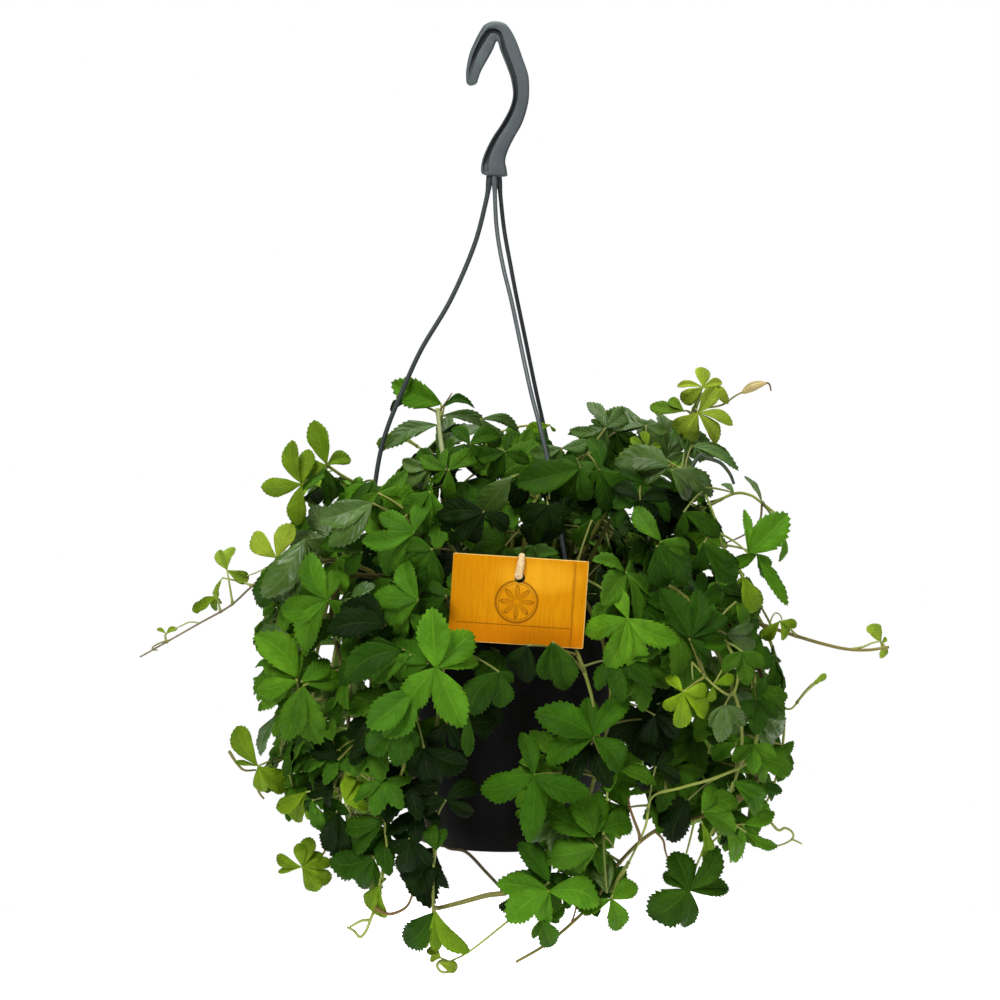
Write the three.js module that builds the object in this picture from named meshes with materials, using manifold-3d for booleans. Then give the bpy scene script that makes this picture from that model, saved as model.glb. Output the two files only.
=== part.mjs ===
import * as THREE from 'three';
import * as BufferGeometryUtils from 'three/addons/utils/BufferGeometryUtils.js';
import Module from 'manifold-3d';

// Everything is in millimetres, +Z up. The origin is the seat of the hook, the
// point where the object hangs; -Y is the front.

// ---- pot
const POT_X = 5;              // the pot's axis stands a little beside the hook's seat
const RIM_Z = -351.7;         // top of the rim flange
const BASE_Z = -496.3;        // underside of the foot ring
const RIM_R = 91;             // outer radius of the rim flange
const WALL_TOP_R = 83;        // outer radius of the wall under the flange
const BASE_R = 57.5;          // outer radius of the base
const WALL_T = 1.6;
const FLOOR_T = 2;
const FOOT_RING_W = 9;        // width of the foot ring
const FOOT_RING_H = 3;        // recess of the floor inside the foot ring
const CLIP_R = 86.2;          // radius of the circle of clip holes in the flange
const CLIP_ANGLES = [180, -60, 60];
const CLIP_HOLE_R = 2.2;
const DRAIN_R = 3.6;
const DRAIN_CIRCLE_R = 36;

// ---- soil
const SOIL_Z = RIM_Z - 14;    // top of the soil at the wall
const SOIL_GAP = 0.4;

// ---- hanger
const HOOK_T = 11;            // thickness of the hook across Y
const HOOK_RIB = 2.2;         // width of the rib round the web
const HOOK_POCKET = 3.4;      // depth of the pocket on each side of the web
const HOOK_POCKET_LOW = -70;  // the pockets end above the foot
const STRAND_R = 1.25;

// ---- label
const LABEL_W = 80;
const LABEL_H = 52;
const LABEL_T = 1.2;
const LABEL_POS = [12.7, -118, -333.75];
const LABEL_TILT = 3.8;       // degrees, clockwise seen from the front
const LABEL_HOLE_R = 3.3;
const LABEL_HOLE_DOWN = 13;   // below the top edge
const CORD_R = 2.1;

// ---- plant
const STEM_R = 1.6;
const PETIOLE_R = 0.8;
const BLADE_T = 1.3;            // thickness of a blade at its junction

// The shoots, one by one: the centre line of the stem from its foot in the soil
// to its tip, and its leaves as [start of the petiole, junction, upper side, tips].
const SHOOTS = {
  centre_crown: {
    stem: [[-10,12,-374.7], [-10,12,-361.7], [-8.28,11,-340.39], [-3.13,8,-322.96], [-3.13,12,-288.61], [1.9,16,-261.79], [15.77,20,-248.19], [30.94,24,-243.4]],
    leaves: [
      [[-7.85,10.71,-343.38], [-18.73,10.38,-322.79], [-0.8, 0.13, 0.58], [[-23.68,-23.22,-326.93], [-7.93,-12.65,-304.29], [-32.99,-5.03,-343.28], [-2.4,6.18,-306.83], [-30.11,16.68,-342.93]]],
    ],
  },
  centre_left: {
    stem: [[-27,-60,-374.7], [-27,-60,-361.7], [-26.49,-68.5,-343.7], [-24.97,-94,-332.51], [-38.49,-106,-358.61], [-47.43,-108,-394.28], [-54.18,-104,-429.2], [-61.54,-100,-452.87], [-67.05,-98,-469.61], [-65.97,-96,-487.03], [-68.5,-94,-503.28], [-73.46,-92,-523.26]],
    leaves: [
      [[-42.07,-107.25,-371.84], [-35.43,-141.78,-370.35], [0.22, -0.97, 0.05], [[-38.97,-136.81,-335.72], [-13.96,-127.06,-351.1], [-10.45,-126.63,-369.51], [-19.71,-141.78,-405.69], [-54.48,-130.88,-395.57]]],
      [[-64.97,-98.26,-467.57], [-37.91,-87.73,-487.45], [0.07, -0.99, -0.11], [[-57.7,-73.65,-509.97], [-51.26,-87.73,-517.44], [-40.4,-87.73,-524.8], [-29.16,-71.91,-515.88]]],
      [[-42.07,-107.25,-371.84], [-40.21,-136.21,-368.77], [-0.51, -0.85, 0.15], [[-58.72,-123.62,-359.84], [-59.91,-124.54,-372.77]]],
      [[-41.32,-107.02,-368.94], [-50.79,-134.06,-363.76], [-0.22, -0.89, -0.4], [[-73.02,-121.17,-381.58], [-61.89,-119.48,-387.78]]],
      [[-45.08,-108.16,-383.46], [-48.51,-133.33,-384.54], [-0.07, -1, 0.07], [[-76.15,-133.33,-407.04], [-66.19,-133.33,-412.97]]],
      [[-40.56,-106.8,-366.03], [-55.55,-131.35,-361.17], [-0.42, -0.54, 0.73], [[-82.51,-118.98,-369.39], [-89.62,-131.35,-378.92]]],
      [[-29.19,-99.97,-339.24], [-29.71,-130.95,-329.36], [-0.58, -0.81, 0.09], [[-42.22,-122.61,-336.86], [-39.24,-122.99,-320.84]]],
      [[-56.28,-102.85,-436.16], [-57.39,-114.78,-418.39], [0.55, -0.83, 0.13], [[-46.32,-106.34,-411.36], [-50.42,-110,-422.78]]],
      [[-48.72,-107.32,-401.14], [-43.24,-111.68,-422.5], [0.13, -0.87, -0.47], [[-17.24,-99.8,-434.15], [-34.05,-97.18,-447.32], [-51.92,-100.41,-441.3]]],
      [[-67.6,-95.1,-494.01], [-51.87,-105.34,-477.9], [-0.07, -0.87, -0.49], [[-58.31,-92.46,-501.16], [-41.44,-92.68,-498.67], [-65.36,-96.31,-486.96]]],
      [[-67.49,-95.46,-491.04], [-70.84,-96.11,-508.94], [0.18, -0.91, -0.38], [[-77.29,-86.93,-524.97], [-68.34,-84.26,-531.09], [-66.76,-92.24,-504.87]]],
    ],
  },
  centre_left_2: {
    stem: [[-7,-68,-374.7], [-7,-68,-361.7], [-8.05,-75.5,-343.7], [-11.21,-98,-330.85], [-27.83,-104,-358.87], [-35.08,-102,-402.41], [-36.47,-96,-448.13], [-37.8,-93,-487.62], [-38.51,-91,-521.64], [-37.96,-90,-542.09]],
    leaves: [
      [[-28.62,-104,-363.04], [1.31,-134.09,-373.79], [0.04, -0.9, -0.43], [[2.49,-121.3,-397.04], [-15.82,-120.51,-401.34], [10.13,-127.74,-380.62]]],
      [[-34.4,-102.34,-397.17], [-16.99,-121.72,-401.74], [-0.08, -0.88, -0.48], [[-17.16,-107.04,-428.69]]],
      [[-36.02,-99.53,-422.27], [-29.53,-113.56,-406.61], [0.26, -0.87, -0.41], [[0.11,-98.57,-407.77], [-17.21,-101.6,-424.18], [-39.92,-101.18,-426.66]]],
      [[-37.98,-92.56,-494.68], [-36.22,-111.92,-483.86], [0.06, -0.82, 0.57], [[-38.18,-102.09,-469.44], [-30.39,-103.18,-472.26]]],
      [[-37.2,-94.21,-469.42], [-30.27,-108.59,-454.33], [-0.01, -1, 0.1], [[-9.5,-95.35,-449.46], [-13.69,-97.53,-464.24], [-53.33,-94.83,-460.49]]],
      [[-38.02,-90.16,-538.93], [-37.05,-103.67,-521.94], [0.13, -0.99, 0.1], [[-16.7,-103.67,-548.13]]],
      [[-38.19,-92,-504.16], [-37.69,-101.58,-524.22], [-0.59, -0.8, -0.08], [[-55.61,-86.14,-546.65]]],
      [[-38.4,-91.45,-513.64], [-39.53,-100.59,-534.8], [-0.48, -0.83, -0.28], [[-44.54,-93.39,-547.45]]],
    ],
  },
  centre_right: {
    stem: [[41.47,-59.56,-374.7], [41.47,-59.56,-361.7], [42,-68.57,-342.3], [48.46,-94.43,-330.91], [62.54,-104.42,-357.65], [67.99,-104.82,-394.76], [61.61,-102.26,-428.3], [54.62,-98.23,-456.22], [43.91,-96.98,-483.79], [35.5,-99.04,-502.23], [19.93,-98.09,-519.5], [6.12,-95.58,-531.04], [-16.21,-92.39,-549.52], [-28.92,-89.99,-556.83]],
    leaves: [
      [[58.59,-100.51,-441.15], [21.92,-129.23,-435.66], [-0.23, -0.96, 0.15], [[14.36,-113.21,-412.65], [-9.95,-117.9,-446.63], [19.01,-129.23,-476.23], [54.92,-129.23,-445.79]]],
      [[22.07,-97.94,-516.69], [31.05,-116.2,-507.73], [-0.07, -0.97, -0.24], [[-0.49,-104.27,-505.4], [6.08,-109.64,-527.92], [61.61,-109.93,-517.54], [29.47,-103.83,-531.03]]],
      [[67.26,-104.75,-393.8], [94.55,-98.07,-404.83], [0.24, -0.97, 0.07], [[83.62,-86.72,-391.42], [110.12,-85.87,-392.76], [92.22,-85.98,-426.77], [109.03,-86.32,-420.63]]],
      [[46.99,-97.36,-476.14], [59.49,-117.61,-480.93], [-0.17, -0.87, -0.47], [[26.38,-107.89,-488.9], [37.85,-101.64,-499.27]]],
      [[49.12,-97.49,-470.84], [57.65,-118.95,-474.05], [-0.04, -0.99, 0.12], [[29.91,-108.84,-461.52], [44.55,-118.95,-444.05], [61.51,-107.47,-448.5]]],
      [[49.12,-97.49,-470.84], [61.3,-115.77,-471.06], [0.44, -0.79, 0.42], [[80.79,-104.16,-469.65]]],
      [[22.07,-97.94,-516.69], [31.1,-112.65,-503.04], [0.3, -0.7, 0.64], [[12.68,-101.71,-481.04], [21.1,-98.25,-484.15]]],
      [[31.84,-98.75,-506.08], [26.42,-107.93,-526.47], [0.48, -0.86, -0.18], [[40.96,-97.93,-520.14], [37.91,-101.03,-529.83], [33.8,-97.18,-545.35]]],
      [[34.95,-98.28,-500.55], [22.33,-97.65,-518.98], [-0.54, -0.77, 0.33], [[0.69,-84.62,-523.64]]],
      [[-28.92,-89.99,-556.83], [-33.66,-95.07,-553.19], [-0.49, -0.86, 0.16], [[-42.23,-89.02,-549.07], [-40.39,-90.94,-555.99]]],
      [[-28.92,-89.99,-556.83], [-34.82,-97.62,-555.65], [0.57, -0.78, 0.26], [[-23.48,-90.59,-559.76]]],
    ],
  },
  centre_right_2: {
    stem: [[27,-66,-374.7], [27,-66,-361.7], [28.47,-74,-343.7], [32.89,-98,-335.64], [44.53,-112,-357.82], [55.09,-118,-386.81], [61.16,-116,-419.99], [65.59,-110,-448.05], [63.35,-108,-475.57]],
    leaves: [
      [[62.7,-114.15,-429.54], [56.67,-127.17,-413.38], [0.24, -0.97, -0.01], [[21.91,-127.17,-398.52], [29.02,-126.64,-429.55], [53.48,-112.75,-391.77], [79.36,-117.62,-390.44], [73.21,-112.05,-436.25]]],
      [[51.33,-116.42,-375.5], [32.38,-131.25,-356.46], [0.06, -0.88, -0.48], [[42.16,-114.62,-386.71], [28.5,-117.55,-380.91]]],
      [[48.38,-114.52,-367.53], [17.74,-129.55,-358.46], [-0.14, -0.87, -0.48], [[17.87,-116.05,-382.91], [6.62,-118.44,-374.82]]],
      [[63.35,-108,-475.57], [65.87,-107.07,-510.88], [0.05, -0.8, 0.6], [[57.3,-91.21,-489.2]]],
    ],
  },
  front_crown: {
    stem: [[15,-25,-374.7], [15,-25,-361.7], [14.8,-28.25,-342.79], [14.19,-38,-327.33], [18.95,-52,-292.08], [29.22,-56,-270.36], [45.54,-58,-256.2], [57.71,-56,-250.27]],
    leaves: [
      [[31.23,-56.19,-270.17], [30.33,-104.31,-278.25], [-0.02, -0.89, -0.45], [[13.82,-93.01,-288.23], [44.76,-95.42,-283.22], [32.94,-91.73,-300.34], [19.84,-88.66,-303.65]]],
      [[47.18,-56.65,-256.53], [49.44,-96.26,-256.89], [-0.08, -0.86, -0.51], [[10.22,-96.26,-266.43], [27.68,-80.52,-272.54], [38.88,-88.9,-251.48], [55.77,-84.25,-277.03]]],
      [[55.08,-56.16,-251.83], [61.65,-85.96,-258.89], [-0.26, -0.95, -0.17], [[44.1,-70.73,-278.21], [68.19,-71.79,-285.38], [81.36,-72.76,-270.78], [54.78,-73.67,-240.56]]],
      [[55.08,-56.16,-251.83], [66.45,-47.31,-236.25], [-0.23, -0.96, 0.14], [[55.16,-35.53,-221.07], [44.21,-33.78,-238.35], [61.98,-35.95,-255.41], [81.47,-36.37,-225.92]]],
      [[31.23,-56.19,-270.17], [8.42,-102.98,-261.71], [-0.5, -0.84, -0.2], [[-10.06,-86.59,-283.43]]],
      [[31.23,-56.19,-270.17], [30.98,-100.58,-275], [0.05, -0.87, -0.49], [[29.45,-85.16,-302.2]]],
      [[33.04,-56.56,-267.71], [20.92,-96.01,-260.49], [0.08, -0.82, -0.57], [[37.85,-82.34,-277.2], [9.09,-81.9,-282.05]]],
      [[34.85,-56.93,-265.25], [39.36,-63.35,-247.32], [-0.14, -0.99, -0.06], [[20.14,-51.66,-250.59], [55.34,-53.49,-243.15], [31.06,-53.88,-261.39]]],
    ],
  },
  front_left_crown: {
    stem: [[-23,-40,-374.7], [-23,-40,-361.7], [-21.64,-44.5,-341.57], [-17.56,-58,-325.1], [-28.19,-76,-304.94], [-34,-86,-288.89], [-42.82,-92,-279.34], [-56.43,-96,-287.95], [-62.36,-98,-302.7]],
    leaves: [
      [[-57.57,-96.57,-294.93], [-37.93,-127.89,-302.61], [-0.2, -0.88, -0.43], [[-40.66,-112.97,-329.1], [-29.99,-114.25,-325.39], [-49.94,-117.91,-315.48], [-54.02,-118.38,-302.41]]],
      [[-32.87,-84.6,-291.25], [-7.5,-120.11,-280.97], [-0.16, -0.89, -0.43], [[-35.97,-107.09,-284.53], [-33.68,-103.68,-296.76], [-15.86,-107.09,-302.37], [6.63,-109.52,-292.62]]],
      [[-55.97,-96.09,-292.34], [-48.68,-119.23,-293.45], [-0.14, -0.98, 0.13], [[-69.76,-105.18,-283.52], [-80.23,-111.03,-299], [-65.76,-104.49,-321.13], [-58.5,-107.79,-311.23], [-39.51,-106.87,-276.24]]],
      [[-49.57,-94.19,-281.97], [-39.39,-111.76,-269.89], [-0.12, -0.86, -0.5], [[-46.92,-96.22,-296.3], [-55.1,-100.11,-282.79], [-31.36,-100,-288.77]]],
      [[-54.37,-95.62,-289.75], [-74.05,-100.96,-277.35], [0.25, -0.88, -0.4], [[-106.14,-100.96,-287.49], [-100.28,-100.96,-303], [-85.39,-88.13,-297.1]]],
      [[-51.17,-94.67,-284.56], [-70.79,-92.7,-272.1], [0.26, -0.86, -0.44], [[-47.33,-78.37,-275.13], [-58.64,-82.33,-285.02], [-81.92,-84.3,-281.83]]],
    ],
  },
  label_shoot: {
    stem: [[-7,-60,-374.7], [-7,-60,-361.7], [-9,-76,-333], [-6,-98,-318], [3,-109.5,-311], [13.6,-112,-309.2], [25,-112.5,-311], [42,-111,-317], [60,-108,-326], [70,-106,-334]],
    leaves: [
      [[70,-106,-334], [76.95,-129.4,-343.12], [-0.26, -0.96, -0.06], [[65.62,-116.07,-325.77], [51.55,-114.96,-352.66], [64.91,-123.9,-374.64], [86.28,-120.04,-374], [107.5,-129.4,-356.12]]],
      [[45.52,-110.28,-318.91], [56.5,-101.63,-287.42], [-0.16, -0.93, -0.32], [[49.09,-90.6,-305.26], [61.39,-96.48,-280.74]]],
    ],
  },
  left_back: {
    stem: [[-65,14,-374.7], [-65,14,-361.7], [-69.08,14,-342.49], [-81.33,14,-326.76], [-118.79,8,-324.22], [-137.31,0,-361.2], [-135.66,-10,-409.06], [-123.98,-20,-445.29], [-116.27,-26,-469.42], [-108.68,-30,-488.81]],
    leaves: [
      [[-80.6,13.97,-327.8], [-94.91,3.85,-315.32], [-0.82, -0.19, 0.54], [[-106.16,-11.19,-346.86], [-95.23,-25.85,-328.39], [-109.92,14.13,-341.6], [-78.33,-15.38,-310.12], [-100.49,29.02,-320.88]]],
    ],
  },
  left_crown: {
    stem: [[-40,-10,-374.7], [-40,-10,-361.7], [-37.4,-14,-338.4], [-29.61,-26,-319.34], [-32.65,-26,-289.56], [-33.38,-18,-265.43], [-34.84,-4,-246.54], [-36.89,7,-227.86]],
    leaves: [
      [[-33.16,-21.57,-273.29], [-28.86,-68.35,-260.26], [0.56, -0.79, -0.27], [[-9.02,-55.64,-253.95], [-17.49,-58.61,-249.47], [-27.25,-56.31,-281.3]]],
      [[-33.16,-21.57,-273.29], [-30.75,-63.36,-260.65], [-0.44, -0.86, 0.26], [[-46.72,-52.66,-252.95], [-39.98,-56.38,-268.5], [-30.26,-55.36,-247.88]]],
      [[-33.16,-21.57,-273.29], [-40.54,-57.86,-259.86], [-0.49, -0.85, -0.18], [[-61.63,-44.16,-270.72], [-57.83,-47.27,-255.79], [-48.08,-48.71,-274.02]]],
      [[-34.17,-10.32,-255.74], [-34.34,-30.78,-241.01], [0.55, -0.8, 0.22], [[-17.25,-20.23,-245.43]]],
      [[-34.17,-10.32,-255.74], [-37.02,-18.92,-236.23], [-0.18, -0.9, 0.39], [[-69.19,-18.92,-251.1]]],
      [[-34.31,-8.72,-253.23], [-34.69,-10.65,-231.17], [0.42, -0.9, 0.13], [[-4.34,1.71,-243.18]]],
      [[-34.72,-5.54,-248.19], [-33.03,0.9,-226.25], [0.47, -0.72, 0.52], [[-13.78,12.51,-227.56]]],
      [[-35.26,-2.41,-243.1], [-35.03,8.37,-224.81], [0.09, -0.97, 0.21], [[-66.29,8.37,-211.03]]],
      [[-36.62,5.43,-230.4], [-55.83,13.46,-223.84], [-0.63, -0.72, 0.3], [[-67.41,21.05,-229.95]]],
      [[-33.59,-16.75,-265.77], [-42.13,-0.48,-252.6], [-0.59, 0.18, 0.79], [[-54.93,22.81,-269.51], [-62.98,2.79,-274.99], [-36.75,27.52,-257.05], [-55.4,-18.17,-261.47], [-23.24,11.06,-249.83]]],
    ],
  },
  left_front: {
    stem: [[-49,-46,-374.7], [-49,-46,-361.7], [-51.29,-55,-343.7], [-58.18,-82,-332.71], [-72.15,-96,-359.92], [-75.7,-100,-395.49], [-79.67,-94,-432.71], [-88.45,-88,-458.09], [-82.8,-82,-487.36], [-76.3,-80,-508.64]],
    leaves: [
      [[-75.85,-99.25,-396.6], [-59.19,-130.97,-401.49], [-0.1, -0.92, -0.37], [[-46.64,-118.07,-420.84], [-58.99,-121.54,-432.22], [-77.56,-115.13,-423.73]]],
      [[-63.51,-88.79,-340.01], [-46.15,-129.58,-331.88], [-0.49, -0.85, 0.18], [[-73.07,-115.48,-331.78], [-66.04,-115.39,-347.25], [-54.15,-114.73,-309.9]]],
      [[-65.82,-90.74,-345.56], [-52.14,-125.54,-339.46], [-0.22, -0.88, -0.41], [[-66.55,-116.74,-336.38], [-56.02,-115.37,-357.37], [-40.62,-116.5,-350.08]]],
      [[-70.42,-94.66,-356.66], [-65.74,-123.71,-347.38], [-0.1, -0.77, 0.63], [[-100.46,-123.71,-350.94], [-92.81,-110.87,-337.69], [-79.79,-110.34,-331.19]]],
      [[-87.25,-86.28,-466.25], [-67.4,-104.56,-467.16], [-0.48, -0.86, -0.18], [[-93.27,-89.34,-473.7], [-88.61,-87.43,-490.56]]],
      [[-86.63,-85.64,-469.29], [-90.7,-103.69,-457.04], [0.49, -0.82, 0.3], [[-78.55,-93.22,-446.81], [-85.74,-93.37,-442.53], [-77.32,-95.25,-461.63]]],
      [[-82.63,-82.17,-487.5], [-73.56,-101.86,-490.72], [-0.43, -0.86, -0.29], [[-101.38,-86,-496.36], [-81.35,-89.75,-512.11]]],
      [[-77.61,-97.45,-415.4], [-94.92,-100.76,-431.57], [-0.45, -0.85, 0.28], [[-111.73,-88.25,-420.32], [-111,-91.33,-430.74]]],
      [[-86.57,-88.94,-454.36], [-111.21,-90.19,-457.69], [0.18, -0.88, -0.45], [[-102.98,-77.32,-479.68], [-111.08,-83.24,-470.58]]],
    ],
  },
  left_lime: {
    stem: [[-45,12,-374.7], [-45,12,-361.7], [-45.12,7,-337.73], [-45.48,-8,-318.12], [-53.74,-22,-287.44], [-74.95,-32,-276.66], [-92.46,-38,-267.54], [-103.34,-40,-260.02]],
    leaves: [
      [[-103.34,-40,-260.02], [-117.35,-71.55,-268.47], [-0.01, -1, 0], [[-142.06,-71.55,-270.28], [-123.23,-71.55,-241.91], [-120.51,-71.55,-293.88]]],
      [[-103.34,-40,-260.02], [-119.34,-69.1,-273.51], [-0.24, -0.81, 0.54], [[-103.75,-54.96,-257.65], [-126.6,-60.79,-286.38]]],
      [[-103.34,-40,-260.02], [-103.2,-65.17,-259.9], [0.15, -0.86, -0.48], [[-100.29,-53.33,-280.34], [-92.31,-54.36,-274.76]]],
      [[-103.34,-40,-260.02], [-102.59,-65.12,-257.48], [0.02, -1, -0.09], [[-110.3,-65.12,-230.26], [-118.27,-55.99,-260.01], [-88.5,-56.15,-254.52]]],
      [[-47.31,-11.97,-308.47], [-50.99,-2.41,-327.88], [-0.82, 0.15, 0.55], [[-54.16,-33.52,-326.45], [-35.69,-20.67,-310.46], [-58.58,-20.66,-346.89], [-35.18,-2.36,-314.28], [-58.29,-0.21,-347.01]]],
    ],
  },
  left_mid: {
    stem: [[-53,-32,-374.7], [-53,-32,-361.7], [-56.89,-39,-343.13], [-68.57,-60,-327.94], [-90.88,-76,-324.92], [-99.69,-82,-344.81], [-94.2,-86,-373.35], [-88.86,-87,-398.66], [-91.65,-82,-434.75], [-96.4,-74,-460.65], [-101.28,-64,-484.72], [-108.4,-58,-499.55], [-117.81,-55,-505.13]],
    leaves: [
      [[-98.08,-80.93,-339.16], [-100.78,-105.46,-334.75], [0.05, -1, 0.04], [[-129.47,-94.56,-342.66], [-113.75,-99.86,-366.62], [-111.71,-98.97,-306.79], [-98.31,-94.57,-318.04], [-84.75,-93.61,-346.99]]],
      [[-109.95,-59,-496.16], [-118.04,-80.72,-500.5], [0.12, -0.99, 0.09], [[-133.85,-70.64,-495.15], [-120.34,-71.82,-487.52], [-113.78,-69.32,-484.31], [-106.39,-71.78,-493.69], [-100.47,-69.92,-509.5], [-109.65,-70.03,-518.14]]],
      [[-89.97,-84.53,-418.92], [-74.19,-110.41,-425.12], [-0.55, -0.83, 0.05], [[-88.32,-101.44,-432.66], [-82.77,-104.26,-420.12]]],
      [[-85.49,-72.47,-327.1], [-79.98,-103.71,-306.3], [-0.53, -0.85, -0.02], [[-105.73,-88.56,-303.66], [-98.43,-90.04,-293.31], [-90.6,-93.75,-320.53]]],
      [[-92.02,-86.61,-381.55], [-115.52,-102.02,-386.76], [-0.02, -1, 0], [[-126.44,-102.02,-420.49], [-104.96,-102.02,-422.3]]],
      [[-89.33,-85.53,-413.21], [-90.6,-100.52,-396.61], [-0.35, -0.86, -0.36], [[-103.62,-92.16,-403.93], [-96.55,-90.57,-413.87]]],
      [[-92.74,-86.34,-378.73], [-116.84,-99.66,-384.7], [0.45, -0.84, 0.32], [[-90.65,-86.2,-386.65], [-100.18,-86.56,-373.27]]],
      [[-91.57,-82.04,-433.21], [-97.66,-95.44,-449.45], [-0.46, -0.87, -0.19], [[-115.11,-85.12,-454.95], [-107.64,-88.23,-443.43], [-100.52,-88.01,-462.97]]],
      [[-98.07,-70.74,-468.73], [-96.08,-92.61,-464.55], [-0.27, -0.89, -0.37], [[-104.82,-77.93,-490.62], [-95.57,-81.74,-499.68], [-91.82,-82.69,-482.32]]],
      [[-94.83,-76.55,-452.56], [-114.89,-88.53,-453.12], [-0.15, -0.89, -0.42], [[-133.6,-80.29,-464.4], [-121.76,-76.95,-473.61]]],
    ],
  },
  left_outer: {
    stem: [[-65,-14,-374.7], [-65,-14,-361.7], [-67.95,-19.5,-341.9], [-76.81,-36,-325.69], [-106.74,-50,-318.01], [-121.26,-54,-340.88], [-125.51,-57,-371.21], [-120.7,-58,-395.66], [-120.36,-56,-421.87], [-130.65,-50,-438.95], [-143.26,-46,-445.85]],
    leaves: [
      [[-108.82,-50.79,-319], [-115.24,-89.23,-300.59], [0.4, -0.88, -0.25], [[-126.22,-89.23,-339.1], [-140.57,-89.23,-335.48], [-118.68,-74.72,-326.28], [-100.33,-78.29,-311.36]]],
      [[-122.68,-57.92,-386.25], [-119.44,-96.28,-384.58], [-0.49, -0.86, -0.12], [[-144.51,-81.63,-391.57], [-141.69,-80.1,-403.97]]],
      [[-122.68,-57.92,-386.25], [-119,-93.65,-382.55], [-0.18, -0.98, 0.08], [[-145.16,-93.65,-356.62], [-140.88,-80.69,-378.94], [-122.67,-81.59,-364.25]]],
      [[-124.6,-56.71,-368.5], [-116.76,-89.81,-366.78], [-0.45, -0.86, 0.26], [[-141.27,-73.16,-353.8], [-131.74,-81.18,-367.94]]],
      [[-116.22,-52.67,-331.62], [-132.07,-80.74,-317.14], [-0.1, -0.87, -0.47], [[-144.2,-65.49,-343.78], [-129.06,-65.31,-344.42]]],
      [[-113.26,-51.92,-326.57], [-132.3,-76.98,-312.7], [-0.11, -0.95, 0.29], [[-146.52,-70.76,-297.59], [-124.11,-71.61,-292.06]]],
      [[-119.95,-57.45,-407.05], [-133.52,-76.61,-408.78], [-0.62, -0.76, -0.19], [[-144.55,-60.8,-435.89]]],
      [[-131.97,-50.27,-437.42], [-145.37,-66.6,-441.06], [0.18, -0.98, 0.11], [[-159.01,-54.03,-418.48], [-143.77,-56.89,-458.82], [-125.66,-52.55,-454.64]]],
    ],
  },
  left_vine: {
    stem: [[-57,-4,-374.7], [-57,-4,-361.7], [-59.09,-5.5,-340.03], [-65.38,-10,-322.29], [-91.01,-20,-306.28], [-116.69,-26,-311.89], [-137,-28,-323.47], [-152.53,-28,-336.52], [-164.96,-28,-347.71], [-183.59,-28,-358.29], [-202.23,-28,-368.88], [-220.89,-28,-379.48]],
    leaves: [
      [[-171.8,-28,-351.08], [-175.44,0,-344.79], [-0.28, -0.89, -0.36], [[-173.27,3.37,-350.24], [-186.1,6.45,-349.34], [-177.28,5.73,-354.95], [-192.21,10.65,-354.29]]],
      [[-164.3,-28,-346.23], [-166.43,-30.61,-325.05], [0.46, -0.8, 0.39], [[-171.97,-22.62,-313.48], [-162.75,-21.65,-311.71], [-153.59,-21.83,-331.62]]],
      [[-150.46,-28.07,-334.97], [-170.41,-20.7,-331.12], [-0.64, -0.73, -0.25], [[-174.41,-11.88,-346.52]]],
      [[-205.3,-28,-370.63], [-207.62,0,-368.78], [0.01, -0.6, 0.8], [[-213.65,3.87,-366.12], [-201.17,4.74,-365.59]]],
      [[-83.41,-17.09,-310.67], [-102.06,-8.84,-304.51], [-0.62, -0.41, 0.67], [[-120.4,5.49,-318.29], [-114.9,-16.33,-325.3], [-109.98,15.59,-301.29], [-99.53,-22.93,-318.26], [-93.69,5.57,-294.9]]],
    ],
  },
  lime_crown: {
    stem: [[40,5,-374.7], [40,5,-361.7], [43.79,4.25,-336.58], [55.15,2,-316.02], [71.77,-4,-287.18], [92.09,-8,-266.22], [106.22,-10,-251.11], [119.67,-12,-232.33], [126.4,-12,-216.2]],
    leaves: [
      [[121.18,-11.7,-226.79], [122.98,-38.35,-227.64], [-0.21, -0.9, -0.38], [[144.43,-38.35,-234.99], [135.2,-31.16,-246.53], [118.76,-28.87,-248.54], [108.97,-27.14,-240.02]]],
      [[121.18,-11.7,-226.79], [126.72,-26.21,-212.36], [-0.04, -0.98, -0.18], [[126.5,-18.82,-200.4], [111.26,-16.61,-212.24], [114.39,-16.71,-222.13], [138.89,-18.98,-209.65], [143.56,-15.11,-222.22]]],
      [[119.88,-11.62,-229.44], [114.62,-34.76,-226.63], [-0.47, -0.84, 0.28], [[94.37,-22.06,-223.68], [106.38,-27.72,-219.05]]],
      [[52.08,2.62,-320.85], [61.4,24.35,-321.33], [0.85, 0.09, 0.53], [[60.79,49.84,-325.94], [48.12,42.66,-307.8], [69.37,36.47,-343.63], [48.26,24.43,-306.25], [70.83,20.06,-338.29]]],
    ],
  },
  right_arch: {
    stem: [[65,-2,-374.7], [65,-2,-361.7], [71.04,-3.5,-334.28], [89.16,-8,-311.85], [113.66,-14,-292.52], [128.34,-17,-287.89], [146.04,-20,-278.92], [156.4,-22,-279.37], [163.69,-24,-284.16], [171.59,-26,-290.18]],
    leaves: [
      [[164.15,-24.14,-285.71], [161.83,-46.62,-281.55], [0.12, -0.74, 0.66], [[151.62,-34.98,-266.56]]],
      [[164.15,-24.14,-285.71], [177.37,-24.67,-304.57], [0.37, -0.79, -0.49], [[175.27,-14.82,-321.78]]],
      [[138.19,-18.71,-283.79], [119.4,-9.47,-290.26], [0.59, 0.04, 0.81], [[141.54,5.18,-308.65], [123.83,19.48,-297.02], [139.95,-21.52,-310.16], [103.61,8.63,-285.2], [125.83,-32.75,-294.95]]],
    ],
  },
  right_brown: {
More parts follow.
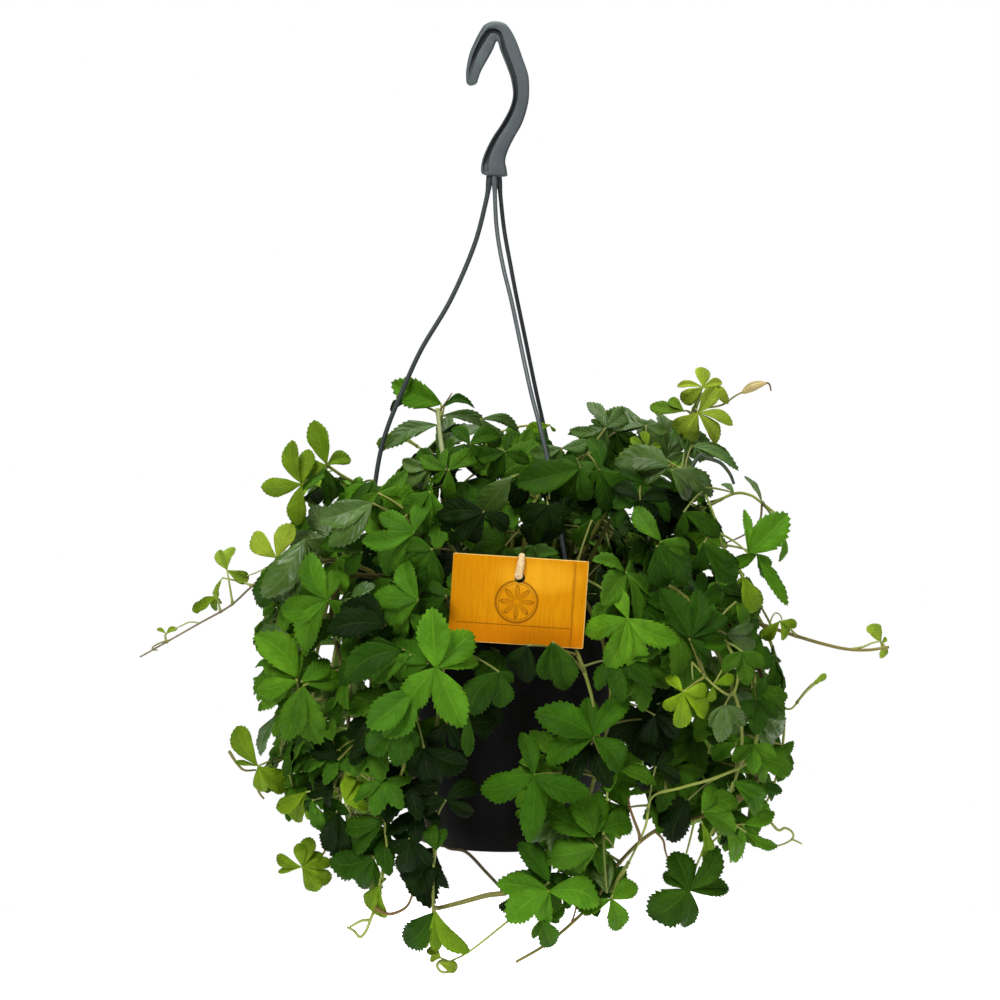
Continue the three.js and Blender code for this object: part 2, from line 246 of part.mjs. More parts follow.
    stem: [[78,-8,-374.7], [78,-8,-361.7], [85.28,-12,-343.7], [107.1,-24,-332], [143.67,-34,-356.91], [165.99,-36,-397.67], [168.23,-42,-435.32], [152.4,-50,-461.93], [123.46,-62,-473.35], [96.03,-74,-479.7], [74.38,-86,-496.36], [60.36,-92,-516.53], [45.88,-94,-531.39], [29.06,-92,-545.93], [11.57,-90,-556.83]],
    leaves: [
      [[162.53,-44.75,-444.77], [155.84,-66.38,-435.56], [0.26, -0.9, -0.34], [[180.99,-51.54,-444.89], [169.28,-58.31,-432.6], [163.48,-56.28,-452.74], [147.36,-58.62,-446.14]]],
      [[167.67,-41.85,-433.87], [164.44,-52.22,-454.08], [0.39, -0.86, -0.32], [[175.51,-45.43,-459.64], [169.44,-45.02,-466.57]]],
      [[168.08,-39.19,-418.82], [167.96,-45.47,-438.47], [0.33, -0.83, 0.45], [[183.62,-35.03,-430.86]]],
    ],
  },
  right_crown: {
    stem: [[50,-22,-374.7], [50,-22,-361.7], [53.29,-27,-330.69], [63.15,-42,-305.32], [82.14,-54,-272.35], [101.22,-60,-258.48], [119.31,-62,-265.61], [130.31,-62,-285.06], [136.64,-60,-306.57]],
    leaves: [
      [[90.84,-57.35,-263.59], [90.83,-46.59,-234.46], [-0.18, -0.96, -0.2], [[65.75,-30.71,-228.71], [71.77,-34.76,-238.29], [87.74,-35.39,-253.61], [104.68,-38.34,-238.06]]],
      [[89.11,-56.58,-265.7], [85.23,-94.98,-276.09], [0.13, -0.98, 0.11], [[68.93,-83.78,-268.66], [102.42,-84.96,-275.77], [94.68,-85.43,-290.14]]],
      [[133.27,-60.94,-295.7], [123.84,-89.06,-302.41], [0.19, -0.87, -0.45], [[145.39,-74.56,-325.08], [146.58,-74.05,-316.65], [116.3,-76.83,-322.41]]],
      [[123.48,-61.95,-274.47], [111.8,-88.93,-283.82], [0.23, -0.84, -0.49], [[134.49,-73.15,-300.38], [107.68,-78.46,-301.67]]],
      [[93.76,-57.89,-263.36], [103.37,-76.62,-257.2], [-0.4, -0.92, -0.06], [[70.04,-68.31,-256.63], [80.58,-61.82,-266.23], [86.46,-64.29,-247.25]]],
      [[119.76,-61.83,-269.38], [104.67,-74.97,-259.74], [0.46, -0.86, -0.23], [[131.2,-57.09,-276.97], [115.72,-62.47,-278.93]]],
      [[136.64,-60,-306.57], [148.6,-71.96,-324.77], [0.29, -0.9, -0.32], [[157.95,-62.65,-346.57], [152.93,-63.99,-338.47]]],
      [[134.11,-60.71,-298.41], [152.15,-63.85,-311.05], [-0.45, -0.77, 0.45], [[176.19,-63.85,-286.71], [150.78,-47.72,-285.74]]],
      [[108.35,-60.58,-262.21], [90.86,-60.59,-248.12], [0.06, -0.84, 0.54], [[81.45,-53.31,-241.33], [88.69,-53.88,-237.65], [99.58,-55.4,-246.66]]],
      [[121.62,-61.89,-271.93], [143.7,-60.19,-274.88], [-0.1, -0.73, 0.68], [[136.19,-54.42,-269.88]]],
      [[136.64,-60,-306.57], [158.24,-55.99,-312.48], [0.84, -0.25, 0.48], [[177.35,-55.99,-344.32], [164.61,-46.56,-328.22]]],
      [[114.18,-61.65,-261.75], [119.13,-43.13,-247.53], [0.42, -0.5, 0.76], [[147.93,-43.13,-262.84], [135.07,-33.6,-252.51]]],
    ],
  },
  right_front: {
    stem: [[65,-38,-374.7], [65,-38,-361.7], [69.09,-48,-343.7], [81.37,-78,-333.18], [102.29,-92,-327.94], [124.97,-94,-346.94], [143.21,-92,-373.73], [141.1,-98,-392.17], [129.91,-104,-386.47], [115.9,-108,-371.51]],
    leaves: [
      [[124.03,-105.4,-379.71], [109.91,-120.73,-387.59], [-0.02, -0.99, -0.15], [[100.85,-112.66,-379.22], [99.21,-111.68,-399.11], [109.98,-111.12,-410.59], [124.25,-110.3,-403.52], [124.63,-112.12,-386.48]]],
      [[122,-106.05,-377.66], [114.03,-108.18,-357.12], [0.45, -0.88, 0.12], [[96.11,-108.18,-327.27], [119.23,-98.34,-328.41], [138.2,-92.83,-346.49], [127.29,-97.27,-371.79]]],
      [[97.69,-88.58,-331.14], [94.51,-114.34,-301.63], [0.31, -0.86, -0.4], [[113.36,-96.81,-326.79], [100.13,-99.1,-328.32]]],
      [[91.97,-86.45,-330.05], [97.05,-110.43,-299.06], [-0.04, -1, -0.04], [[82.86,-95.11,-279.66], [91.24,-97.71,-320.69], [114.85,-99.84,-304.31]]],
      [[124.03,-105.4,-379.71], [116.69,-103.56,-358.93], [0.49, -0.82, 0.31], [[137.78,-91.43,-360.53], [128.88,-88.36,-338]]],
      [[139.35,-92.72,-368.46], [129.54,-100.54,-385.77], [0.54, -0.72, -0.43], [[142.01,-92.84,-382.06], [128.25,-93.95,-397.61]]],
      [[130.32,-93.59,-353.29], [143.98,-78.63,-339.16], [0.09, -0.86, -0.49], [[150.92,-68.14,-356.88], [139.09,-71.98,-349.69]]],
    ],
  },
  right_hang: {
    stem: [[61.92,-46.91,-374.7], [61.92,-46.91,-361.7], [65.92,-63.51,-334.65], [85.54,-92.99,-335.32], [122.21,-82.13,-355.07], [141.36,-94.29,-390.31], [148.18,-78.09,-423.2], [142.76,-72.25,-454.82], [130.46,-76.88,-479.76], [122.12,-75.97,-498.4], [117.89,-66.93,-515.08]],
    leaves: [
      [[117.89,-66.93,-515.08], [116.02,-88.08,-513.08], [-0.2, -0.95, 0.24], [[107.7,-72.73,-492.27], [134.16,-76.56,-487.81], [141.85,-73.07,-512.55], [92.09,-71.94,-532.57]]],
      [[145.12,-72.83,-446.5], [144.79,-75.03,-424.92], [-0.16, -0.97, -0.2], [[126.77,-62.64,-418.34], [131.05,-64.13,-437.79], [151.19,-64.23,-443.93], [158.76,-67.05,-426.23]]],
      [[138.08,-74.29,-464.13], [123.43,-90.91,-464.87], [0.52, -0.84, 0.12], [[145.05,-76.39,-480.47], [146.07,-77.23,-460.06], [131.31,-79.49,-449.24]]],
      [[126.89,-76.55,-487.71], [123.51,-90.11,-471.11], [0.42, -0.84, -0.35], [[126.98,-76.12,-500.82]]],
      [[115.85,-84.75,-351.22], [137.6,-85.3,-357.7], [0.52, -0.85, 0.03], [[156.59,-73.75,-365.9], [155.22,-74.72,-353.6]]],
      [[136.91,-74.53,-467.07], [142.5,-83.61,-447.9], [0.45, -0.86, -0.24], [[158.34,-68.64,-470.87], [161.6,-72.1,-456.08]]],
      [[124.36,-77.06,-492.76], [139.62,-75.68,-478.15], [0.5, -0.79, -0.35], [[143.11,-63.04,-501.63]]],
      [[144.57,-91.42,-399.92], [156.81,-74.65,-406.64], [-0.55, -0.83, 0.06], [[130.65,-58.07,-404.89], [133.76,-58.71,-420.2], [145.43,-63.75,-394.82]]],
      [[130.68,-75.79,-480.12], [150.6,-66.84,-476.76], [0.53, -0.72, -0.45], [[170.49,-54.7,-471.62], [146.98,-52.11,-503.85]]],
      [[134.47,-75.03,-472.54], [151.99,-65.14,-482.03], [0.61, -0.74, 0.28], [[172.71,-52.29,-493.22]]],
    ],
  },
  right_low: {
    stem: [[71,-20,-374.7], [71,-20,-361.7], [78.18,-27,-343.7], [99.72,-48,-332.36], [128.21,-62,-341.15], [152.4,-66,-373.05], [157.81,-70,-411.03], [153.26,-76,-434.55], [134.6,-84,-444.17], [110.17,-90,-450.42], [93.16,-94,-455.17], [89.03,-94,-474.02], [78.17,-97,-496.57], [69.05,-102,-514.39]],
    leaves: [
      [[92.33,-93.54,-465.75], [95.43,-95.12,-436.16], [-0.08, -0.99, -0.06], [[85.02,-85.09,-425.09], [86.35,-84.67,-452.59], [110.46,-84.68,-447.71], [106.63,-86.9,-429.05]]],
      [[77.99,-97.45,-496.89], [68.26,-107.31,-514.47], [0.05, -0.92, -0.39], [[84.85,-96.55,-508.85], [72.96,-95.38,-536.59], [47.65,-94.51,-521.49]]],
      [[79.27,-96.81,-494.4], [67.84,-101.84,-511.99], [0.22, -0.83, 0.51], [[76.62,-90.79,-497.83]]],
      [[131.63,-84.62,-444.85], [115.56,-80.94,-459.38], [-0.38, -0.86, -0.34], [[93.92,-66.45,-471.28], [106.83,-65.8,-488.7]]],
      [[155.2,-67.14,-384.56], [142.9,-79.68,-371.18], [0.47, -0.86, -0.2], [[168.34,-64.74,-379.35], [159.34,-69.86,-367.64], [154.86,-67.22,-390.63]]],
      [[150.21,-65.91,-371.21], [154.75,-68.76,-392.85], [0.37, -0.87, -0.34], [[177.83,-55.39,-399.13], [175.77,-52.41,-414.4], [163.49,-53.39,-419.81]]],
      [[155.47,-72.81,-421.79], [158.05,-66.25,-401.8], [0.5, -0.84, -0.21], [[168.57,-52.19,-431.15], [174.72,-51.3,-423.86]]],
      [[143.58,-64.64,-358.79], [152.63,-60.09,-338.93], [-0.55, -0.84, 0.06], [[128.74,-44.77,-346.92], [137.5,-49.94,-333.99]]],
    ],
  },
  right_outer: {
    stem: [[77,22,-374.7], [77,22,-361.7], [86.03,21,-343.7], [113.11,18,-330.37], [156.38,12,-350.01], [175.03,6,-382.88], [180.47,0,-423.26], [176.42,-6,-454.02], [167.91,-12,-475.15], [155.64,-18,-487.96]],
    leaves: [
      [[150.3,12.85,-346.76], [135.36,7.25,-331.08], [0.92, -0.13, 0.36], [[142.96,-1.66,-360.38], [142.64,20.82,-358.18], [137.46,-17.56,-347.91], [136.18,30.66,-331.39], [122.56,-10.39,-325.49]]],
    ],
  },
  right_tip: {
    stem: [[63,30,-374.7], [63,30,-361.7], [72.36,30,-343.7], [100.42,30,-331.69], [140.57,30,-349.6], [168.3,24,-382.13], [179.28,16,-412.98], [185.29,12,-418.12], [191.56,12,-411.74], [196.57,12,-406], [207.24,12,-397.07]],
    leaves: [
      [[184.96,14.12,-410.98], [197.89,0,-400.42], [0.33, -0.84, 0.44], [[207.29,6.48,-395.01], [201.91,2.71,-398.28]]],
      [[95.46,30.06,-334.35], [94.43,50.39,-346.01], [0.79, 0.38, 0.48], [[90.23,73.7,-363.64], [78.01,73.11,-347.09], [100.06,57.97,-372.23], [77.07,50.88,-330.96], [103.81,34.65,-361.55]]],
    ],
  },
  right_vine: {
    stem: [[77,6,-374.7], [77,6,-361.7], [83.2,3,-343.7], [101.82,-6,-334.02], [129.31,-16,-339.15], [146.48,-20,-348.68], [157.55,-22,-357.18], [169.37,-22,-361.55], [181.81,-22,-365.92], [200.47,-22,-371.55], [216.64,-22,-375.3], [230.3,-22,-375.93], [243.31,-22,-374.05]],
    leaves: [
      [[186.59,-22.01,-367.29], [174.31,-36.01,-356.04], [0.07, -0.89, -0.45], [[164.08,-26.61,-368.44], [185.38,-29.68,-358.08], [177.51,-28.78,-368.78]]],
      [[240.43,-22,-374.2], [240.96,0,-374.47], [0.17, -0.97, 0.17], [[235.52,8.16,-363.49], [243.01,5.75,-384.75], [244.41,2.94,-371.06]]],
      [[170.09,-22.02,-361.78], [160.31,-13.58,-344.09], [0.96, -0.17, 0.21], [[153.62,-42.64,-353.86], [160.7,8.27,-352.18], [150.88,-32.81,-330.28]]],
    ],
  },
  top_ridge: {
    stem: [[1,-4,-374.7], [1,-4,-361.7], [0.6,-6.5,-332.23], [-0.59,-14,-308.12], [-4.28,-22,-276.27], [-7.96,-26,-254.3], [-3.03,-24,-242.7], [9.33,-16,-238.28]],
    leaves: [
      [[-7.6,-26.08,-250.97], [4.9,-75.2,-248.88], [0.09, -0.97, -0.23], [[-11.38,-65.23,-253.23], [20.01,-65.49,-255.64], [9.13,-67.55,-237.35], [-4.15,-63.72,-266.69]]],
      [[-7.6,-26.08,-250.97], [-16.22,-63.47,-244.88], [0.35, -0.83, 0.43], [[-27.22,-54.74,-235.77], [1.9,-52.22,-240.8], [-6.6,-54.73,-256.45]]],
      [[-7.6,-26.08,-250.97], [-9.62,-55.21,-230.27], [0.45, -0.85, -0.26], [[13.51,-40.59,-239.13], [5.57,-40.98,-249.52]]],
      [[9.33,-16,-238.28], [32.6,-31.07,-235.46], [-0.35, -0.9, -0.28], [[17.94,-21.96,-239.75], [36.34,-27.94,-239.35]]],
      [[-5.49,-24.82,-249.39], [14.14,-15.56,-243.16], [0.55, -0.67, 0.5], [[37.62,-4.94,-255.23], [29.41,4.79,-239.05], [27.79,-19.01,-267.68], [5.98,-29.05,-255.33]]],
    ],
  },
  under_pot: {
    stem: [[-41,-50,-374.7], [-41,-50,-361.7], [-42.58,-58.5,-343.7], [-47.31,-84,-332.48], [-55.64,-90,-372.79], [-51.05,-88,-433.73], [-40.41,-83,-477.36], [-30.2,-80,-488.36], [-18.69,-80,-491.43], [-6.57,-83,-503.1], [3.71,-86,-513.52]],
    leaves: [
    ],
  },
  back_01: {
    stem: [[66.96,2.16,-374.7], [66.96,2.16,-361.7], [85.35,2.81,-321.7], [112.85,5.65,-329.2], [136.43,12.27,-372], [149.33,22,-420], [141.94,29.11,-470]],
    leaves: [
      [[106.18,4.64,-323.82], [110.32,-14.04,-310.04], [0.83, -0.01, 0.56], [[121.91,-25.19,-335.22], [122.93,-3.47,-332.56], [115.53,-41.08,-319.91], [111.21,6.69,-318.86], [102,-35.55,-308.42]]],
      [[145.6,18.13,-400.74], [153.06,29.04,-383.09], [0.87, 0.33, 0.38], [[156.55,40.94,-411.39], [144.49,53.8,-393.93], [164.29,19.03,-407.79], [136.92,45.79,-374.65], [157.22,6.27,-388.74]]],
      [[147.98,20.45,-412.11], [154.33,4.39,-399.56], [0.84, -0.24, 0.49], [[157.95,-22.8,-424.57], [163.64,3.44,-429.94], [139.35,-25.97,-401.83], [160.51,25.35,-414.27], [135.38,-2.19,-385.83]]],
      [[148.24,23.39,-429.45], [155.38,43.56,-435.44], [0.74, 0.43, 0.53], [[167.75,53.65,-466.29], [149.01,67.4,-453.05], [172.09,27.02,-455.16], [137.95,57.25,-433.54], [164.33,20.44,-437.41]]],
    ],
  },
  back_02: {
    stem: [[52.08,14.87,-374.7], [52.08,14.87,-361.7], [73.89,21.24,-307.12], [107.57,31.84,-318.06], [126.74,34.43,-380.51], [136.7,30.23,-429.79], [126.33,23.74,-489.82], [117.05,14.94,-524.38]],
    leaves: [
      [[69.57,19.97,-316.16], [82.85,16.53,-297.69], [0.3, -0.15, 0.94], [[100.25,-4.12,-308.39], [107.97,17.42,-309.83], [78.34,-9.26,-306.69], [91.14,34.49,-303.57], [63.32,6.51,-296.54]]],
      [[102.32,30.25,-314.26], [103.06,51.77,-309.03], [0.66, 0.29, 0.69], [[110.89,79.17,-327.55], [87.56,80.02,-313.16], [121.68,52.85,-334.27], [83.91,60.25,-298.75], [117.5,37.47,-321.8]]],
      [[120.99,34.28,-356.4], [126.88,49.91,-341.53], [0.66, 0.4, 0.63], [[141.05,57.86,-369.14], [128.71,73.16,-358.21], [144.98,40.4,-359.39], [110.74,66.09,-344.22], [135.37,28.09,-340.65]]],
      [[125.35,34.43,-374.84], [136.38,46.46,-390.53], [0.9, 0.19, 0.39], [[146.69,55.89,-420.81], [133.41,73.77,-403.39], [144.41,30.27,-412.14], [125.35,65.8,-384.85], [140.67,25.24,-392.89]]],
    ],
  },
  back_03: {
    stem: [[60.35,35.95,-374.7], [60.35,35.95,-361.7], [73.1,44.22,-325.7], [91.02,58.46,-332.2], [107.23,77.03,-375], [112.17,93.16,-420], [108.24,103.24,-455]],
    leaves: [
      [[65.9,39.48,-343.65], [72.54,56.18,-331.67], [0.25, 0.79, 0.56], [[67.08,74.73,-360.14], [48.54,68.46,-345.26], [89.84,63.97,-358.06], [47.51,53.6,-326.23], [94.49,46.78,-337.31]]],
      [[102.21,70.4,-358.11], [91.5,92.18,-353.74], [0.85, 0.15, 0.51], [[91.59,120.35,-372.84], [82.98,122.55,-350.62], [102.65,102.11,-382.56], [72.74,100.45,-339.25], [99.85,75.71,-370.01]]],
      [[102.21,70.4,-358.11], [118.32,74.89,-372.65], [0.65, 0.52, 0.55], [[131.45,83.41,-405.62], [112.1,101.49,-391.45], [139.47,61.72,-393.09], [97.39,86.93,-373.45], [129.09,51.44,-367.45]]],
      [[107.47,77.72,-376.77], [116.08,97.7,-378.3], [0.44, 0.73, 0.52], [[113.18,118.67,-400.88], [95.17,113.36,-389.57], [126.46,102.05,-403.28], [97.72,98.69,-369.17], [135.25,89.84,-385.88]]],
    ],
  },
  back_04: {
    stem: [[39.79,38.64,-374.7], [39.79,38.64,-361.7], [53.71,54.1,-303.7], [73.5,78.25,-315.7], [83.42,93.46,-385], [85.04,102.44,-440], [79.06,101.94,-480], [69.87,96.17,-502]],
    leaves: [
      [[70.99,75.1,-312.41], [81.42,56.34,-318.02], [0.62, 0.38, 0.69], [[91.65,74.21,-341.11], [70.51,80.45,-326.99], [99.61,49.02,-339.82], [61.93,65.41,-316.11], [92.65,36.21,-321.78]]],
      [[70.99,75.1,-312.41], [57.62,90.75,-305.34], [0.42, 0.76, 0.5], [[64.94,99.35,-334.38], [42.87,111.33,-325.32], [82.31,87.89,-321.96], [36.85,98.85,-308.73], [76.68,75.02,-306.17]]],
      [[77.15,83.25,-331.48], [85.58,76.45,-312.27], [0.42, 0.83, 0.36], [[101.47,76.21,-337.91], [82.79,84.78,-336.98], [106.86,65.42,-323.54], [67.04,82.22,-318.23], [94.66,62.72,-302.29]]],
      [[79.5,86.72,-347.98], [75.39,116.47,-341.95], [0.04, 0.64, 0.77], [[86.89,137,-364.8], [63.28,137.9,-363.44], [105.23,124.02,-354.11], [53.61,119.05,-350.64], [95.74,104.25,-340.15]]],
    ],
  },
  back_05: {
    stem: [[34.35,58.19,-374.7], [34.35,58.19,-361.7], [41.56,74.61,-320.11], [54.02,94,-329.11], [69.11,110.72,-369.98], [82.21,122.42,-414.35], [86.99,121.34,-449.35], [89.27,110.88,-478.35]],
    leaves: [
      [[48.85,86.68,-321.09], [28.09,81.3,-328.58], [0.49, 0.66, 0.58], [[16.76,102.22,-348.54], [2.62,95.9,-331.25], [34.04,90.35,-354.81], [11.31,72.7,-317.86], [46.27,70.48,-339.56]]],
      [[51.3,89.92,-325.69], [55.04,109.32,-335.96], [0.2, 0.73, 0.65], [[49.99,127.28,-358.04], [31.49,121.48,-346.24], [72.53,118.53,-356.66], [35.23,103.78,-329.86], [76.23,104.15,-341.59]]],
      [[67.23,108.79,-364.29], [89.26,116.92,-353.55], [0.22, 0.62, 0.75], [[123.19,118.21,-369.01], [101.29,134.03,-379.98], [113.58,98.77,-351.72], [77.39,132.25,-370.91], [91.14,91.71,-345.13]]],
      [[68.14,109.71,-367.1], [66.06,127.78,-379.71], [0.51, 0.38, 0.77], [[63.21,155.3,-392.8], [44.19,147.83,-381.28], [79.48,139.63,-404.46], [42.97,126.22,-372.46], [82.69,123.14,-392.74]]],
    ],
  },
  back_06: {
    stem: [[16.23,52.82,-374.7], [16.23,52.82,-361.7], [20.39,72.38,-299.7], [24.84,102.09,-312.7], [25.14,120.33,-385], [20.84,129.03,-430], [14.89,125.61,-465], [9.12,117.93,-492]],
    leaves: [
      [[18.22,61.6,-325.95], [-6.83,79.97,-329.86], [-0.24, 0.57, 0.79], [[-27.89,90.5,-345.88], [-29.74,69.21,-334.29], [-3.51,98.33,-346.58], [-18.41,62.88,-325.37], [7.29,89.61,-338.61]]],
      [[24.96,103.97,-318.5], [14.97,101.44,-299.47], [0.11, 0.37, 0.92], [[5.47,130.01,-312.28], [-16.13,114.2,-306.64], [32.94,123.89,-315.54], [-7.37,93.58,-299.12], [38.26,101.49,-308.32]]],
      [[25.17,105.71,-321.06], [41.47,122.09,-311.93], [0.07, 0.9, 0.42], [[56.71,128.35,-334.83], [37.25,131.91,-338.11], [66.61,122.46,-319.17], [23.23,125.21,-322.24], [56.82,112.34,-304.55]]],
      [[25.53,112.2,-345.37], [19.84,133.1,-340.56], [0.18, 0.75, 0.63], [[7.3,152.12,-364.73], [-10.47,140.77,-348.63], [31.14,145.94,-365.42], [-1.21,123.05,-331.01], [41.03,125.18,-347.32]]],
    ],
  },
  back_07: {
    stem: [[2.7,65.96,-374.7], [2.7,65.96,-361.7], [2.14,81.95,-323.7], [-0.18,105.87,-330.7], [-5.58,129.57,-372], [-13.64,144.81,-420], [-20.7,145.75,-462]],
    leaves: [
      [[-2.72,118.76,-350.21], [-5.75,103.33,-334.6], [0.07, 0.94, 0.32], [[-20.3,111.32,-360.01], [-30.55,103.6,-341.09], [3.52,106.43,-358.25], [-22.94,96.99,-325.31], [12.37,101.33,-344.67]]],
      [[-2.37,117.35,-347.46], [-21.05,120.18,-336.47], [-0.34, 0.85, 0.41], [[-38.89,118.87,-357.02], [-44.12,109.61,-338.91], [-21.86,129.04,-359.1], [-28.88,107.47,-325.4], [-7.67,126.31,-348.2]]],
      [[-4.12,124.4,-361.22], [5.08,143.86,-358.8], [0.13, 0.76, 0.64], [[19.88,160.45,-382.07], [-4.52,159.91,-385.2], [33.2,144.92,-371.92], [-17.16,148.72,-364.67], [23.38,128.85,-353.35]]],
      [[-8.92,137.32,-392.5], [-35.85,147.38,-385.14], [-0.21, 0.7, 0.69], [[-54.65,156.71,-404.48], [-59.74,139.38,-388.61], [-29.39,164.35,-405.13], [-47.6,131.65,-379.27], [-20.52,155.33,-395.03]]],
    ],
  },
  back_08: {
    stem: [[-9.33,49.99,-374.7], [-9.33,49.99,-361.7], [-15.07,69.98,-305.7], [-22.27,100.36,-317.2], [-24.51,118.38,-385], [-22.03,127.16,-430], [-16.88,124.09,-465], [-11.14,114.87,-494]],
    leaves: [
      [[-23.11,104.92,-327.56], [-36.12,104.87,-310.26], [-0.03, 0.94, 0.33], [[-60.73,114.84,-332.55], [-70.22,97.63,-312.4], [-33.99,108.6,-344.56], [-52.06,95.07,-293.94], [-18.54,109.06,-326.64]]],
      [[-23.11,104.92,-327.56], [-7.38,127.65,-319.26], [0.23, 0.75, 0.62], [[-0.54,140.27,-341.67], [-22.7,143.1,-336.21], [14.15,128.86,-331.78], [-26.84,127.96,-318.08], [6.4,113.1,-313.11]]],
      [[-24.42,115.61,-372.24], [-45.97,127.92,-368.77], [-0.25, 0.76, 0.61], [[-58.75,141.46,-398.94], [-77.15,125.22,-380.74], [-31.43,144.59,-390.21], [-63.97,110.34,-366.36], [-23.38,133.19,-372.33]]],
      [[-24.25,121.75,-399.13], [-12.17,125.62,-381.93], [-0.32, 0.92, 0.21], [[1.69,132.03,-407.2], [-23.76,126.77,-406.47], [12.29,134.77,-385.93], [-30.34,117.46,-389.57], [2.28,124.3,-368.97]]],
    ],
  },
  back_09: {
    stem: [[-28,57.16,-374.7], [-28,57.16,-361.7], [-36,71.01,-321.7], [-49.59,90.86,-329.2], [-64.85,109.64,-370], [-78.74,119.6,-415], [-82.66,114.24,-462], [-81.13,102.65,-492]],
    leaves: [
      [[-33.4,66.69,-330.67], [-55.09,59.17,-330.83], [-0.37, 0.84, 0.39], [[-79.33,47.86,-337.91], [-70.09,42.26,-316.23], [-67.47,60.31,-353.27], [-48.39,49.47,-315.44], [-44.33,66.53,-346.98]]],
      [[-53.27,95.68,-338.52], [-75.6,98.55,-340.05], [-0.82, 0.44, 0.37], [[-84.13,92.04,-364.4], [-91.36,78.06,-349.57], [-78.49,111.15,-363.77], [-75.32,79.79,-328.89], [-63.49,115.32,-340.7]]],
      [[-60.82,105.03,-358.08], [-59.2,122.17,-344.31], [-0.34, 0.66, 0.67], [[-47.85,148.46,-365.88], [-71.89,132.97,-372.37], [-31.92,133.07,-351.53], [-80.57,113.23,-354.98], [-39.83,111.19,-333.57]]],
      [[-67.92,112.2,-378.86], [-88.58,123,-367.07], [-0.34, 0.78, 0.52], [[-98.57,138.15,-396.61], [-113.82,116.02,-386.2], [-69.91,137.38,-390.64], [-105.21,105.47,-362.36], [-64.26,126.7,-365.24]]],
    ],
  },
  back_10: {
    stem: [[-31.12,37.41,-374.7], [-31.12,37.41,-361.7], [-45.57,52.37,-301.7], [-68.54,73.54,-314.2], [-83.5,83.98,-385], [-93.11,85.29,-440], [-93.61,78.44,-480], [-88.85,68.18,-506]],
    leaves: [
      [[-61.24,67.05,-304.99], [-41.01,62.74,-310.76], [-0.64, 0.71, 0.29], [[-22.72,80.43,-326.79], [-39.81,70.06,-338.65], [-17.87,76.36,-303.07], [-51.53,52.1,-325.55], [-29.55,57.64,-293.57]]],
      [[-63.39,69.06,-305.56], [-82.4,51.76,-293.66], [-0.41, 0.43, 0.81], [[-105.51,42.05,-309.5], [-98.02,27.15,-291.26], [-101.33,64.66,-311.56], [-72.73,33.21,-287.03], [-71.22,67.84,-306.27]]],
      [[-67.65,72.64,-315.62], [-72.05,97.61,-306.11], [-0.68, 0.7, 0.21], [[-58.9,114.16,-328.15], [-77.07,97.73,-333.61], [-50.53,114.06,-305.55], [-81.96,86.62,-319.79], [-57.18,103.77,-291.53]]],
      [[-78.04,80.81,-353.6], [-104.48,91.35,-347.39], [-0.78, 0.46, 0.42], [[-120.68,83.59,-370.4], [-116.63,68.74,-352.3], [-106.64,102.1,-368.45], [-107.08,75.08,-338.35], [-96.79,105.35,-356.32]]],
    ],
  },
  back_11: {
    stem: [[-50.97,34.97,-374.7], [-50.97,34.97,-361.7], [-64.54,43.45,-323.7], [-84.1,57.42,-330.7], [-101.92,73.94,-374], [-109.5,87.33,-420], [-103.78,91.28,-465]],
    leaves: [
      [[-80.09,54.29,-326.15], [-72.91,33.68,-332.69], [-0.76, 0.25, 0.6], [[-93.36,25.62,-353.57], [-82.68,4.89,-342.54], [-81.18,46.36,-358.83], [-66.28,14.91,-322.42], [-66.69,55.76,-338.3]]],
      [[-95.1,67.11,-354.15], [-101.71,59.22,-334.37], [-0.87, 0.35, 0.34], [[-111.02,63.99,-369.7], [-115.23,36.3,-356.08], [-93,85.6,-354.14], [-105.15,32.8,-334.76], [-87.69,80.51,-329.59]]],
      [[-104.66,77.77,-385.59], [-98.26,90.57,-368.91], [-0.43, 0.71, 0.55], [[-92.94,110.46,-395.53], [-73.44,107.56,-380.51], [-118.67,75.64,-377.3], [-72.88,88.43,-361.45]]],
      [[-107.74,83.04,-403.4], [-119.5,72.81,-388.56], [-0.5, 0.5, 0.71], [[-139.6,77.85,-407.64], [-141.46,57.68,-395.34], [-122.37,89.91,-405.6], [-121.68,55.25,-380.28]]],
    ],
  },
  back_12: {
    stem: [[-46.64,15.79,-374.7], [-46.64,15.79,-361.7], [-66.53,21.87,-309.7], [-95.93,32.4,-320.2], [-114.14,41.02,-380], [-118.23,47.3,-432], [-109.14,48.45,-488], [-96.51,47.33,-520]],
    leaves: [
      [[-87.04,29.14,-314.23], [-82.57,15.17,-332], [-0.72, 0.08, 0.69], [[-100.49,8.82,-355.75], [-90.93,-7.67,-341.4], [-94.77,30.95,-351.31], [-72.72,-3.39,-327.36], [-76.23,34.58,-333.17]]],
      [[-64.06,21.14,-317.99], [-70.13,35.67,-304.16], [-0.63, 0.21, 0.75], [[-64.29,61.09,-310.51], [-79.75,54.48,-321.42], [-51.65,55.71,-298.97], [-81.41,29.21,-318.78], [-54.63,27.47,-294.08]]],
      [[-101.69,34.85,-334.42], [-107.42,22.61,-317.27], [-0.8, 0.19, 0.58], [[-121.46,28.04,-341.65], [-104.63,4.64,-315.83], [-95.29,35.67,-312.71]]],
      [[-105.81,36.63,-345.06], [-106.61,47.64,-324.01], [-0.92, 0.15, 0.37], [[-111.34,52.21,-354.1], [-114.59,31.38,-345.03], [-105.9,71.91,-343.03], [-102.13,24.63,-324.02], [-94.11,63.95,-317.28]]],
    ],
  },
  crown_back_left: {
    stem: [[-14.28,22.98,-374.7], [-14.28,22.98,-361.7], [-17.97,25.07,-330], [-27.53,32.53,-290], [-40.71,41.89,-262], [-59.35,53.99,-250]],
    leaves: [
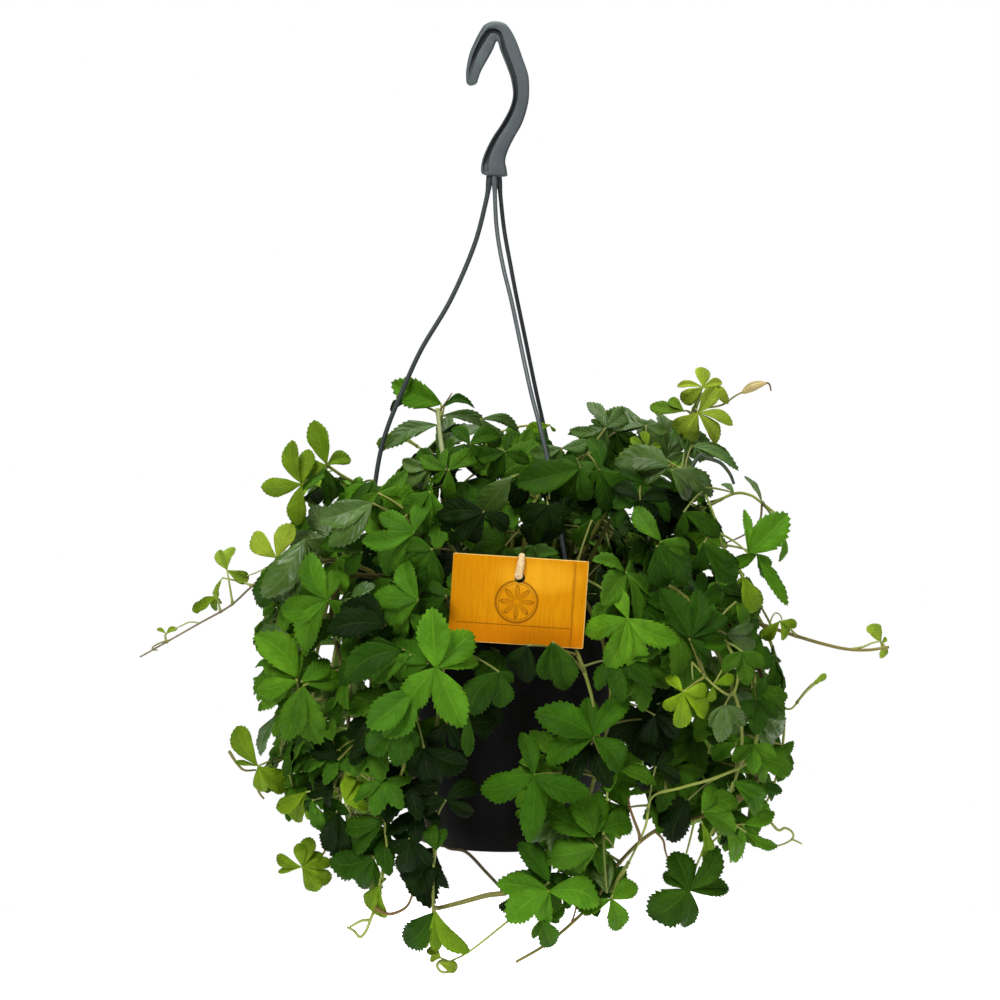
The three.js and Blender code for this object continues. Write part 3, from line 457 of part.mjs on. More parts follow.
      [[-24.52,30.2,-300.79], [-36.44,26.1,-319.32], [-0.35, 0.64, 0.68], [[-63.22,25.01,-337.83], [-57.2,7.83,-319.71], [-43.82,38.86,-344.57], [-38.91,4.44,-311.97], [-25.97,38.46,-333.8]]],
      [[-32.03,35.79,-278.64], [-25.34,49.23,-295.18], [-0.41, 0.05, 0.91], [[-47.15,59.13,-311.66], [-47,36.7,-307.51], [-31.57,72.59,-302.72], [-26.24,27.99,-301.49], [-13.98,68.38,-298.46]]],
      [[-38.78,40.52,-266.1], [-59.02,44.05,-280], [-0.53, 0.34, 0.78], [[-70.43,67.47,-302.09], [-80.95,43.81,-298.3], [-50.12,69.81,-289.21], [-73.22,25.28,-287.13], [-39.67,55.95,-277.77]]],
      [[-43.71,43.86,-259.7], [-49.36,64.23,-261], [-0.58, 0.17, 0.8], [[-45.43,92.08,-267.29], [-63.97,80.22,-281.22], [-27.33,82.75,-254.55], [-63.53,55.46,-275.29], [-30.96,56.7,-252.93]]],
    ],
  },
  crown_back_mid: {
    stem: [[7.27,25.9,-374.7], [7.27,25.9,-361.7], [8.92,29.74,-325], [11.95,39.39,-290], [17.12,54.67,-268], [25.19,75.34,-262]],
    leaves: [
      [[9.43,31.41,-318], [-3.72,40.02,-333.22], [0.09, 0.57, 0.82], [[-24.11,51.73,-347.07], [-26.73,38.78,-331.89], [-3.35,59.64,-347.66], [-14.68,26.31,-328.35], [10.85,44.75,-345.72]]],
      [[10.5,34.74,-304.18], [28.75,39.07,-292.16], [-0.14, 0.44, 0.89], [[61.32,52.12,-299.24], [37.13,65.88,-308.33], [53.94,25.72,-285.75], [18.74,52.67,-307.62], [38.74,17.66,-287.68]]],
      [[13.21,43.17,-283.29], [-9.55,65.05,-293.57], [0.36, 0.61, 0.7], [[-27.61,86.47,-304.31], [-36.79,70.79,-290.61], [-8.94,82.85,-313.44], [-24.37,54.83,-281.33], [4.39,66.9,-309.37]]],
      [[19.21,60.02,-266.36], [34.26,74.59,-266.23], [0.35, 0.25, 0.9], [[50.12,93.46,-284.01], [32.18,99.33,-275.19], [55.96,76.08,-279.8], [17.57,84.57,-270.35], [47.41,59.51,-273.01]]],
    ],
  },
  crown_back_right: {
    stem: [[31.05,21.85,-374.7], [31.05,21.85,-361.7], [34.73,26.77,-325], [43.84,37.51,-288], [56.4,53.23,-268], [70.57,72.83,-268]],
    leaves: [
      [[42.33,35.76,-294.03], [44.76,48.16,-277.3], [0.54, 0.05, 0.84], [[64.39,72.71,-295.18], [40.68,81.21,-284.19], [67.74,46.92,-300.25], [25.45,62.64,-274.74], [53.63,29.72,-290.12]]],
      [[51.24,46.75,-275.57], [69.53,48.07,-262.97], [0.64, 0.17, 0.75], [[88.87,59.59,-284.29], [72.73,74.63,-279.75], [89.39,36.27,-283.79], [53.64,64.68,-260.37], [68.89,24.55,-264.81]]],
      [[68.84,70.43,-267.97], [70.34,89.61,-255.41], [0.6, 0.41, 0.69], [[81.35,113.21,-281.41], [58.54,119.03,-268.4], [89.86,89.26,-280.53], [46.31,100.87,-250.08], [85,69.45,-262.5]]],
      [[63.65,63.25,-267.88], [75.73,80.44,-268.15], [0.47, 0.22, 0.86], [[83.61,98.02,-280.21], [70.54,99.62,-270.99], [92.89,86.17,-281.27], [60.06,86.7,-264.8], [87.49,69.82,-274.37]]],
    ],
  },
  crown_left: {
    stem: [[-35.84,2.79,-374.7], [-35.84,2.79,-361.7], [-42.23,4.16,-318.36], [-60.88,-1.84,-291.35], [-81.69,-3.63,-274.79], [-104.5,-7.01,-277.7]],
    leaves: [
      [[-74.75,-3.1,-280.06], [-91.46,-12.43,-290.57], [-0.39, -0.01, 0.92], [[-117.31,-34.55,-304.12], [-92.17,-44.22,-296.2], [-121.87,-4.63,-307.06], [-74.35,-31.61,-287.87], [-104.83,7.72,-302.07]]],
      [[-101.65,-6.59,-277.34], [-91.4,4.53,-274.7], [-0.53, 0.09, 0.84], [[-118.05,0.43,-294.21], [-106.77,-18.93,-286.03], [-108.63,20.83,-292.28], [-87.2,-18.21,-275.99], [-87.89,27.96,-279.99]]],
      [[-93.09,-5.32,-276.25], [-111.53,8.19,-275.77], [-0.35, 0.4, 0.85], [[-117.83,29.67,-292.25], [-130.74,12.79,-290.11], [-98.85,28.73,-285.35], [-123.62,-5.51,-280.88], [-92.54,7.86,-272.85]]],
      [[-93.09,-5.32,-276.25], [-113.35,-11.9,-270.16], [-0.66, -0.22, 0.71], [[-122.07,-27.6,-283.6], [-106.22,-30.86,-273.84], [-126.17,-7.55,-286.08], [-100.56,-19.23,-264.08], [-120.81,-0.24,-276.43]]],
    ],
  },
  crown_right: {
    stem: [[48.57,6.12,-374.7], [48.57,6.12,-361.7], [58.65,6.11,-325], [76.73,6.28,-292], [98.82,5.74,-280], [120.93,4.05,-288]],
    leaves: [
      [[69.35,6.23,-303.8], [70.61,-11.36,-316.69], [0.97, -0.03, 0.25], [[76.67,-13.08,-344.12], [72.8,5.48,-335.29], [69.09,-30.74,-335.21], [66.25,10.38,-316.54], [67.15,-30.68,-314.8]]],
      [[79.08,6.26,-289.56], [92.04,16.37,-275.79], [0.41, -0.24, 0.88], [[119.09,20.5,-289.3], [105.05,39.77,-280.24], [106.52,-3.59,-292.23], [85.83,37.77,-271.05], [87.62,-2.96,-284.61]]],
      [[86.76,6.05,-285.96], [101.44,-10.75,-282.03], [0.75, 0.34, 0.57], [[119.89,-23.82,-304.4], [111.71,-0.05,-305.82], [113.05,-36.27,-283.94], [95.46,8.9,-291.58], [93.24,-26.96,-269.84]]],
      [[120.93,4.05,-288], [125.08,32.13,-295.29], [0.51, 0.41, 0.76], [[132.25,56.03,-313.2], [113.18,54.01,-303.98], [143.54,35.35,-317.35], [105.98,38.81,-292.01], [142.15,21.91,-304.12]]],
    ],
  },
};

const wasm = await Module();
wasm.setup();

// A closed mesh as a solid.
function solid(geometry) {
  let g = geometry.clone();
  g.deleteAttribute('normal');
  if (g.getAttribute('uv')) g.deleteAttribute('uv');
  g = BufferGeometryUtils.mergeVertices(g, 1e-4);
  const mesh = new wasm.Mesh({
    numProp: 3,
    vertProperties: new Float32Array(g.getAttribute('position').array),
    triVerts: new Uint32Array(g.getIndex().array),
  });
  mesh.merge();
  return new wasm.Manifold(mesh);
}

// A solid back as a geometry.
function toGeometry(s) {
  const m = s.getMesh();
  const g = new THREE.BufferGeometry();
  const pos = new Float32Array((m.vertProperties.length / m.numProp) * 3);
  for (let i = 0; i < pos.length / 3; i++) {
    pos[3 * i] = m.vertProperties[m.numProp * i];
    pos[3 * i + 1] = m.vertProperties[m.numProp * i + 1];
    pos[3 * i + 2] = m.vertProperties[m.numProp * i + 2];
  }
  g.setAttribute('position', new THREE.BufferAttribute(pos, 3));
  g.setIndex(new THREE.BufferAttribute(new Uint32Array(m.triVerts), 1));
  g.computeVertexNormals();
  return g;
}

const vec = (a) => new THREE.Vector3(a[0], a[1], a[2]);

// A round bar with polygon ends along a smooth curve through the points.
function tube(points, r, sides, steps) {
  const path = points.length === 2
    ? new THREE.LineCurve3(vec(points[0]), vec(points[1]))
    : new THREE.CatmullRomCurve3(points.map(vec), false, 'catmullrom', 0.5);
  const outline = new THREE.Shape();
  for (let i = 0; i < sides; i++) {
    const a = (2 * Math.PI * i) / sides;
    const x = r * Math.cos(a), y = r * Math.sin(a);
    if (i === 0) outline.moveTo(x, y); else outline.lineTo(x, y);
  }
  outline.closePath();
  return new THREE.ExtrudeGeometry(outline, { steps, bevelEnabled: false, extrudePath: path });
}

// A body of revolution about a vertical axis through (x, y), from a closed
// profile of [radius, z] points that runs anticlockwise.
function turned(profile, segments, x = 0, y = 0) {
  const g = new THREE.LatheGeometry(profile.map(([r, z]) => new THREE.Vector2(r, z)), segments);
  g.rotateX(Math.PI / 2);
  g.translate(x, y, 0);
  return g;
}

function rod(x, y, z0, z1, r, sides) {
  const g = new THREE.CylinderGeometry(r, r, z1 - z0, sides);
  g.rotateX(Math.PI / 2);
  g.translate(x, y, (z0 + z1) / 2);
  return g;
}

function polar(r, degrees) {
  const a = (degrees * Math.PI) / 180;
  return [POT_X + r * Math.cos(a), r * Math.sin(a)];
}

// ---------------------------------------------------------------- pot
function makePot() {
  const floorZ = BASE_Z + FOOT_RING_H;
  const wallAt = (z) => BASE_R + ((WALL_TOP_R - BASE_R) * (z - BASE_Z)) / (RIM_Z - 6 - BASE_Z);
  const profile = [
    [0, floorZ], [BASE_R - FOOT_RING_W - 2, floorZ], [BASE_R - FOOT_RING_W, BASE_Z], [BASE_R - 0.8, BASE_Z],
    [BASE_R, BASE_Z + 0.8], [wallAt(-430), -430], [WALL_TOP_R, RIM_Z - 6], [WALL_TOP_R, RIM_Z - 2],
    [RIM_R - 1.6, RIM_Z - 2], [RIM_R - 1.6, RIM_Z - 7], [RIM_R, RIM_Z - 7], [RIM_R, RIM_Z - 0.8], [RIM_R - 0.8, RIM_Z],
    [WALL_TOP_R - WALL_T + 0.8, RIM_Z], [WALL_TOP_R - WALL_T, RIM_Z - 0.8],
    [wallAt(-430) - WALL_T, -430], [BASE_R - 2.6, floorZ + FLOOR_T + 2], [BASE_R - 4.6, floorZ + FLOOR_T], [0, floorZ + FLOOR_T],
  ];
  let pot = solid(turned(profile, 40, POT_X, 0));
  for (const a of CLIP_ANGLES) {
    const [x, y] = polar(CLIP_R, a);
    pot = pot.subtract(solid(rod(x, y, RIM_Z - 4, RIM_Z + 2, CLIP_HOLE_R, 8)));
  }
  for (let i = 0; i < 6; i++) {
    const [x, y] = polar(DRAIN_CIRCLE_R, 30 + 60 * i);
    pot = pot.subtract(solid(rod(x, y, floorZ - 2, floorZ + FLOOR_T + 2, DRAIN_R, 8)));
  }
  pot = pot.subtract(solid(rod(POT_X, 0, floorZ - 2, floorZ + FLOOR_T + 2, DRAIN_R, 8)));
  return pot;
}

// The soil fills the pot; every shoot stands in a socket of its own.
function makeSoil(shoots) {
  const floorZ = BASE_Z + FOOT_RING_H + FLOOR_T + SOIL_GAP;
  const wallAt = (z) => BASE_R - WALL_T - SOIL_GAP + ((WALL_TOP_R - BASE_R) * (z - BASE_Z)) / (RIM_Z - 6 - BASE_Z) - 1;
  const profile = [
    [0, floorZ], [BASE_R - 6, floorZ], [BASE_R - 3.8, floorZ + 3.6], [wallAt(-430), -430], [wallAt(SOIL_Z), SOIL_Z],
    [62, SOIL_Z + 1.5], [34, SOIL_Z + 3], [0, SOIL_Z + 3.5],
  ];
  let soil = solid(turned(profile, 26, POT_X, 0));
  for (const { stem } of shoots) {
    const foot = [stem[0][0], stem[0][1], stem[0][2] - 0.6];
    soil = soil.subtract(solid(tube([foot, ...stem.slice(1)], STEM_R + 0.5, 4, stemSteps(stem))));
  }
  return soil;
}

// ---------------------------------------------------------------- hanger
// Outline of the hook in its own plane, [x, z]: the short leg, its tip, the
// throat, the long shank with its foot, and back over the top.
const HOOK_OUTLINE = [
  [-7.97, 9.48], [-11.68, 3.67], [-14.77, -2.45], [-16.93, -7.96], [-18.48, -14.08], [-19.41, -20.21],
  [-18.8, -24.5], [-16.33, -26.65], [-13.24, -26.04], [-11.38, -22.36], [-9.53, -17.76], [-6.75, -12.55],
  [-3.66, -7.65], [-1.43, -3.06], [0.23, -0.18], [1.41, -3.06], [3.44, -9.18], [5.61, -14.08],
  [8.7, -23.28], [9.94, -32.48], [8.08, -40.46], [2.52, -50.9], [-4.29, -60.74], [-8.01, -68.74],
  [-9.87, -75.52], [-9.68, -79.83], [-6.15, -82.05], [-0.58, -83.16], [4.38, -84.14], [6.73, -82.6],
  [6.11, -77.98], [5.12, -72.44], [7.1, -65.66], [12.11, -56.44], [16.44, -48.44], [18.97, -41.07],
  [19.95, -33.09], [19.57, -21.44], [16.1, -11.02], [12.08, 0], [8.07, 7.65], [3.75, 11.01],
  [-1.8, 11.93], [-5.5, 11.26],
];

function makeHook() {
  const curve = new THREE.CatmullRomCurve3(HOOK_OUTLINE.map(([x, z]) => new THREE.Vector3(x, z, 0)), true, 'centripetal');
  const pts = curve.getPoints(HOOK_OUTLINE.length + 4).slice(0, -1).map((p) => new THREE.Vector2(p.x, p.y));
  let g = new THREE.ExtrudeGeometry(new THREE.Shape(pts), { depth: HOOK_T - 1.6, bevelEnabled: true, bevelThickness: 0.8, bevelSize: 0.8, bevelOffset: -0.8, bevelSegments: 1, steps: 1 });
  g.rotateX(Math.PI / 2);
  g.translate(0, HOOK_T / 2 - 0.8, 0);
  let hook = solid(g);
  // a pocket on each side leaves a rib all round and a web in the middle
  const above = new wasm.CrossSection([[[-60, HOOK_POCKET_LOW], [60, HOOK_POCKET_LOW], [60, 60], [-60, 60]]], 'Positive');
  const area = new wasm.CrossSection([pts.map((p) => [p.x, p.y])], 'NonZero').offset(-HOOK_RIB, 'Miter', 2, 0).intersect(above).simplify(0.08);
  const prism = area.extrude(HOOK_POCKET + 1).rotate([90, 0, 0]);
  hook = hook.subtract(prism.translate([0, HOOK_T / 2 + 1, 0]));
  hook = hook.subtract(prism.translate([0, -HOOK_T / 2 + HOOK_POCKET, 0]));
  // sockets for the three strands in the foot
  for (const name of Object.keys(STRANDS)) {
    const [x, y, z] = STRANDS[name][0];
    hook = hook.subtract(solid(rod(x, y, z - 12, z + 0.4, STRAND_R + 0.35, 10)));
  }
  return hook;
}

const STRANDS = {
  left: [
    [-4.9, 0, -79.5], [-4.9, 0, -87], [-7.03, 0, -99.57], [-14.24, 0, -126.14], [-28.81, 0, -159.6], [-47.27, 0, -190.68],
    [-59.17, 0, -216.84], [-68.34, 0, -239.32], [-73.96, 0, -260.58], [-79.08, 0, -296.95], [-81.61, 0, -322.11],
  ],
  front: [
    [-1.5, -2.7, -79.5], [-1.5, -2.7, -87], [-0.2, -7.49, -114.38], [3.63, -15.53, -137.69], [8.84, -25.08, -158.98], [15.31, -41.96, -188.37],
    [21.43, -53.37, -213.98], [26.81, -61.46, -234.12], [31.22, -67.06, -255.52], [38.07, -72.28, -296.23], [42.89, -74.55, -323.26],
  ],
  back: [
    [1.5, 2.7, -79.5], [1.5, 2.7, -87], [4.27, 7.49, -114.41], [8.47, 15.53, -138.12], [12.73, 25.08, -160.23], [19.57, 41.89, -191.61],
    [25.96, 53.37, -219.7], [30.83, 61.46, -242.01], [35.2, 67.06, -265.65], [41.43, 72, -306.96], [45.4, 73.99, -329.98],
  ],
};

// A moulded strand: round bar, a collar over the flange and a barb under it.
function makeStrand(points, angle) {
  const [x, y] = polar(CLIP_R, angle);
  const all = [...points, [x, y, RIM_Z + 4], [x, y, RIM_Z - 6]];
  let s = solid(tube(all, STRAND_R, 6, 22));
  s = s.add(solid(turned([[0, RIM_Z + 0.3], [3.4, RIM_Z + 0.3], [3.4, RIM_Z + 1.4], [1.2, RIM_Z + 3.2], [0, RIM_Z + 3.2]], 9, x, y)));
  s = s.add(solid(turned([[0, RIM_Z - 8], [0.9, RIM_Z - 8], [2.9, RIM_Z - 3.2], [2.9, RIM_Z - 2.4], [0, RIM_Z - 2.4]], 9, x, y)));
  return s;
}

// ---------------------------------------------------------------- label
const tiltRad = (-LABEL_TILT * Math.PI) / 180;
function labelPoint(u, w) {
  // u to the right and w up in the label's own plane
  const c = Math.cos(tiltRad), s = Math.sin(tiltRad);
  return [LABEL_POS[0] + u * c - w * s, LABEL_POS[2] + u * s + w * c];
}
const LABEL_HOLE = labelPoint(0, LABEL_H / 2 - LABEL_HOLE_DOWN);

function makeLabel() {
  const w = LABEL_W / 2, h = LABEL_H / 2;
  const b = new THREE.BoxGeometry(LABEL_W, LABEL_T, LABEL_H);
  b.rotateY((LABEL_TILT * Math.PI) / 180);
  b.translate(...LABEL_POS);
  const hole = new THREE.CylinderGeometry(LABEL_HOLE_R, LABEL_HOLE_R, 6, 14);
  hole.translate(LABEL_HOLE[0], LABEL_POS[1], LABEL_HOLE[1]);
  return solid(b).subtract(solid(hole));
}

// A closed loop of round section in the plane x = const.
function loop(yz, x, r, sides, steps) {
  const path = new THREE.CatmullRomCurve3(yz.map(([y, z]) => new THREE.Vector3(0, y, z)), true, 'centripetal');
  const P = path.getSpacedPoints(steps);
  const pos = [], idx = [];
  for (let i = 0; i < steps; i++) {
    const a = P[(i + steps - 1) % steps], b = P[(i + 1) % steps];
    const t = new THREE.Vector3().subVectors(b, a).normalize();
    const n = new THREE.Vector3(0, t.z, -t.y);
    for (let j = 0; j < sides; j++) {
      const q = (2 * Math.PI * j) / sides;
      pos.push(x + r * Math.sin(q), P[i].y + n.y * r * Math.cos(q), P[i].z + n.z * r * Math.cos(q));
    }
  }
  for (let i = 0; i < steps; i++) for (let j = 0; j < sides; j++) {
    const a = i * sides + j, b = i * sides + ((j + 1) % sides);
    const c = ((i + 1) % steps) * sides + j, d = ((i + 1) % steps) * sides + ((j + 1) % sides);
    idx.push(a, b, d, a, d, c);
  }
  const g = new THREE.BufferGeometry();
  g.setAttribute('position', new THREE.Float32BufferAttribute(pos, 3));
  g.setIndex(idx);
  let s = solid(g);
  if (s.volume() < 0) {
    const f = [];
    for (let i = 0; i < idx.length; i += 3) f.push(idx[i], idx[i + 2], idx[i + 1]);
    g.setIndex(f);
    s = solid(g);
  }
  return s;
}

function makeCord() {
  const [hx, hz] = LABEL_HOLE;
  const top = hz + LABEL_HOLE_DOWN, y = LABEL_POS[1];
  const f = y - LABEL_T / 2 - CORD_R - 0.7;
  const path = [
    [f, hz + 4.5], [f, top - 2], [f + 1.2, top + 2.2], [y + 0.5, top + 3.6], [y + 6, top + 2.6], [y + 10.4, top - 1],
    [y + 11.6, top - 5], [y + 11.2, hz + 5], [y + 8.6, hz + 1.2], [y + 4, hz + 0.1], [y - 0.4, hz + 0.1], [f + 0.9, hz + 1.4],
  ];
  return loop(path, hx, CORD_R, 8, 24);
}

// ---------------------------------------------------------------- plant
// Outline of a five-fingered blade about its junction J: a tip for each
// leaflet, a notch between neighbours and one point at the back. The points run
// anticlockwise round the axis m.
function bladeOutline(J, tips, m) {
  const j = vec(J);
  const e1 = new THREE.Vector3().crossVectors(Math.abs(m.z) < 0.9 ? new THREE.Vector3(0, 0, 1) : new THREE.Vector3(1, 0, 0), m).normalize();
  const e2 = new THREE.Vector3().crossVectors(m, e1);
  const d = tips.map((q) => {
    const v = vec(q).sub(j);
    return { v, a: Math.atan2(v.dot(e2), v.dot(e1)), l: v.length() };
  }).sort((p, q) => p.a - q.a);
  const out = [];
  const turn = (v, a) => v.clone().applyAxisAngle(m, a);
  for (let i = 0; i < d.length; i++) {
    const p = d[i], q = d[(i + 1) % d.length];
    let gap = q.a - p.a;
    if (gap <= 1e-6 || d.length === 1) gap += 2 * Math.PI;
    out.push(p.v.clone());
    if (gap < 2.1) {
      const c = p.v.clone().normalize().add(q.v.clone().normalize()).normalize();
      out.push(c.multiplyScalar(0.36 * Math.min(p.l, q.l)));
    } else if (gap < 3.9 && d.length > 3) {
      out.push(turn(p.v.clone().normalize(), gap / 2).multiplyScalar(3));
    } else {
      out.push(turn(p.v, 0.7).multiplyScalar(0.36));
      out.push(turn(p.v.clone().normalize(), gap / 2).multiplyScalar(2.4));
      out.push(turn(q.v, -0.7).multiplyScalar(0.36));
    }
  }
  return out.map((v) => v.add(j));
}

// A leaf: the blade is thickest at its junction and thin at its edge, and the
// slim three-sided petiole runs from its underside down to A in the stem.
function leaf(A, J, N, tips, r, t, bury = 0) {
  const j = vec(J), a = vec(A);
  const d = a.clone().sub(j).normalize();
  const n = vec(N).normalize();
  // m is the blade's axis on the side away from the petiole
  const m = d.dot(n) <= 0 ? n : n.clone().negate();
  const c = d.dot(m);
  if (c > -0.3) m.sub(d.clone().multiplyScalar(c + 0.3)).normalize();
  const out = bladeOutline(J, tips, m);
  const k = out.length;
  const pos = [...j.clone().addScaledVector(m, t / 2).toArray()];
  for (const v of out) pos.push(...v.toArray());
  const e1 = out[0].clone().sub(j); e1.addScaledVector(m, -e1.dot(m)).normalize();
  const e2 = new THREE.Vector3().crossVectors(m, e1);
  const f1 = e1.clone().addScaledVector(d, -e1.dot(d)).normalize();
  let f2 = new THREE.Vector3().crossVectors(d, f1);
  if (f2.dot(e2) < 0) f2.negate();
  const ring = [];
  for (let i = 0; i < 3; i++) {
    const q = (2 * Math.PI * i) / 3 + 0.3;
    ring.push(q);
    const v = j.clone().addScaledVector(m, -t / 2).addScaledVector(d, 0.4).addScaledVector(e1, r * Math.cos(q)).addScaledVector(e2, r * Math.sin(q));
    pos.push(...v.toArray());
  }
  for (let i = 0; i < 3; i++) {
    const q = ring[i];
    const v = a.clone().addScaledVector(d, bury).addScaledVector(f1, r * Math.cos(q)).addScaledVector(f2, r * Math.sin(q));
    pos.push(...v.toArray());
  }
  const idx = [];
  for (let i = 0; i < k; i++) idx.push(0, 1 + i, 1 + ((i + 1) % k));
  const angle = (v) => { const w = v.clone().sub(j); let q = Math.atan2(w.dot(e2), w.dot(e1)); if (q < -1e-9) q += 2 * Math.PI; return q; };
  const oa = out.map(angle);
  const R = (i) => 1 + k + (i % 3), O = (i) => 1 + (i % k);
  let o = 0, i = 0;
  while (o < k || i < 3) {
    const nextO = o + 1 < k ? oa[o + 1] : 2 * Math.PI, nextR = i < 3 ? ring[i] : Infinity;
    if (o < k && (nextO <= nextR || i >= 3)) { idx.push(O(o + 1), O(o), R(i + 2)); o++; } else { idx.push(R(i), O(o), R(i + 2)); i++; }
  }
  const B = (q) => 1 + k + 3 + (q % 3);
  for (let q = 0; q < 3; q++) idx.push(B(q), B(q + 1), R(q + 1), B(q), R(q + 1), R(q));
  idx.push(B(0), B(2), B(1));
  const g = new THREE.BufferGeometry();
  g.setAttribute('position', new THREE.Float32BufferAttribute(pos, 3));
  g.setIndex(idx);
  return g;
}

function stemSteps(points) {
  let l = 0;
  for (let i = 1; i < points.length; i++) l += vec(points[i]).distanceTo(vec(points[i - 1]));
  return Math.max(6, Math.min(13, Math.round(l / 25)));
}

// One shoot, grown as one piece: stem, petioles and blades.
function makeShoot(shoot) {
  let s = solid(tube(shoot.stem, STEM_R, 4, stemSteps(shoot.stem)));
  shoot.leaves.forEach(([A, J, N, tips], i) => {
    // no two petioles are quite alike, so that none share an edge
    s = s.add(solid(leaf(A, J, N, tips, PETIOLE_R + 0.013 * (i % 7), BLADE_T + 0.011 * (i % 5), 0.07 * (i % 6))));
  });
  // crossing blades can enclose a speck: the shoot is the one large body
  return s.simplify(0.02).decompose().sort((p, q) => q.volume() - p.volume())[0];
}

// ---------------------------------------------------------------- the whole
const group = new THREE.Group();
group.name = 'potted_grape_ivy';

function put(name, s, colour, roughness) {
  const material = new THREE.MeshStandardMaterial({ color: colour, roughness, metalness: 0 });
  material.name = name + '_material';
  const mesh = new THREE.Mesh(toGeometry(s), material);
  mesh.name = name;
  group.add(mesh);
}

put('hanger_hook', makeHook(), 0x4f6063, 0.45);
put('hanger_strand_left', makeStrand(STRANDS.left, CLIP_ANGLES[0]), 0x3d4647, 0.5);
put('hanger_strand_front_right', makeStrand(STRANDS.front, CLIP_ANGLES[1]), 0x454f50, 0.5);
put('hanger_strand_back_right', makeStrand(STRANDS.back, CLIP_ANGLES[2]), 0x3b4344, 0.5);
put('pot_shell', makePot(), 0x2f2c2a, 0.55);
put('soil', makeSoil(Object.values(SHOOTS)), 0x3a2a1e, 0.95);
put('label_board', makeLabel(), 0xdda63a, 0.6);
put('label_cord', makeCord(), 0xe6dcb8, 0.8);
const GREENS = [0x2c5a1e, 0x35702a, 0x447f2c, 0x57922f];
Object.entries(SHOOTS).forEach(([name, shoot], i) => put('shoot_' + name, makeShoot(shoot), GREENS[i % GREENS.length], 0.5));

export default group;
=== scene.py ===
import math
import random

import bmesh
import bpy
import numpy as np
from mathutils import Matrix, Vector, noise


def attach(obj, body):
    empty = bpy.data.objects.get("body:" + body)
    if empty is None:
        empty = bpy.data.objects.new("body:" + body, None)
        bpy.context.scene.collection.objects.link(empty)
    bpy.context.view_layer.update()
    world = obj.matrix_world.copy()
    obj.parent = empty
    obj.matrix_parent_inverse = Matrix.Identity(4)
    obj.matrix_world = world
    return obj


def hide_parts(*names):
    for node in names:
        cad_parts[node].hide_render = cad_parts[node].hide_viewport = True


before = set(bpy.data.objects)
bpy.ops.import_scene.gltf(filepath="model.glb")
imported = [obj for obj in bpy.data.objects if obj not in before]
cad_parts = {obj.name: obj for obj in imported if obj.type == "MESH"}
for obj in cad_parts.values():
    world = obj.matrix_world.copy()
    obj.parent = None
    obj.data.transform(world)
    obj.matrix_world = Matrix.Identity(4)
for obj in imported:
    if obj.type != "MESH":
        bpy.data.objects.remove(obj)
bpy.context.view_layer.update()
MM = 0.001

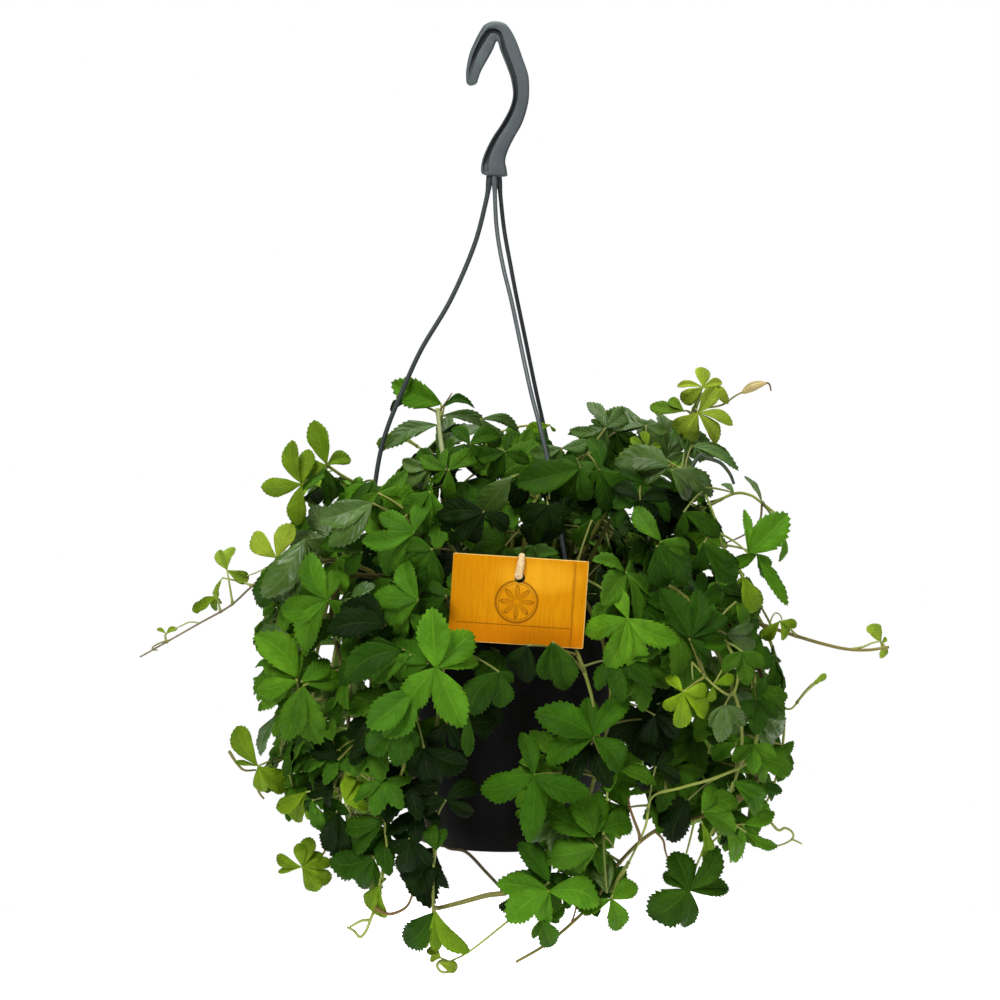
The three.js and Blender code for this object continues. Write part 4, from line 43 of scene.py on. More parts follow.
# ------------------------------------------------------------------ the shoots
# centre line of each stem, from its foot in the soil to its tip
SHOOTS = {
    "centre_crown": [(-10,12,-374.7), (-10,12,-361.7), (-8.3,11,-340.4), (-3.1,8,-323), (-3.1,12,-288.6), (1.9,16,-261.8), (15.8,20,-248.2), (30.9,24,-243.4)],
    "centre_left": [(-27,-60,-374.7), (-27,-60,-361.7), (-26.5,-68.5,-343.7), (-25,-94,-332.5), (-38.5,-106,-358.6), (-47.4,-108,-394.3), (-54.2,-104,-429.2), (-61.5,-100,-452.9), (-67,-98,-469.6), (-66,-96,-487), (-68.5,-94,-503.3), (-73.5,-92,-523.3)],
    "centre_left_2": [(-7,-68,-374.7), (-7,-68,-361.7), (-8.1,-75.5,-343.7), (-11.2,-98,-330.9), (-27.8,-104,-358.9), (-35.1,-102,-402.4), (-36.5,-96,-448.1), (-37.8,-93,-487.6), (-38.5,-91,-521.6), (-38,-90,-542.1)],
    "centre_right": [(41.5,-59.6,-374.7), (41.5,-59.6,-361.7), (42,-68.6,-342.3), (48.5,-94.4,-330.9), (62.5,-104.4,-357.6), (68,-104.8,-394.8), (61.6,-102.3,-428.3), (54.6,-98.2,-456.2), (43.9,-97,-483.8), (35.5,-99,-502.2), (19.9,-98.1,-519.5), (6.1,-95.6,-531), (-16.2,-92.4,-549.5), (-28.9,-90,-556.8)],
    "centre_right_2": [(27,-66,-374.7), (27,-66,-361.7), (28.5,-74,-343.7), (32.9,-98,-335.6), (44.5,-112,-357.8), (55.1,-118,-386.8), (61.2,-116,-420), (65.6,-110,-448.1), (63.4,-108,-475.6)],
    "front_crown": [(15,-25,-374.7), (15,-25,-361.7), (14.8,-28.2,-342.8), (14.2,-38,-327.3), (18.9,-52,-292.1), (29.2,-56,-270.4), (45.5,-58,-256.2), (57.7,-56,-250.3)],
    "front_left_crown": [(-23,-40,-374.7), (-23,-40,-361.7), (-21.6,-44.5,-341.6), (-17.6,-58,-325.1), (-28.2,-76,-304.9), (-34,-86,-288.9), (-42.8,-92,-279.3), (-56.4,-96,-287.9), (-62.4,-98,-302.7)],
    "label_shoot": [(-7,-60,-374.7), (-7,-60,-361.7), (-9,-76,-333), (-6,-98,-318), (3,-109.5,-311), (13.6,-112,-309.2), (25,-112.5,-311), (42,-111,-317), (60,-108,-326), (70,-106,-334)],
    "left_back": [(-65,14,-374.7), (-65,14,-361.7), (-69.1,14,-342.5), (-81.3,14,-326.8), (-118.8,8,-324.2), (-137.3,0,-361.2), (-135.7,-10,-409.1), (-124,-20,-445.3), (-116.3,-26,-469.4), (-108.7,-30,-488.8)],
    "left_crown": [(-40,-10,-374.7), (-40,-10,-361.7), (-37.4,-14,-338.4), (-29.6,-26,-319.3), (-32.6,-26,-289.6), (-33.4,-18,-265.4), (-34.8,-4,-246.5), (-36.9,7,-227.9)],
    "left_front": [(-49,-46,-374.7), (-49,-46,-361.7), (-51.3,-55,-343.7), (-58.2,-82,-332.7), (-72.2,-96,-359.9), (-75.7,-100,-395.5), (-79.7,-94,-432.7), (-88.5,-88,-458.1), (-82.8,-82,-487.4), (-76.3,-80,-508.6)],
    "left_lime": [(-45,12,-374.7), (-45,12,-361.7), (-45.1,7,-337.7), (-45.5,-8,-318.1), (-53.7,-22,-287.4), (-75,-32,-276.7), (-92.5,-38,-267.5), (-103.3,-40,-260)],
    "left_mid": [(-53,-32,-374.7), (-53,-32,-361.7), (-56.9,-39,-343.1), (-68.6,-60,-327.9), (-90.9,-76,-324.9), (-99.7,-82,-344.8), (-94.2,-86,-373.4), (-88.9,-87,-398.7), (-91.7,-82,-434.8), (-96.4,-74,-460.6), (-101.3,-64,-484.7), (-108.4,-58,-499.6), (-117.8,-55,-505.1)],
    "left_outer": [(-65,-14,-374.7), (-65,-14,-361.7), (-68,-19.5,-341.9), (-76.8,-36,-325.7), (-106.7,-50,-318), (-121.3,-54,-340.9), (-125.5,-57,-371.2), (-120.7,-58,-395.7), (-120.4,-56,-421.9), (-130.7,-50,-438.9), (-143.3,-46,-445.9)],
    "left_vine": [(-57,-4,-374.7), (-57,-4,-361.7), (-59.1,-5.5,-340), (-65.4,-10,-322.3), (-91,-20,-306.3), (-116.7,-26,-311.9), (-137,-28,-323.5), (-152.5,-28,-336.5), (-165,-28,-347.7), (-183.6,-28,-358.3), (-202.2,-28,-368.9), (-220.9,-28,-379.5)],
    "lime_crown": [(40,5,-374.7), (40,5,-361.7), (43.8,4.2,-336.6), (55.1,2,-316), (71.8,-4,-287.2), (92.1,-8,-266.2), (106.2,-10,-251.1), (119.7,-12,-232.3), (126.4,-12,-216.2)],
    "right_arch": [(65,-2,-374.7), (65,-2,-361.7), (71,-3.5,-334.3), (89.2,-8,-311.9), (113.7,-14,-292.5), (128.3,-17,-287.9), (146,-20,-278.9), (156.4,-22,-279.4), (163.7,-24,-284.2), (171.6,-26,-290.2)],
    "right_brown": [(78,-8,-374.7), (78,-8,-361.7), (85.3,-12,-343.7), (107.1,-24,-332), (143.7,-34,-356.9), (166,-36,-397.7), (168.2,-42,-435.3), (152.4,-50,-461.9), (123.5,-62,-473.4), (96,-74,-479.7), (74.4,-86,-496.4), (60.4,-92,-516.5), (45.9,-94,-531.4), (29.1,-92,-545.9), (11.6,-90,-556.8)],
    "right_crown": [(50,-22,-374.7), (50,-22,-361.7), (53.3,-27,-330.7), (63.1,-42,-305.3), (82.1,-54,-272.4), (101.2,-60,-258.5), (119.3,-62,-265.6), (130.3,-62,-285.1), (136.6,-60,-306.6)],
    "right_front": [(65,-38,-374.7), (65,-38,-361.7), (69.1,-48,-343.7), (81.4,-78,-333.2), (102.3,-92,-327.9), (125,-94,-346.9), (143.2,-92,-373.7), (141.1,-98,-392.2), (129.9,-104,-386.5), (115.9,-108,-371.5)],
    "right_hang": [(61.9,-46.9,-374.7), (61.9,-46.9,-361.7), (65.9,-63.5,-334.6), (85.5,-93,-335.3), (122.2,-82.1,-355.1), (141.4,-94.3,-390.3), (148.2,-78.1,-423.2), (142.8,-72.2,-454.8), (130.5,-76.9,-479.8), (122.1,-76,-498.4), (117.9,-66.9,-515.1)],
    "right_low": [(71,-20,-374.7), (71,-20,-361.7), (78.2,-27,-343.7), (99.7,-48,-332.4), (128.2,-62,-341.1), (152.4,-66,-373.1), (157.8,-70,-411), (153.3,-76,-434.6), (134.6,-84,-444.2), (110.2,-90,-450.4), (93.2,-94,-455.2), (89,-94,-474), (78.2,-97,-496.6), (69,-102,-514.4)],
    "right_outer": [(77,22,-374.7), (77,22,-361.7), (86,21,-343.7), (113.1,18,-330.4), (156.4,12,-350), (175,6,-382.9), (180.5,0,-423.3), (176.4,-6,-454), (167.9,-12,-475.1), (155.6,-18,-488)],
    "right_tip": [(63,30,-374.7), (63,30,-361.7), (72.4,30,-343.7), (100.4,30,-331.7), (140.6,30,-349.6), (168.3,24,-382.1), (179.3,16,-413), (185.3,12,-418.1), (191.6,12,-411.7), (196.6,12,-406), (207.2,12,-397.1)],
    "right_vine": [(77,6,-374.7), (77,6,-361.7), (83.2,3,-343.7), (101.8,-6,-334), (129.3,-16,-339.1), (146.5,-20,-348.7), (157.6,-22,-357.2), (169.4,-22,-361.6), (181.8,-22,-365.9), (200.5,-22,-371.6), (216.6,-22,-375.3), (230.3,-22,-375.9), (243.3,-22,-374.1)],
    "top_ridge": [(1,-4,-374.7), (1,-4,-361.7), (0.6,-6.5,-332.2), (-0.6,-14,-308.1), (-4.3,-22,-276.3), (-8,-26,-254.3), (-3,-24,-242.7), (9.3,-16,-238.3)],
    "under_pot": [(-41,-50,-374.7), (-41,-50,-361.7), (-42.6,-58.5,-343.7), (-47.3,-84,-332.5), (-55.6,-90,-372.8), (-51,-88,-433.7), (-40.4,-83,-477.4), (-30.2,-80,-488.4), (-18.7,-80,-491.4), (-6.6,-83,-503.1), (3.7,-86,-513.5)],
    "back_01": [(67,2.2,-374.7), (67,2.2,-361.7), (85.3,2.8,-321.7), (112.8,5.7,-329.2), (136.4,12.3,-372), (149.3,22,-420), (141.9,29.1,-470)],
    "back_02": [(52.1,14.9,-374.7), (52.1,14.9,-361.7), (73.9,21.2,-307.1), (107.6,31.8,-318.1), (126.7,34.4,-380.5), (136.7,30.2,-429.8), (126.3,23.7,-489.8), (117,14.9,-524.4)],
    "back_03": [(60.4,36,-374.7), (60.4,36,-361.7), (73.1,44.2,-325.7), (91,58.5,-332.2), (107.2,77,-375), (112.2,93.2,-420), (108.2,103.2,-455)],
    "back_04": [(39.8,38.6,-374.7), (39.8,38.6,-361.7), (53.7,54.1,-303.7), (73.5,78.2,-315.7), (83.4,93.5,-385), (85,102.4,-440), (79.1,101.9,-480), (69.9,96.2,-502)],
    "back_05": [(34.4,58.2,-374.7), (34.4,58.2,-361.7), (41.6,74.6,-320.1), (54,94,-329.1), (69.1,110.7,-370), (82.2,122.4,-414.4), (87,121.3,-449.4), (89.3,110.9,-478.4)],
    "back_06": [(16.2,52.8,-374.7), (16.2,52.8,-361.7), (20.4,72.4,-299.7), (24.8,102.1,-312.7), (25.1,120.3,-385), (20.8,129,-430), (14.9,125.6,-465), (9.1,117.9,-492)],
    "back_07": [(2.7,66,-374.7), (2.7,66,-361.7), (2.1,82,-323.7), (-0.2,105.9,-330.7), (-5.6,129.6,-372), (-13.6,144.8,-420), (-20.7,145.8,-462)],
    "back_08": [(-9.3,50,-374.7), (-9.3,50,-361.7), (-15.1,70,-305.7), (-22.3,100.4,-317.2), (-24.5,118.4,-385), (-22,127.2,-430), (-16.9,124.1,-465), (-11.1,114.9,-494)],
    "back_09": [(-28,57.2,-374.7), (-28,57.2,-361.7), (-36,71,-321.7), (-49.6,90.9,-329.2), (-64.8,109.6,-370), (-78.7,119.6,-415), (-82.7,114.2,-462), (-81.1,102.7,-492)],
    "back_10": [(-31.1,37.4,-374.7), (-31.1,37.4,-361.7), (-45.6,52.4,-301.7), (-68.5,73.5,-314.2), (-83.5,84,-385), (-93.1,85.3,-440), (-93.6,78.4,-480), (-88.8,68.2,-506)],
    "back_11": [(-51,35,-374.7), (-51,35,-361.7), (-64.5,43.5,-323.7), (-84.1,57.4,-330.7), (-101.9,73.9,-374), (-109.5,87.3,-420), (-103.8,91.3,-465)],
    "back_12": [(-46.6,15.8,-374.7), (-46.6,15.8,-361.7), (-66.5,21.9,-309.7), (-95.9,32.4,-320.2), (-114.1,41,-380), (-118.2,47.3,-432), (-109.1,48.5,-488), (-96.5,47.3,-520)],
    "crown_back_left": [(-14.3,23,-374.7), (-14.3,23,-361.7), (-18,25.1,-330), (-27.5,32.5,-290), (-40.7,41.9,-262), (-59.4,54,-250)],
    "crown_back_mid": [(7.3,25.9,-374.7), (7.3,25.9,-361.7), (8.9,29.7,-325), (11.9,39.4,-290), (17.1,54.7,-268), (25.2,75.3,-262)],
    "crown_back_right": [(31.1,21.9,-374.7), (31.1,21.9,-361.7), (34.7,26.8,-325), (43.8,37.5,-288), (56.4,53.2,-268), (70.6,72.8,-268)],
    "crown_left": [(-35.8,2.8,-374.7), (-35.8,2.8,-361.7), (-42.2,4.2,-318.4), (-60.9,-1.8,-291.4), (-81.7,-3.6,-274.8), (-104.5,-7,-277.7)],
    "crown_right": [(48.6,6.1,-374.7), (48.6,6.1,-361.7), (58.6,6.1,-325), (76.7,6.3,-292), (98.8,5.7,-280), (120.9,4,-288)],
}
BROWN_STEMS = {"right_brown", "right_vine", "under_pot", "left_mid"}
# leaves: shoot, colour class (age; K is also painted shade and S a painted sheen), drawn finely or not,
# start of the petiole, junction, upper side, leaflets (x, y, z of the tip, half width over length, sideways bend)
LEAVES = [
    ("centre_crown","K",0,(-7.8,10.7,-343.4),(-18.7,10.4,-322.8),(-0.71,0.34,0.61),[(-23.7,-23.2,-326.9,0.21,-0.1),(-7.9,-12.7,-304.3,0.22,0.05),(-33,-5,-343.3,0.21,0),(-2.4,6.2,-306.8,0.25,0.05),(-30.1,16.7,-342.9,0.21,0.1)]),
    ("centre_crown","D",0,(-3.3,9.8,-306.4),(16.9,35.1,-310.3),(-0.34,0.71,0.61),[(40.5,53.9,-329.9,0.23,0.1),(12.9,52,-336.7,0.21,-0.1),(49.5,43,-305.2,0.22,0.1),(-0.9,33.8,-326.6,0.26,0),(31.6,20.6,-297,0.23,0)]),
    ("centre_crown","Y",0,(-1.9,13.4,-278.3),(-35.5,11,-275.3),(0.05,0.33,0.94),[(-60.5,19.3,-285.9,0.26,0.1),(-58.9,-3.1,-276.4,0.24,0),(-42.6,30.9,-290.8,0.22,-0.1),(-37.3,-10.2,-273.9,0.23,0.1),(-22.2,24.4,-282.7,0.26,0.05)]),
    ("centre_crown","B",0,(25.4,22.5,-245.8),(23.3,42.2,-251.8),(0.03,0.6,0.8),[(36.6,59.4,-271.1,0.26,-0.05),(12.1,61.3,-268.1,0.22,0.1),(47.3,41,-262,0.22,-0.1),(3.5,42.6,-256.2,0.21,-0.05)]),
    ("centre_left","B",1,(-42.1,-107.2,-371.8),(-35.4,-141.8,-370.4),(-0.07,-0.94,0.33),[(-37.8,-137,-335.1,0.27,0),(-14,-127,-351.1,0.3,0),(-10.4,-126.6,-369.5,0.23,-0.1),(-19.7,-142,-405.7,0.26,0),(-54.5,-131,-395.6,0.27,0)]),
    ("centre_left","K",1,(-65,-98.3,-467.6),(-37.9,-87.7,-487.4),(-0.1,-0.92,0.37),[(-57.7,-73.7,-510,0.27,0),(-51.3,-87.7,-517.4,0.3,0),(-40.4,-87.7,-524.8,0.28,0.1),(-29.2,-71.9,-515.9,0.13,0.1)]),
    ("centre_left","G",1,(-42.1,-107.2,-371.8),(-40.2,-136.2,-368.8),(-0.08,-0.94,0.33),[(-58.7,-124,-358.6,0.3,0),(-59.9,-124.5,-372.8,0.23,-0.1)]),
    ("centre_left","M",1,(-41.3,-107,-368.9),(-50.8,-134.1,-363.8),(-0.1,-0.94,0.34),[(-73,-121.2,-381.6,0.24,0.05),(-61.9,-119.5,-387.8,0.22,0.1)]),
    ("centre_left","M",1,(-45.1,-108.2,-383.5),(-48.5,-133.3,-384.5),(-0.1,-0.93,0.34),[(-76.2,-133.3,-407,0.26,-0.05),(-66.2,-133.3,-413,0.26,-0.1)]),
    ("centre_left","D",1,(-40.6,-106.8,-366),(-55.5,-131.3,-361.2),(-0.11,-0.94,0.34),[(-82.5,-119,-369.4,0.26,0.1),(-89.6,-131.3,-378.9,0.26,0.1)]),
    ("centre_left","D",1,(-29.2,-100,-339.2),(-29.7,-130.9,-329.4),(-0.07,-0.94,0.32),[(-42.2,-122.6,-336.9,0.25,0),(-39.2,-123,-320.8,0.25,-0.05)]),
    ("centre_left","M",1,(-56.3,-102.8,-436.2),(-57.4,-114.8,-418.4),(-0.13,-0.93,0.36),[(-46.3,-106.3,-411.4,0.27,-0.1),(-50.4,-110,-422.8,0.2,0.1)]),
    ("centre_left","K",1,(-48.7,-107.3,-401.1),(-43.2,-111.7,-422.5),(-0.11,-0.93,0.35),[(-17.2,-99.8,-434.1,0.27,0.1),(-34,-97.2,-447.3,0.22,0.1),(-51.9,-100.4,-441.3,0.21,0)]),
    ("centre_left","K",1,(-67.6,-95.1,-494),(-51.9,-105.3,-477.9),(-0.13,-0.92,0.37),[(-58.3,-92.5,-501.2,0.24,-0.1),(-41.4,-92.7,-498.7,0.24,0),(-65.4,-96.3,-487,0.23,-0.05)]),
    ("centre_left","O",1,(-67.5,-95.5,-491),(-70.8,-96.1,-508.9),(-0.17,-0.91,0.39),[(-77.3,-86.9,-525,0.27,0.05),(-68.3,-84.3,-531.1,0.21,0.1),(-66.8,-92.2,-504.9,0.24,-0.1)]),
    ("centre_left","D",0,(-30.4,-100.8,-341.9),(-37.7,-84,-334.5),(-0.6,-0.44,0.67),[(-53.7,-89.8,-357.8,0.24,0),(-37.8,-101.4,-352,0.24,0.1),(-53.8,-70.8,-346.6,0.26,-0.05),(-23.2,-97,-338.3,0.22,0.1),(-45.6,-66.4,-331.7,0.21,0.05)]),
    ("centre_left","D",0,(-37.8,-105.5,-357.6),(-56,-108.4,-348.7),(-0.36,-0.66,0.66),[(-62.9,-119.1,-378.2,0.23,0.1),(-40.3,-128.8,-370.7,0.24,0),(-81.5,-105.5,-369.2,0.21,0),(-30,-110.7,-346.9,0.25,0.1),(-70.2,-90.4,-345.4,0.26,0.05)]),
    ("centre_left","M",0,(-45.7,-108,-386.4),(-51.4,-112.1,-367.9),(-0.01,-0.74,0.67),[(-73.2,-117.9,-385.9,0.21,0.1),(-55.4,-127.9,-389.6,0.26,0.05),(-79.4,-108.5,-366.5,0.22,0),(-34.5,-116.1,-379.5,0.22,-0.1),(-58.4,-93.6,-357.9,0.23,0)]),
    ("centre_left","K",0,(-49.3,-107.2,-404.1),(-69.5,-110.2,-401.6),(-0.41,-0.76,0.51),[(-90.3,-97.7,-417,0.26,-0.1),(-82.6,-116,-424,0.22,0),(-88.3,-92.2,-396,0.21,0),(-61.2,-122,-417,0.24,0.05),(-67.5,-96.4,-386.7,0.22,0.1)]),
    ("centre_left","M",0,(-63,-99.3,-458.9),(-67.2,-109.1,-442.3),(-0.17,-0.75,0.64),[(-72.4,-117.1,-462.5,0.26,0),(-55.4,-121.8,-457.4,0.25,0),(-85,-109.4,-455.6,0.23,0),(-50.9,-107.9,-442.6,0.25,0.1),(-79.5,-98.6,-434.9,0.21,0)]),
    ("centre_left","B",0,(-67.7,-94.7,-497),(-75.8,-72.4,-495.2),(-0.7,-0.62,0.34),[(-71.3,-79.7,-520.3,0.25,0),(-57.6,-79.9,-487.8,0.21,-0.1),(-88.4,-58.5,-499.3,0.26,-0.1)]),
    ("centre_left_2","D",1,(-28.6,-104,-363),(1.3,-134.1,-373.8),(-0.01,-0.94,0.33),[(2.5,-121.3,-397,0.26,-0.05),(-15.8,-120.5,-401.3,0.27,0.1),(10.1,-127.7,-380.6,0.24,-0.05)]),
    ("centre_left_2","D",1,(-34.4,-102.3,-397.2),(-17,-121.7,-401.7),(-0.05,-0.94,0.34),[(-17.2,-107,-428.7,0.13,0)]),
    ("centre_left_2","K",1,(-36,-99.5,-422.3),(-29.5,-113.6,-406.6),(-0.08,-0.94,0.35),[(0.1,-98.6,-407.8,0.21,0.05),(-17.2,-101.6,-424.2,0.23,0.05),(-39.9,-101.2,-426.7,0.22,0)]),
    ("centre_left_2","D",1,(-38,-92.6,-494.7),(-36.2,-111.9,-483.9),(-0.09,-0.92,0.37),[(-38.2,-102.1,-469.4,0.27,-0.1),(-30.4,-103.2,-472.3,0.25,-0.05)]),
    ("centre_left_2","K",1,(-37.2,-94.2,-469.4),(-30.3,-108.6,-454.3),(-0.08,-0.93,0.36),[(-9.5,-95.3,-449.5,0.26,-0.1),(-13.7,-97.5,-464.2,0.21,0.05),(-53.3,-94.8,-460.5,0.28,-0.05)]),
    ("centre_left_2","O",1,(-38,-90.2,-538.9),(-37,-103.7,-521.9),(-0.1,-0.92,0.38),[(-16.7,-103.7,-548.1,0.17,0.12),(-36,-96,-548.7,0.15,0)]),
    ("centre_left_2","D",1,(-38.2,-92,-504.2),(-37.7,-101.6,-524.2),(-0.1,-0.92,0.38),[(-55.6,-86.1,-546.6,0.28,-0.1)]),
    ("centre_left_2","L",1,(-38.4,-91.5,-513.6),(-39.5,-100.6,-534.8),(-0.11,-0.92,0.39),[(-44.5,-93.4,-547.5,0.17,0)]),
    ("centre_left_2","K",1,(-34.2,-102.2,-397),(-5.9,-92,-398.5),(0.1,-0.9,0.4),[(-16.7,-96,-409.4,0.29,0),(-8.3,-98,-419.9,0.29,0),(2.5,-96,-411.8,0.27,0)]),
    ("centre_left_2","D",1,(-7,-68,-368.2),(1.3,-92,-367.7),(0.1,-0.9,0.4),[(-16,-96,-376.8,0.27,0),(-10,-98,-391,0.28,0),(4.9,-96,-390.1,0.26,0)]),
    ("centre_left_2","B",0,(-7.8,-75.9,-345.7),(-21.9,-86.1,-335.8),(-0.23,-0.79,0.57),[(-46.2,-87.9,-351.4,0.24,-0.05),(-28.4,-93.1,-359,0.24,0.05),(-45,-76.2,-335.2,0.25,-0.05),(-8.7,-95,-349,0.24,-0.05),(-25.4,-72.2,-321.4,0.24,-0.05)]),
    ("centre_left_2","D",0,(-21.3,-102.9,-345.6),(-46.3,-109.8,-333.5),(-0.42,-0.8,0.42),[(-72.1,-104,-358.6,0.24,0),(-45.5,-115.2,-365.7,0.26,-0.1),(-71.6,-91.1,-333.8,0.25,0),(-26.9,-117.7,-347.2,0.26,0),(-52.2,-93.9,-313.2,0.23,0)]),
    ("centre_left_2","M",0,(-33.9,-103,-390.9),(-60.5,-104.6,-387.6),(-0.34,-0.73,0.59),[(-91,-97.2,-402.4,0.24,-0.1),(-71.2,-113.7,-413.9,0.22,-0.1),(-78.2,-79.5,-382.8,0.25,0.1),(-54.5,-119.4,-405.8,0.23,0.1),(-59,-83.2,-374,0.22,0.1)]),
    ("centre_left_2","K",0,(-36.4,-96.5,-444.2),(-46.6,-96.8,-461.6),(-0.11,-0.69,0.72),[(-66.5,-104.9,-476,0.24,-0.1),(-47.8,-108.8,-480.9,0.25,0.05),(-71.7,-90.7,-462.6,0.24,0.05),(-33.5,-104.2,-471.4,0.23,-0.05),(-57.3,-83.1,-454.7,0.23,0.05)]),
    ("centre_right","G",1,(58.6,-100.5,-441.1),(21.9,-129.2,-435.7),(0.03,-0.94,0.35),[(14.4,-113.2,-412.6,0.2,0.05),(-9.9,-117.9,-446.6,0.26,-0.1),(19,-129.2,-476.2,0.19,-0.04),(54.9,-129.2,-445.8,0.24,0.1)]),
    ("centre_right","B",1,(22.1,-97.9,-516.7),(31.1,-116.2,-507.7),(0.06,-0.93,0.37),[(-0.5,-104.3,-505.4,0.23,0),(6.1,-109.6,-527.9,0.29,0.05),(61.6,-109.9,-517.5,0.28,-0.1),(29.5,-103.8,-531,0.2,0.1)]),
    ("centre_right","K",1,(67.3,-104.8,-393.8),(94.5,-98.1,-404.8),(0.18,-0.91,0.36),[(83.6,-86.7,-391.4,0.27,0),(110.1,-85.9,-392.8,0.26,0.05),(92.2,-86,-426.8,0.24,0.1),(109,-86.3,-420.6,0.24,-0.05)]),
    ("centre_right","M",1,(47,-97.4,-476.1),(59.5,-117.6,-480.9),(0.11,-0.92,0.37),[(26.4,-107.9,-488.9,0.27,-0.05),(37.9,-101.6,-499.3,0.24,0)]),
    ("centre_right","G",1,(49.1,-97.5,-470.8),(57.6,-119,-474.1),(0.11,-0.92,0.37),[(29.9,-108.8,-461.5,0.26,0),(44.5,-119,-444.1,0.26,0),(61.5,-107.5,-448.5,0.23,0)]),
    ("centre_right","G",1,(49.1,-97.5,-470.8),(61.3,-115.8,-471.1),(0.11,-0.92,0.37),[(80.8,-104.2,-469.6,0.36,-0.05)]),
    ("centre_right","G",1,(22.1,-97.9,-516.7),(31.1,-112.7,-503),(0.06,-0.93,0.37),[(12.7,-101.7,-481,0.22,0.05),(21.1,-98.2,-484.1,0.22,0.05)]),
    ("centre_right","M",1,(31.8,-98.8,-506.1),(26.4,-107.9,-526.5),(0.05,-0.92,0.38),[(41,-97.9,-520.1,0.25,0.05),(37.9,-101,-529.8,0.22,-0.1),(33.8,-97.2,-545.4,0.31,0.05),(21.7,-98,-540.9,0.13,0)]),
    ("centre_right","K",1,(35,-98.3,-500.6),(22.3,-97.7,-519),(0.05,-0.93,0.38),[(0.7,-84.6,-523.6,0.17,-0.1)]),
    ("centre_right","L",1,(-28.9,-90,-556.8),(-33.7,-95.1,-553.2),(-0.1,-0.91,0.39),[(-42.2,-89,-549.1,0.3,0.1),(-40.4,-90.9,-556,0.25,0.1)]),
    ("centre_right","L",1,(-28.9,-90,-556.8),(-34.8,-97.6,-555.6),(-0.11,-0.91,0.39),[(-23.5,-90.6,-559.8,0.28,0.05)]),
    ("centre_right","K",0,(43.7,-77.5,-337.4),(59.6,-88.6,-333.4),(0.23,-0.75,0.63),[(81.2,-91.7,-349.9,0.26,0),(83.2,-77.6,-332.2,0.21,0),(62.1,-98.2,-360.7,0.23,0.05),(63.5,-73.1,-319.7,0.24,0.1),(41.1,-94.9,-343.6,0.23,0)]),
    ("centre_right","M",0,(60.8,-103.5,-355),(68.7,-103,-336.6),(0.42,-0.65,0.63),[(90.7,-96,-360.6,0.26,0),(93.3,-80.7,-336.9,0.24,-0.1),(71.9,-116,-363.4,0.21,0.05),(71.4,-83.5,-323.5,0.23,-0.1),(57,-119.2,-347.6,0.26,0.05)]),
    ("centre_right","M",0,(64.4,-105,-365.6),(81.1,-110.3,-375.1),(0.24,-0.9,0.37),[(87,-113.7,-400.8,0.23,-0.05),(102.9,-102.8,-387.7,0.21,-0.05),(67,-120.1,-393,0.23,-0.1),(97.8,-99.6,-370.5,0.21,0.05),(60.8,-114.6,-376.4,0.23,0.05)]),
    ("centre_right","K",0,(65.8,-104,-407.9),(55.7,-114.7,-420.2),(0.2,-0.87,0.46),[(41.7,-125.5,-446.8,0.21,0.1),(67.3,-122.7,-444.8,0.22,0.05),(27.6,-118.3,-428.5,0.24,-0.05),(74.6,-108.1,-429.6,0.21,0.05),(37.7,-106.5,-408.1,0.26,-0.05)]),
    ("centre_right","M",0,(57.8,-100.2,-443.9),(71.4,-110.7,-434.8),(0.21,-0.58,0.79),[(95,-108.2,-445.2,0.26,0),(87.1,-92.2,-434.4,0.23,-0.1),(72.3,-93.8,-426.6,0.26,0.05),(65.4,-124.1,-446.8,0.24,0.1)]),
    ("centre_right","D",0,(56.2,-99.4,-449.3),(61.5,-98.6,-469.1),(0.12,-0.79,0.6),[(79.9,-84,-462.3,0.21,0.1),(63.5,-83.5,-457.2,0.25,0.05),(53.2,-105.3,-486.5,0.23,-0.05)]),
    ("centre_right","D",0,(22.1,-97.9,-516.7),(31,-102.9,-499.6),(0.12,-0.94,0.33),[(14.2,-103.5,-521.9,0.24,-0.1),(35.9,-103.2,-523.5,0.25,0.05),(6.2,-98.5,-502.3,0.21,-0.1),(46.1,-103,-510.8,0.24,-0.05),(15.9,-98,-491.1,0.25,0)]),
    ("centre_right","D",0,(41.2,-97.3,-489.5),(48.6,-90.2,-506.8),(0.2,-0.8,0.56),[(71.2,-82.9,-517,0.24,0.05),(64.8,-74.4,-502.1,0.25,-0.1),(60.6,-96.7,-527.8,0.26,0),(46.2,-78.3,-493.4,0.21,-0.05),(42.1,-97.7,-522.8,0.26,0.1)]),
    ("centre_right","M",0,(47,-97.4,-476.1),(26.1,-100.8,-468.9),(-0.16,-0.92,0.37),[(43.4,-93.6,-451.4,0.26,-0.05),(23.4,-88,-446.6,0.22,0.05),(51.4,-97.6,-469,0.23,-0.1),(10.9,-90.6,-465.4,0.21,0.05),(35.7,-104.9,-486,0.23,0.1)]),
    ("centre_right","M",0,(58.6,-100.5,-441.1),(40.9,-102.2,-432.3),(0.33,-0.77,0.55),[(13.1,-107.2,-431.7,0.22,-0.1),(23.6,-115.8,-445.9,0.22,0.05),(19.7,-94.8,-414.7,0.24,-0.05),(45.3,-110.5,-450.4,0.22,0.1),(42.8,-87.4,-417.8,0.25,-0.1)]),
    ("centre_right","K",0,(65.5,-103.8,-410.7),(87.4,-71.3,-411.6),(0.24,-0.89,0.39),[(83,-77.1,-436.3,0.25,0.05),(101.8,-68.6,-433.8,0.22,0.1),(66.9,-76.8,-424.4,0.24,0.05),(104.7,-65.3,-412.2,0.24,-0.1),(69.8,-66.2,-404,0.24,0)]),
    ("centre_right","S",0,(52.3,-97.7,-462.9),(33.4,-102.1,-467),(0.44,-0.82,0.36),[(34.3,-108.3,-489.7,0.26,0),(45.9,-94.1,-482.2,0.21,-0.1),(17.9,-113.4,-478.6,0.22,-0.05),(46.9,-91.7,-465.5,0.25,-0.05),(17,-104.4,-463.2,0.24,0.05)]),
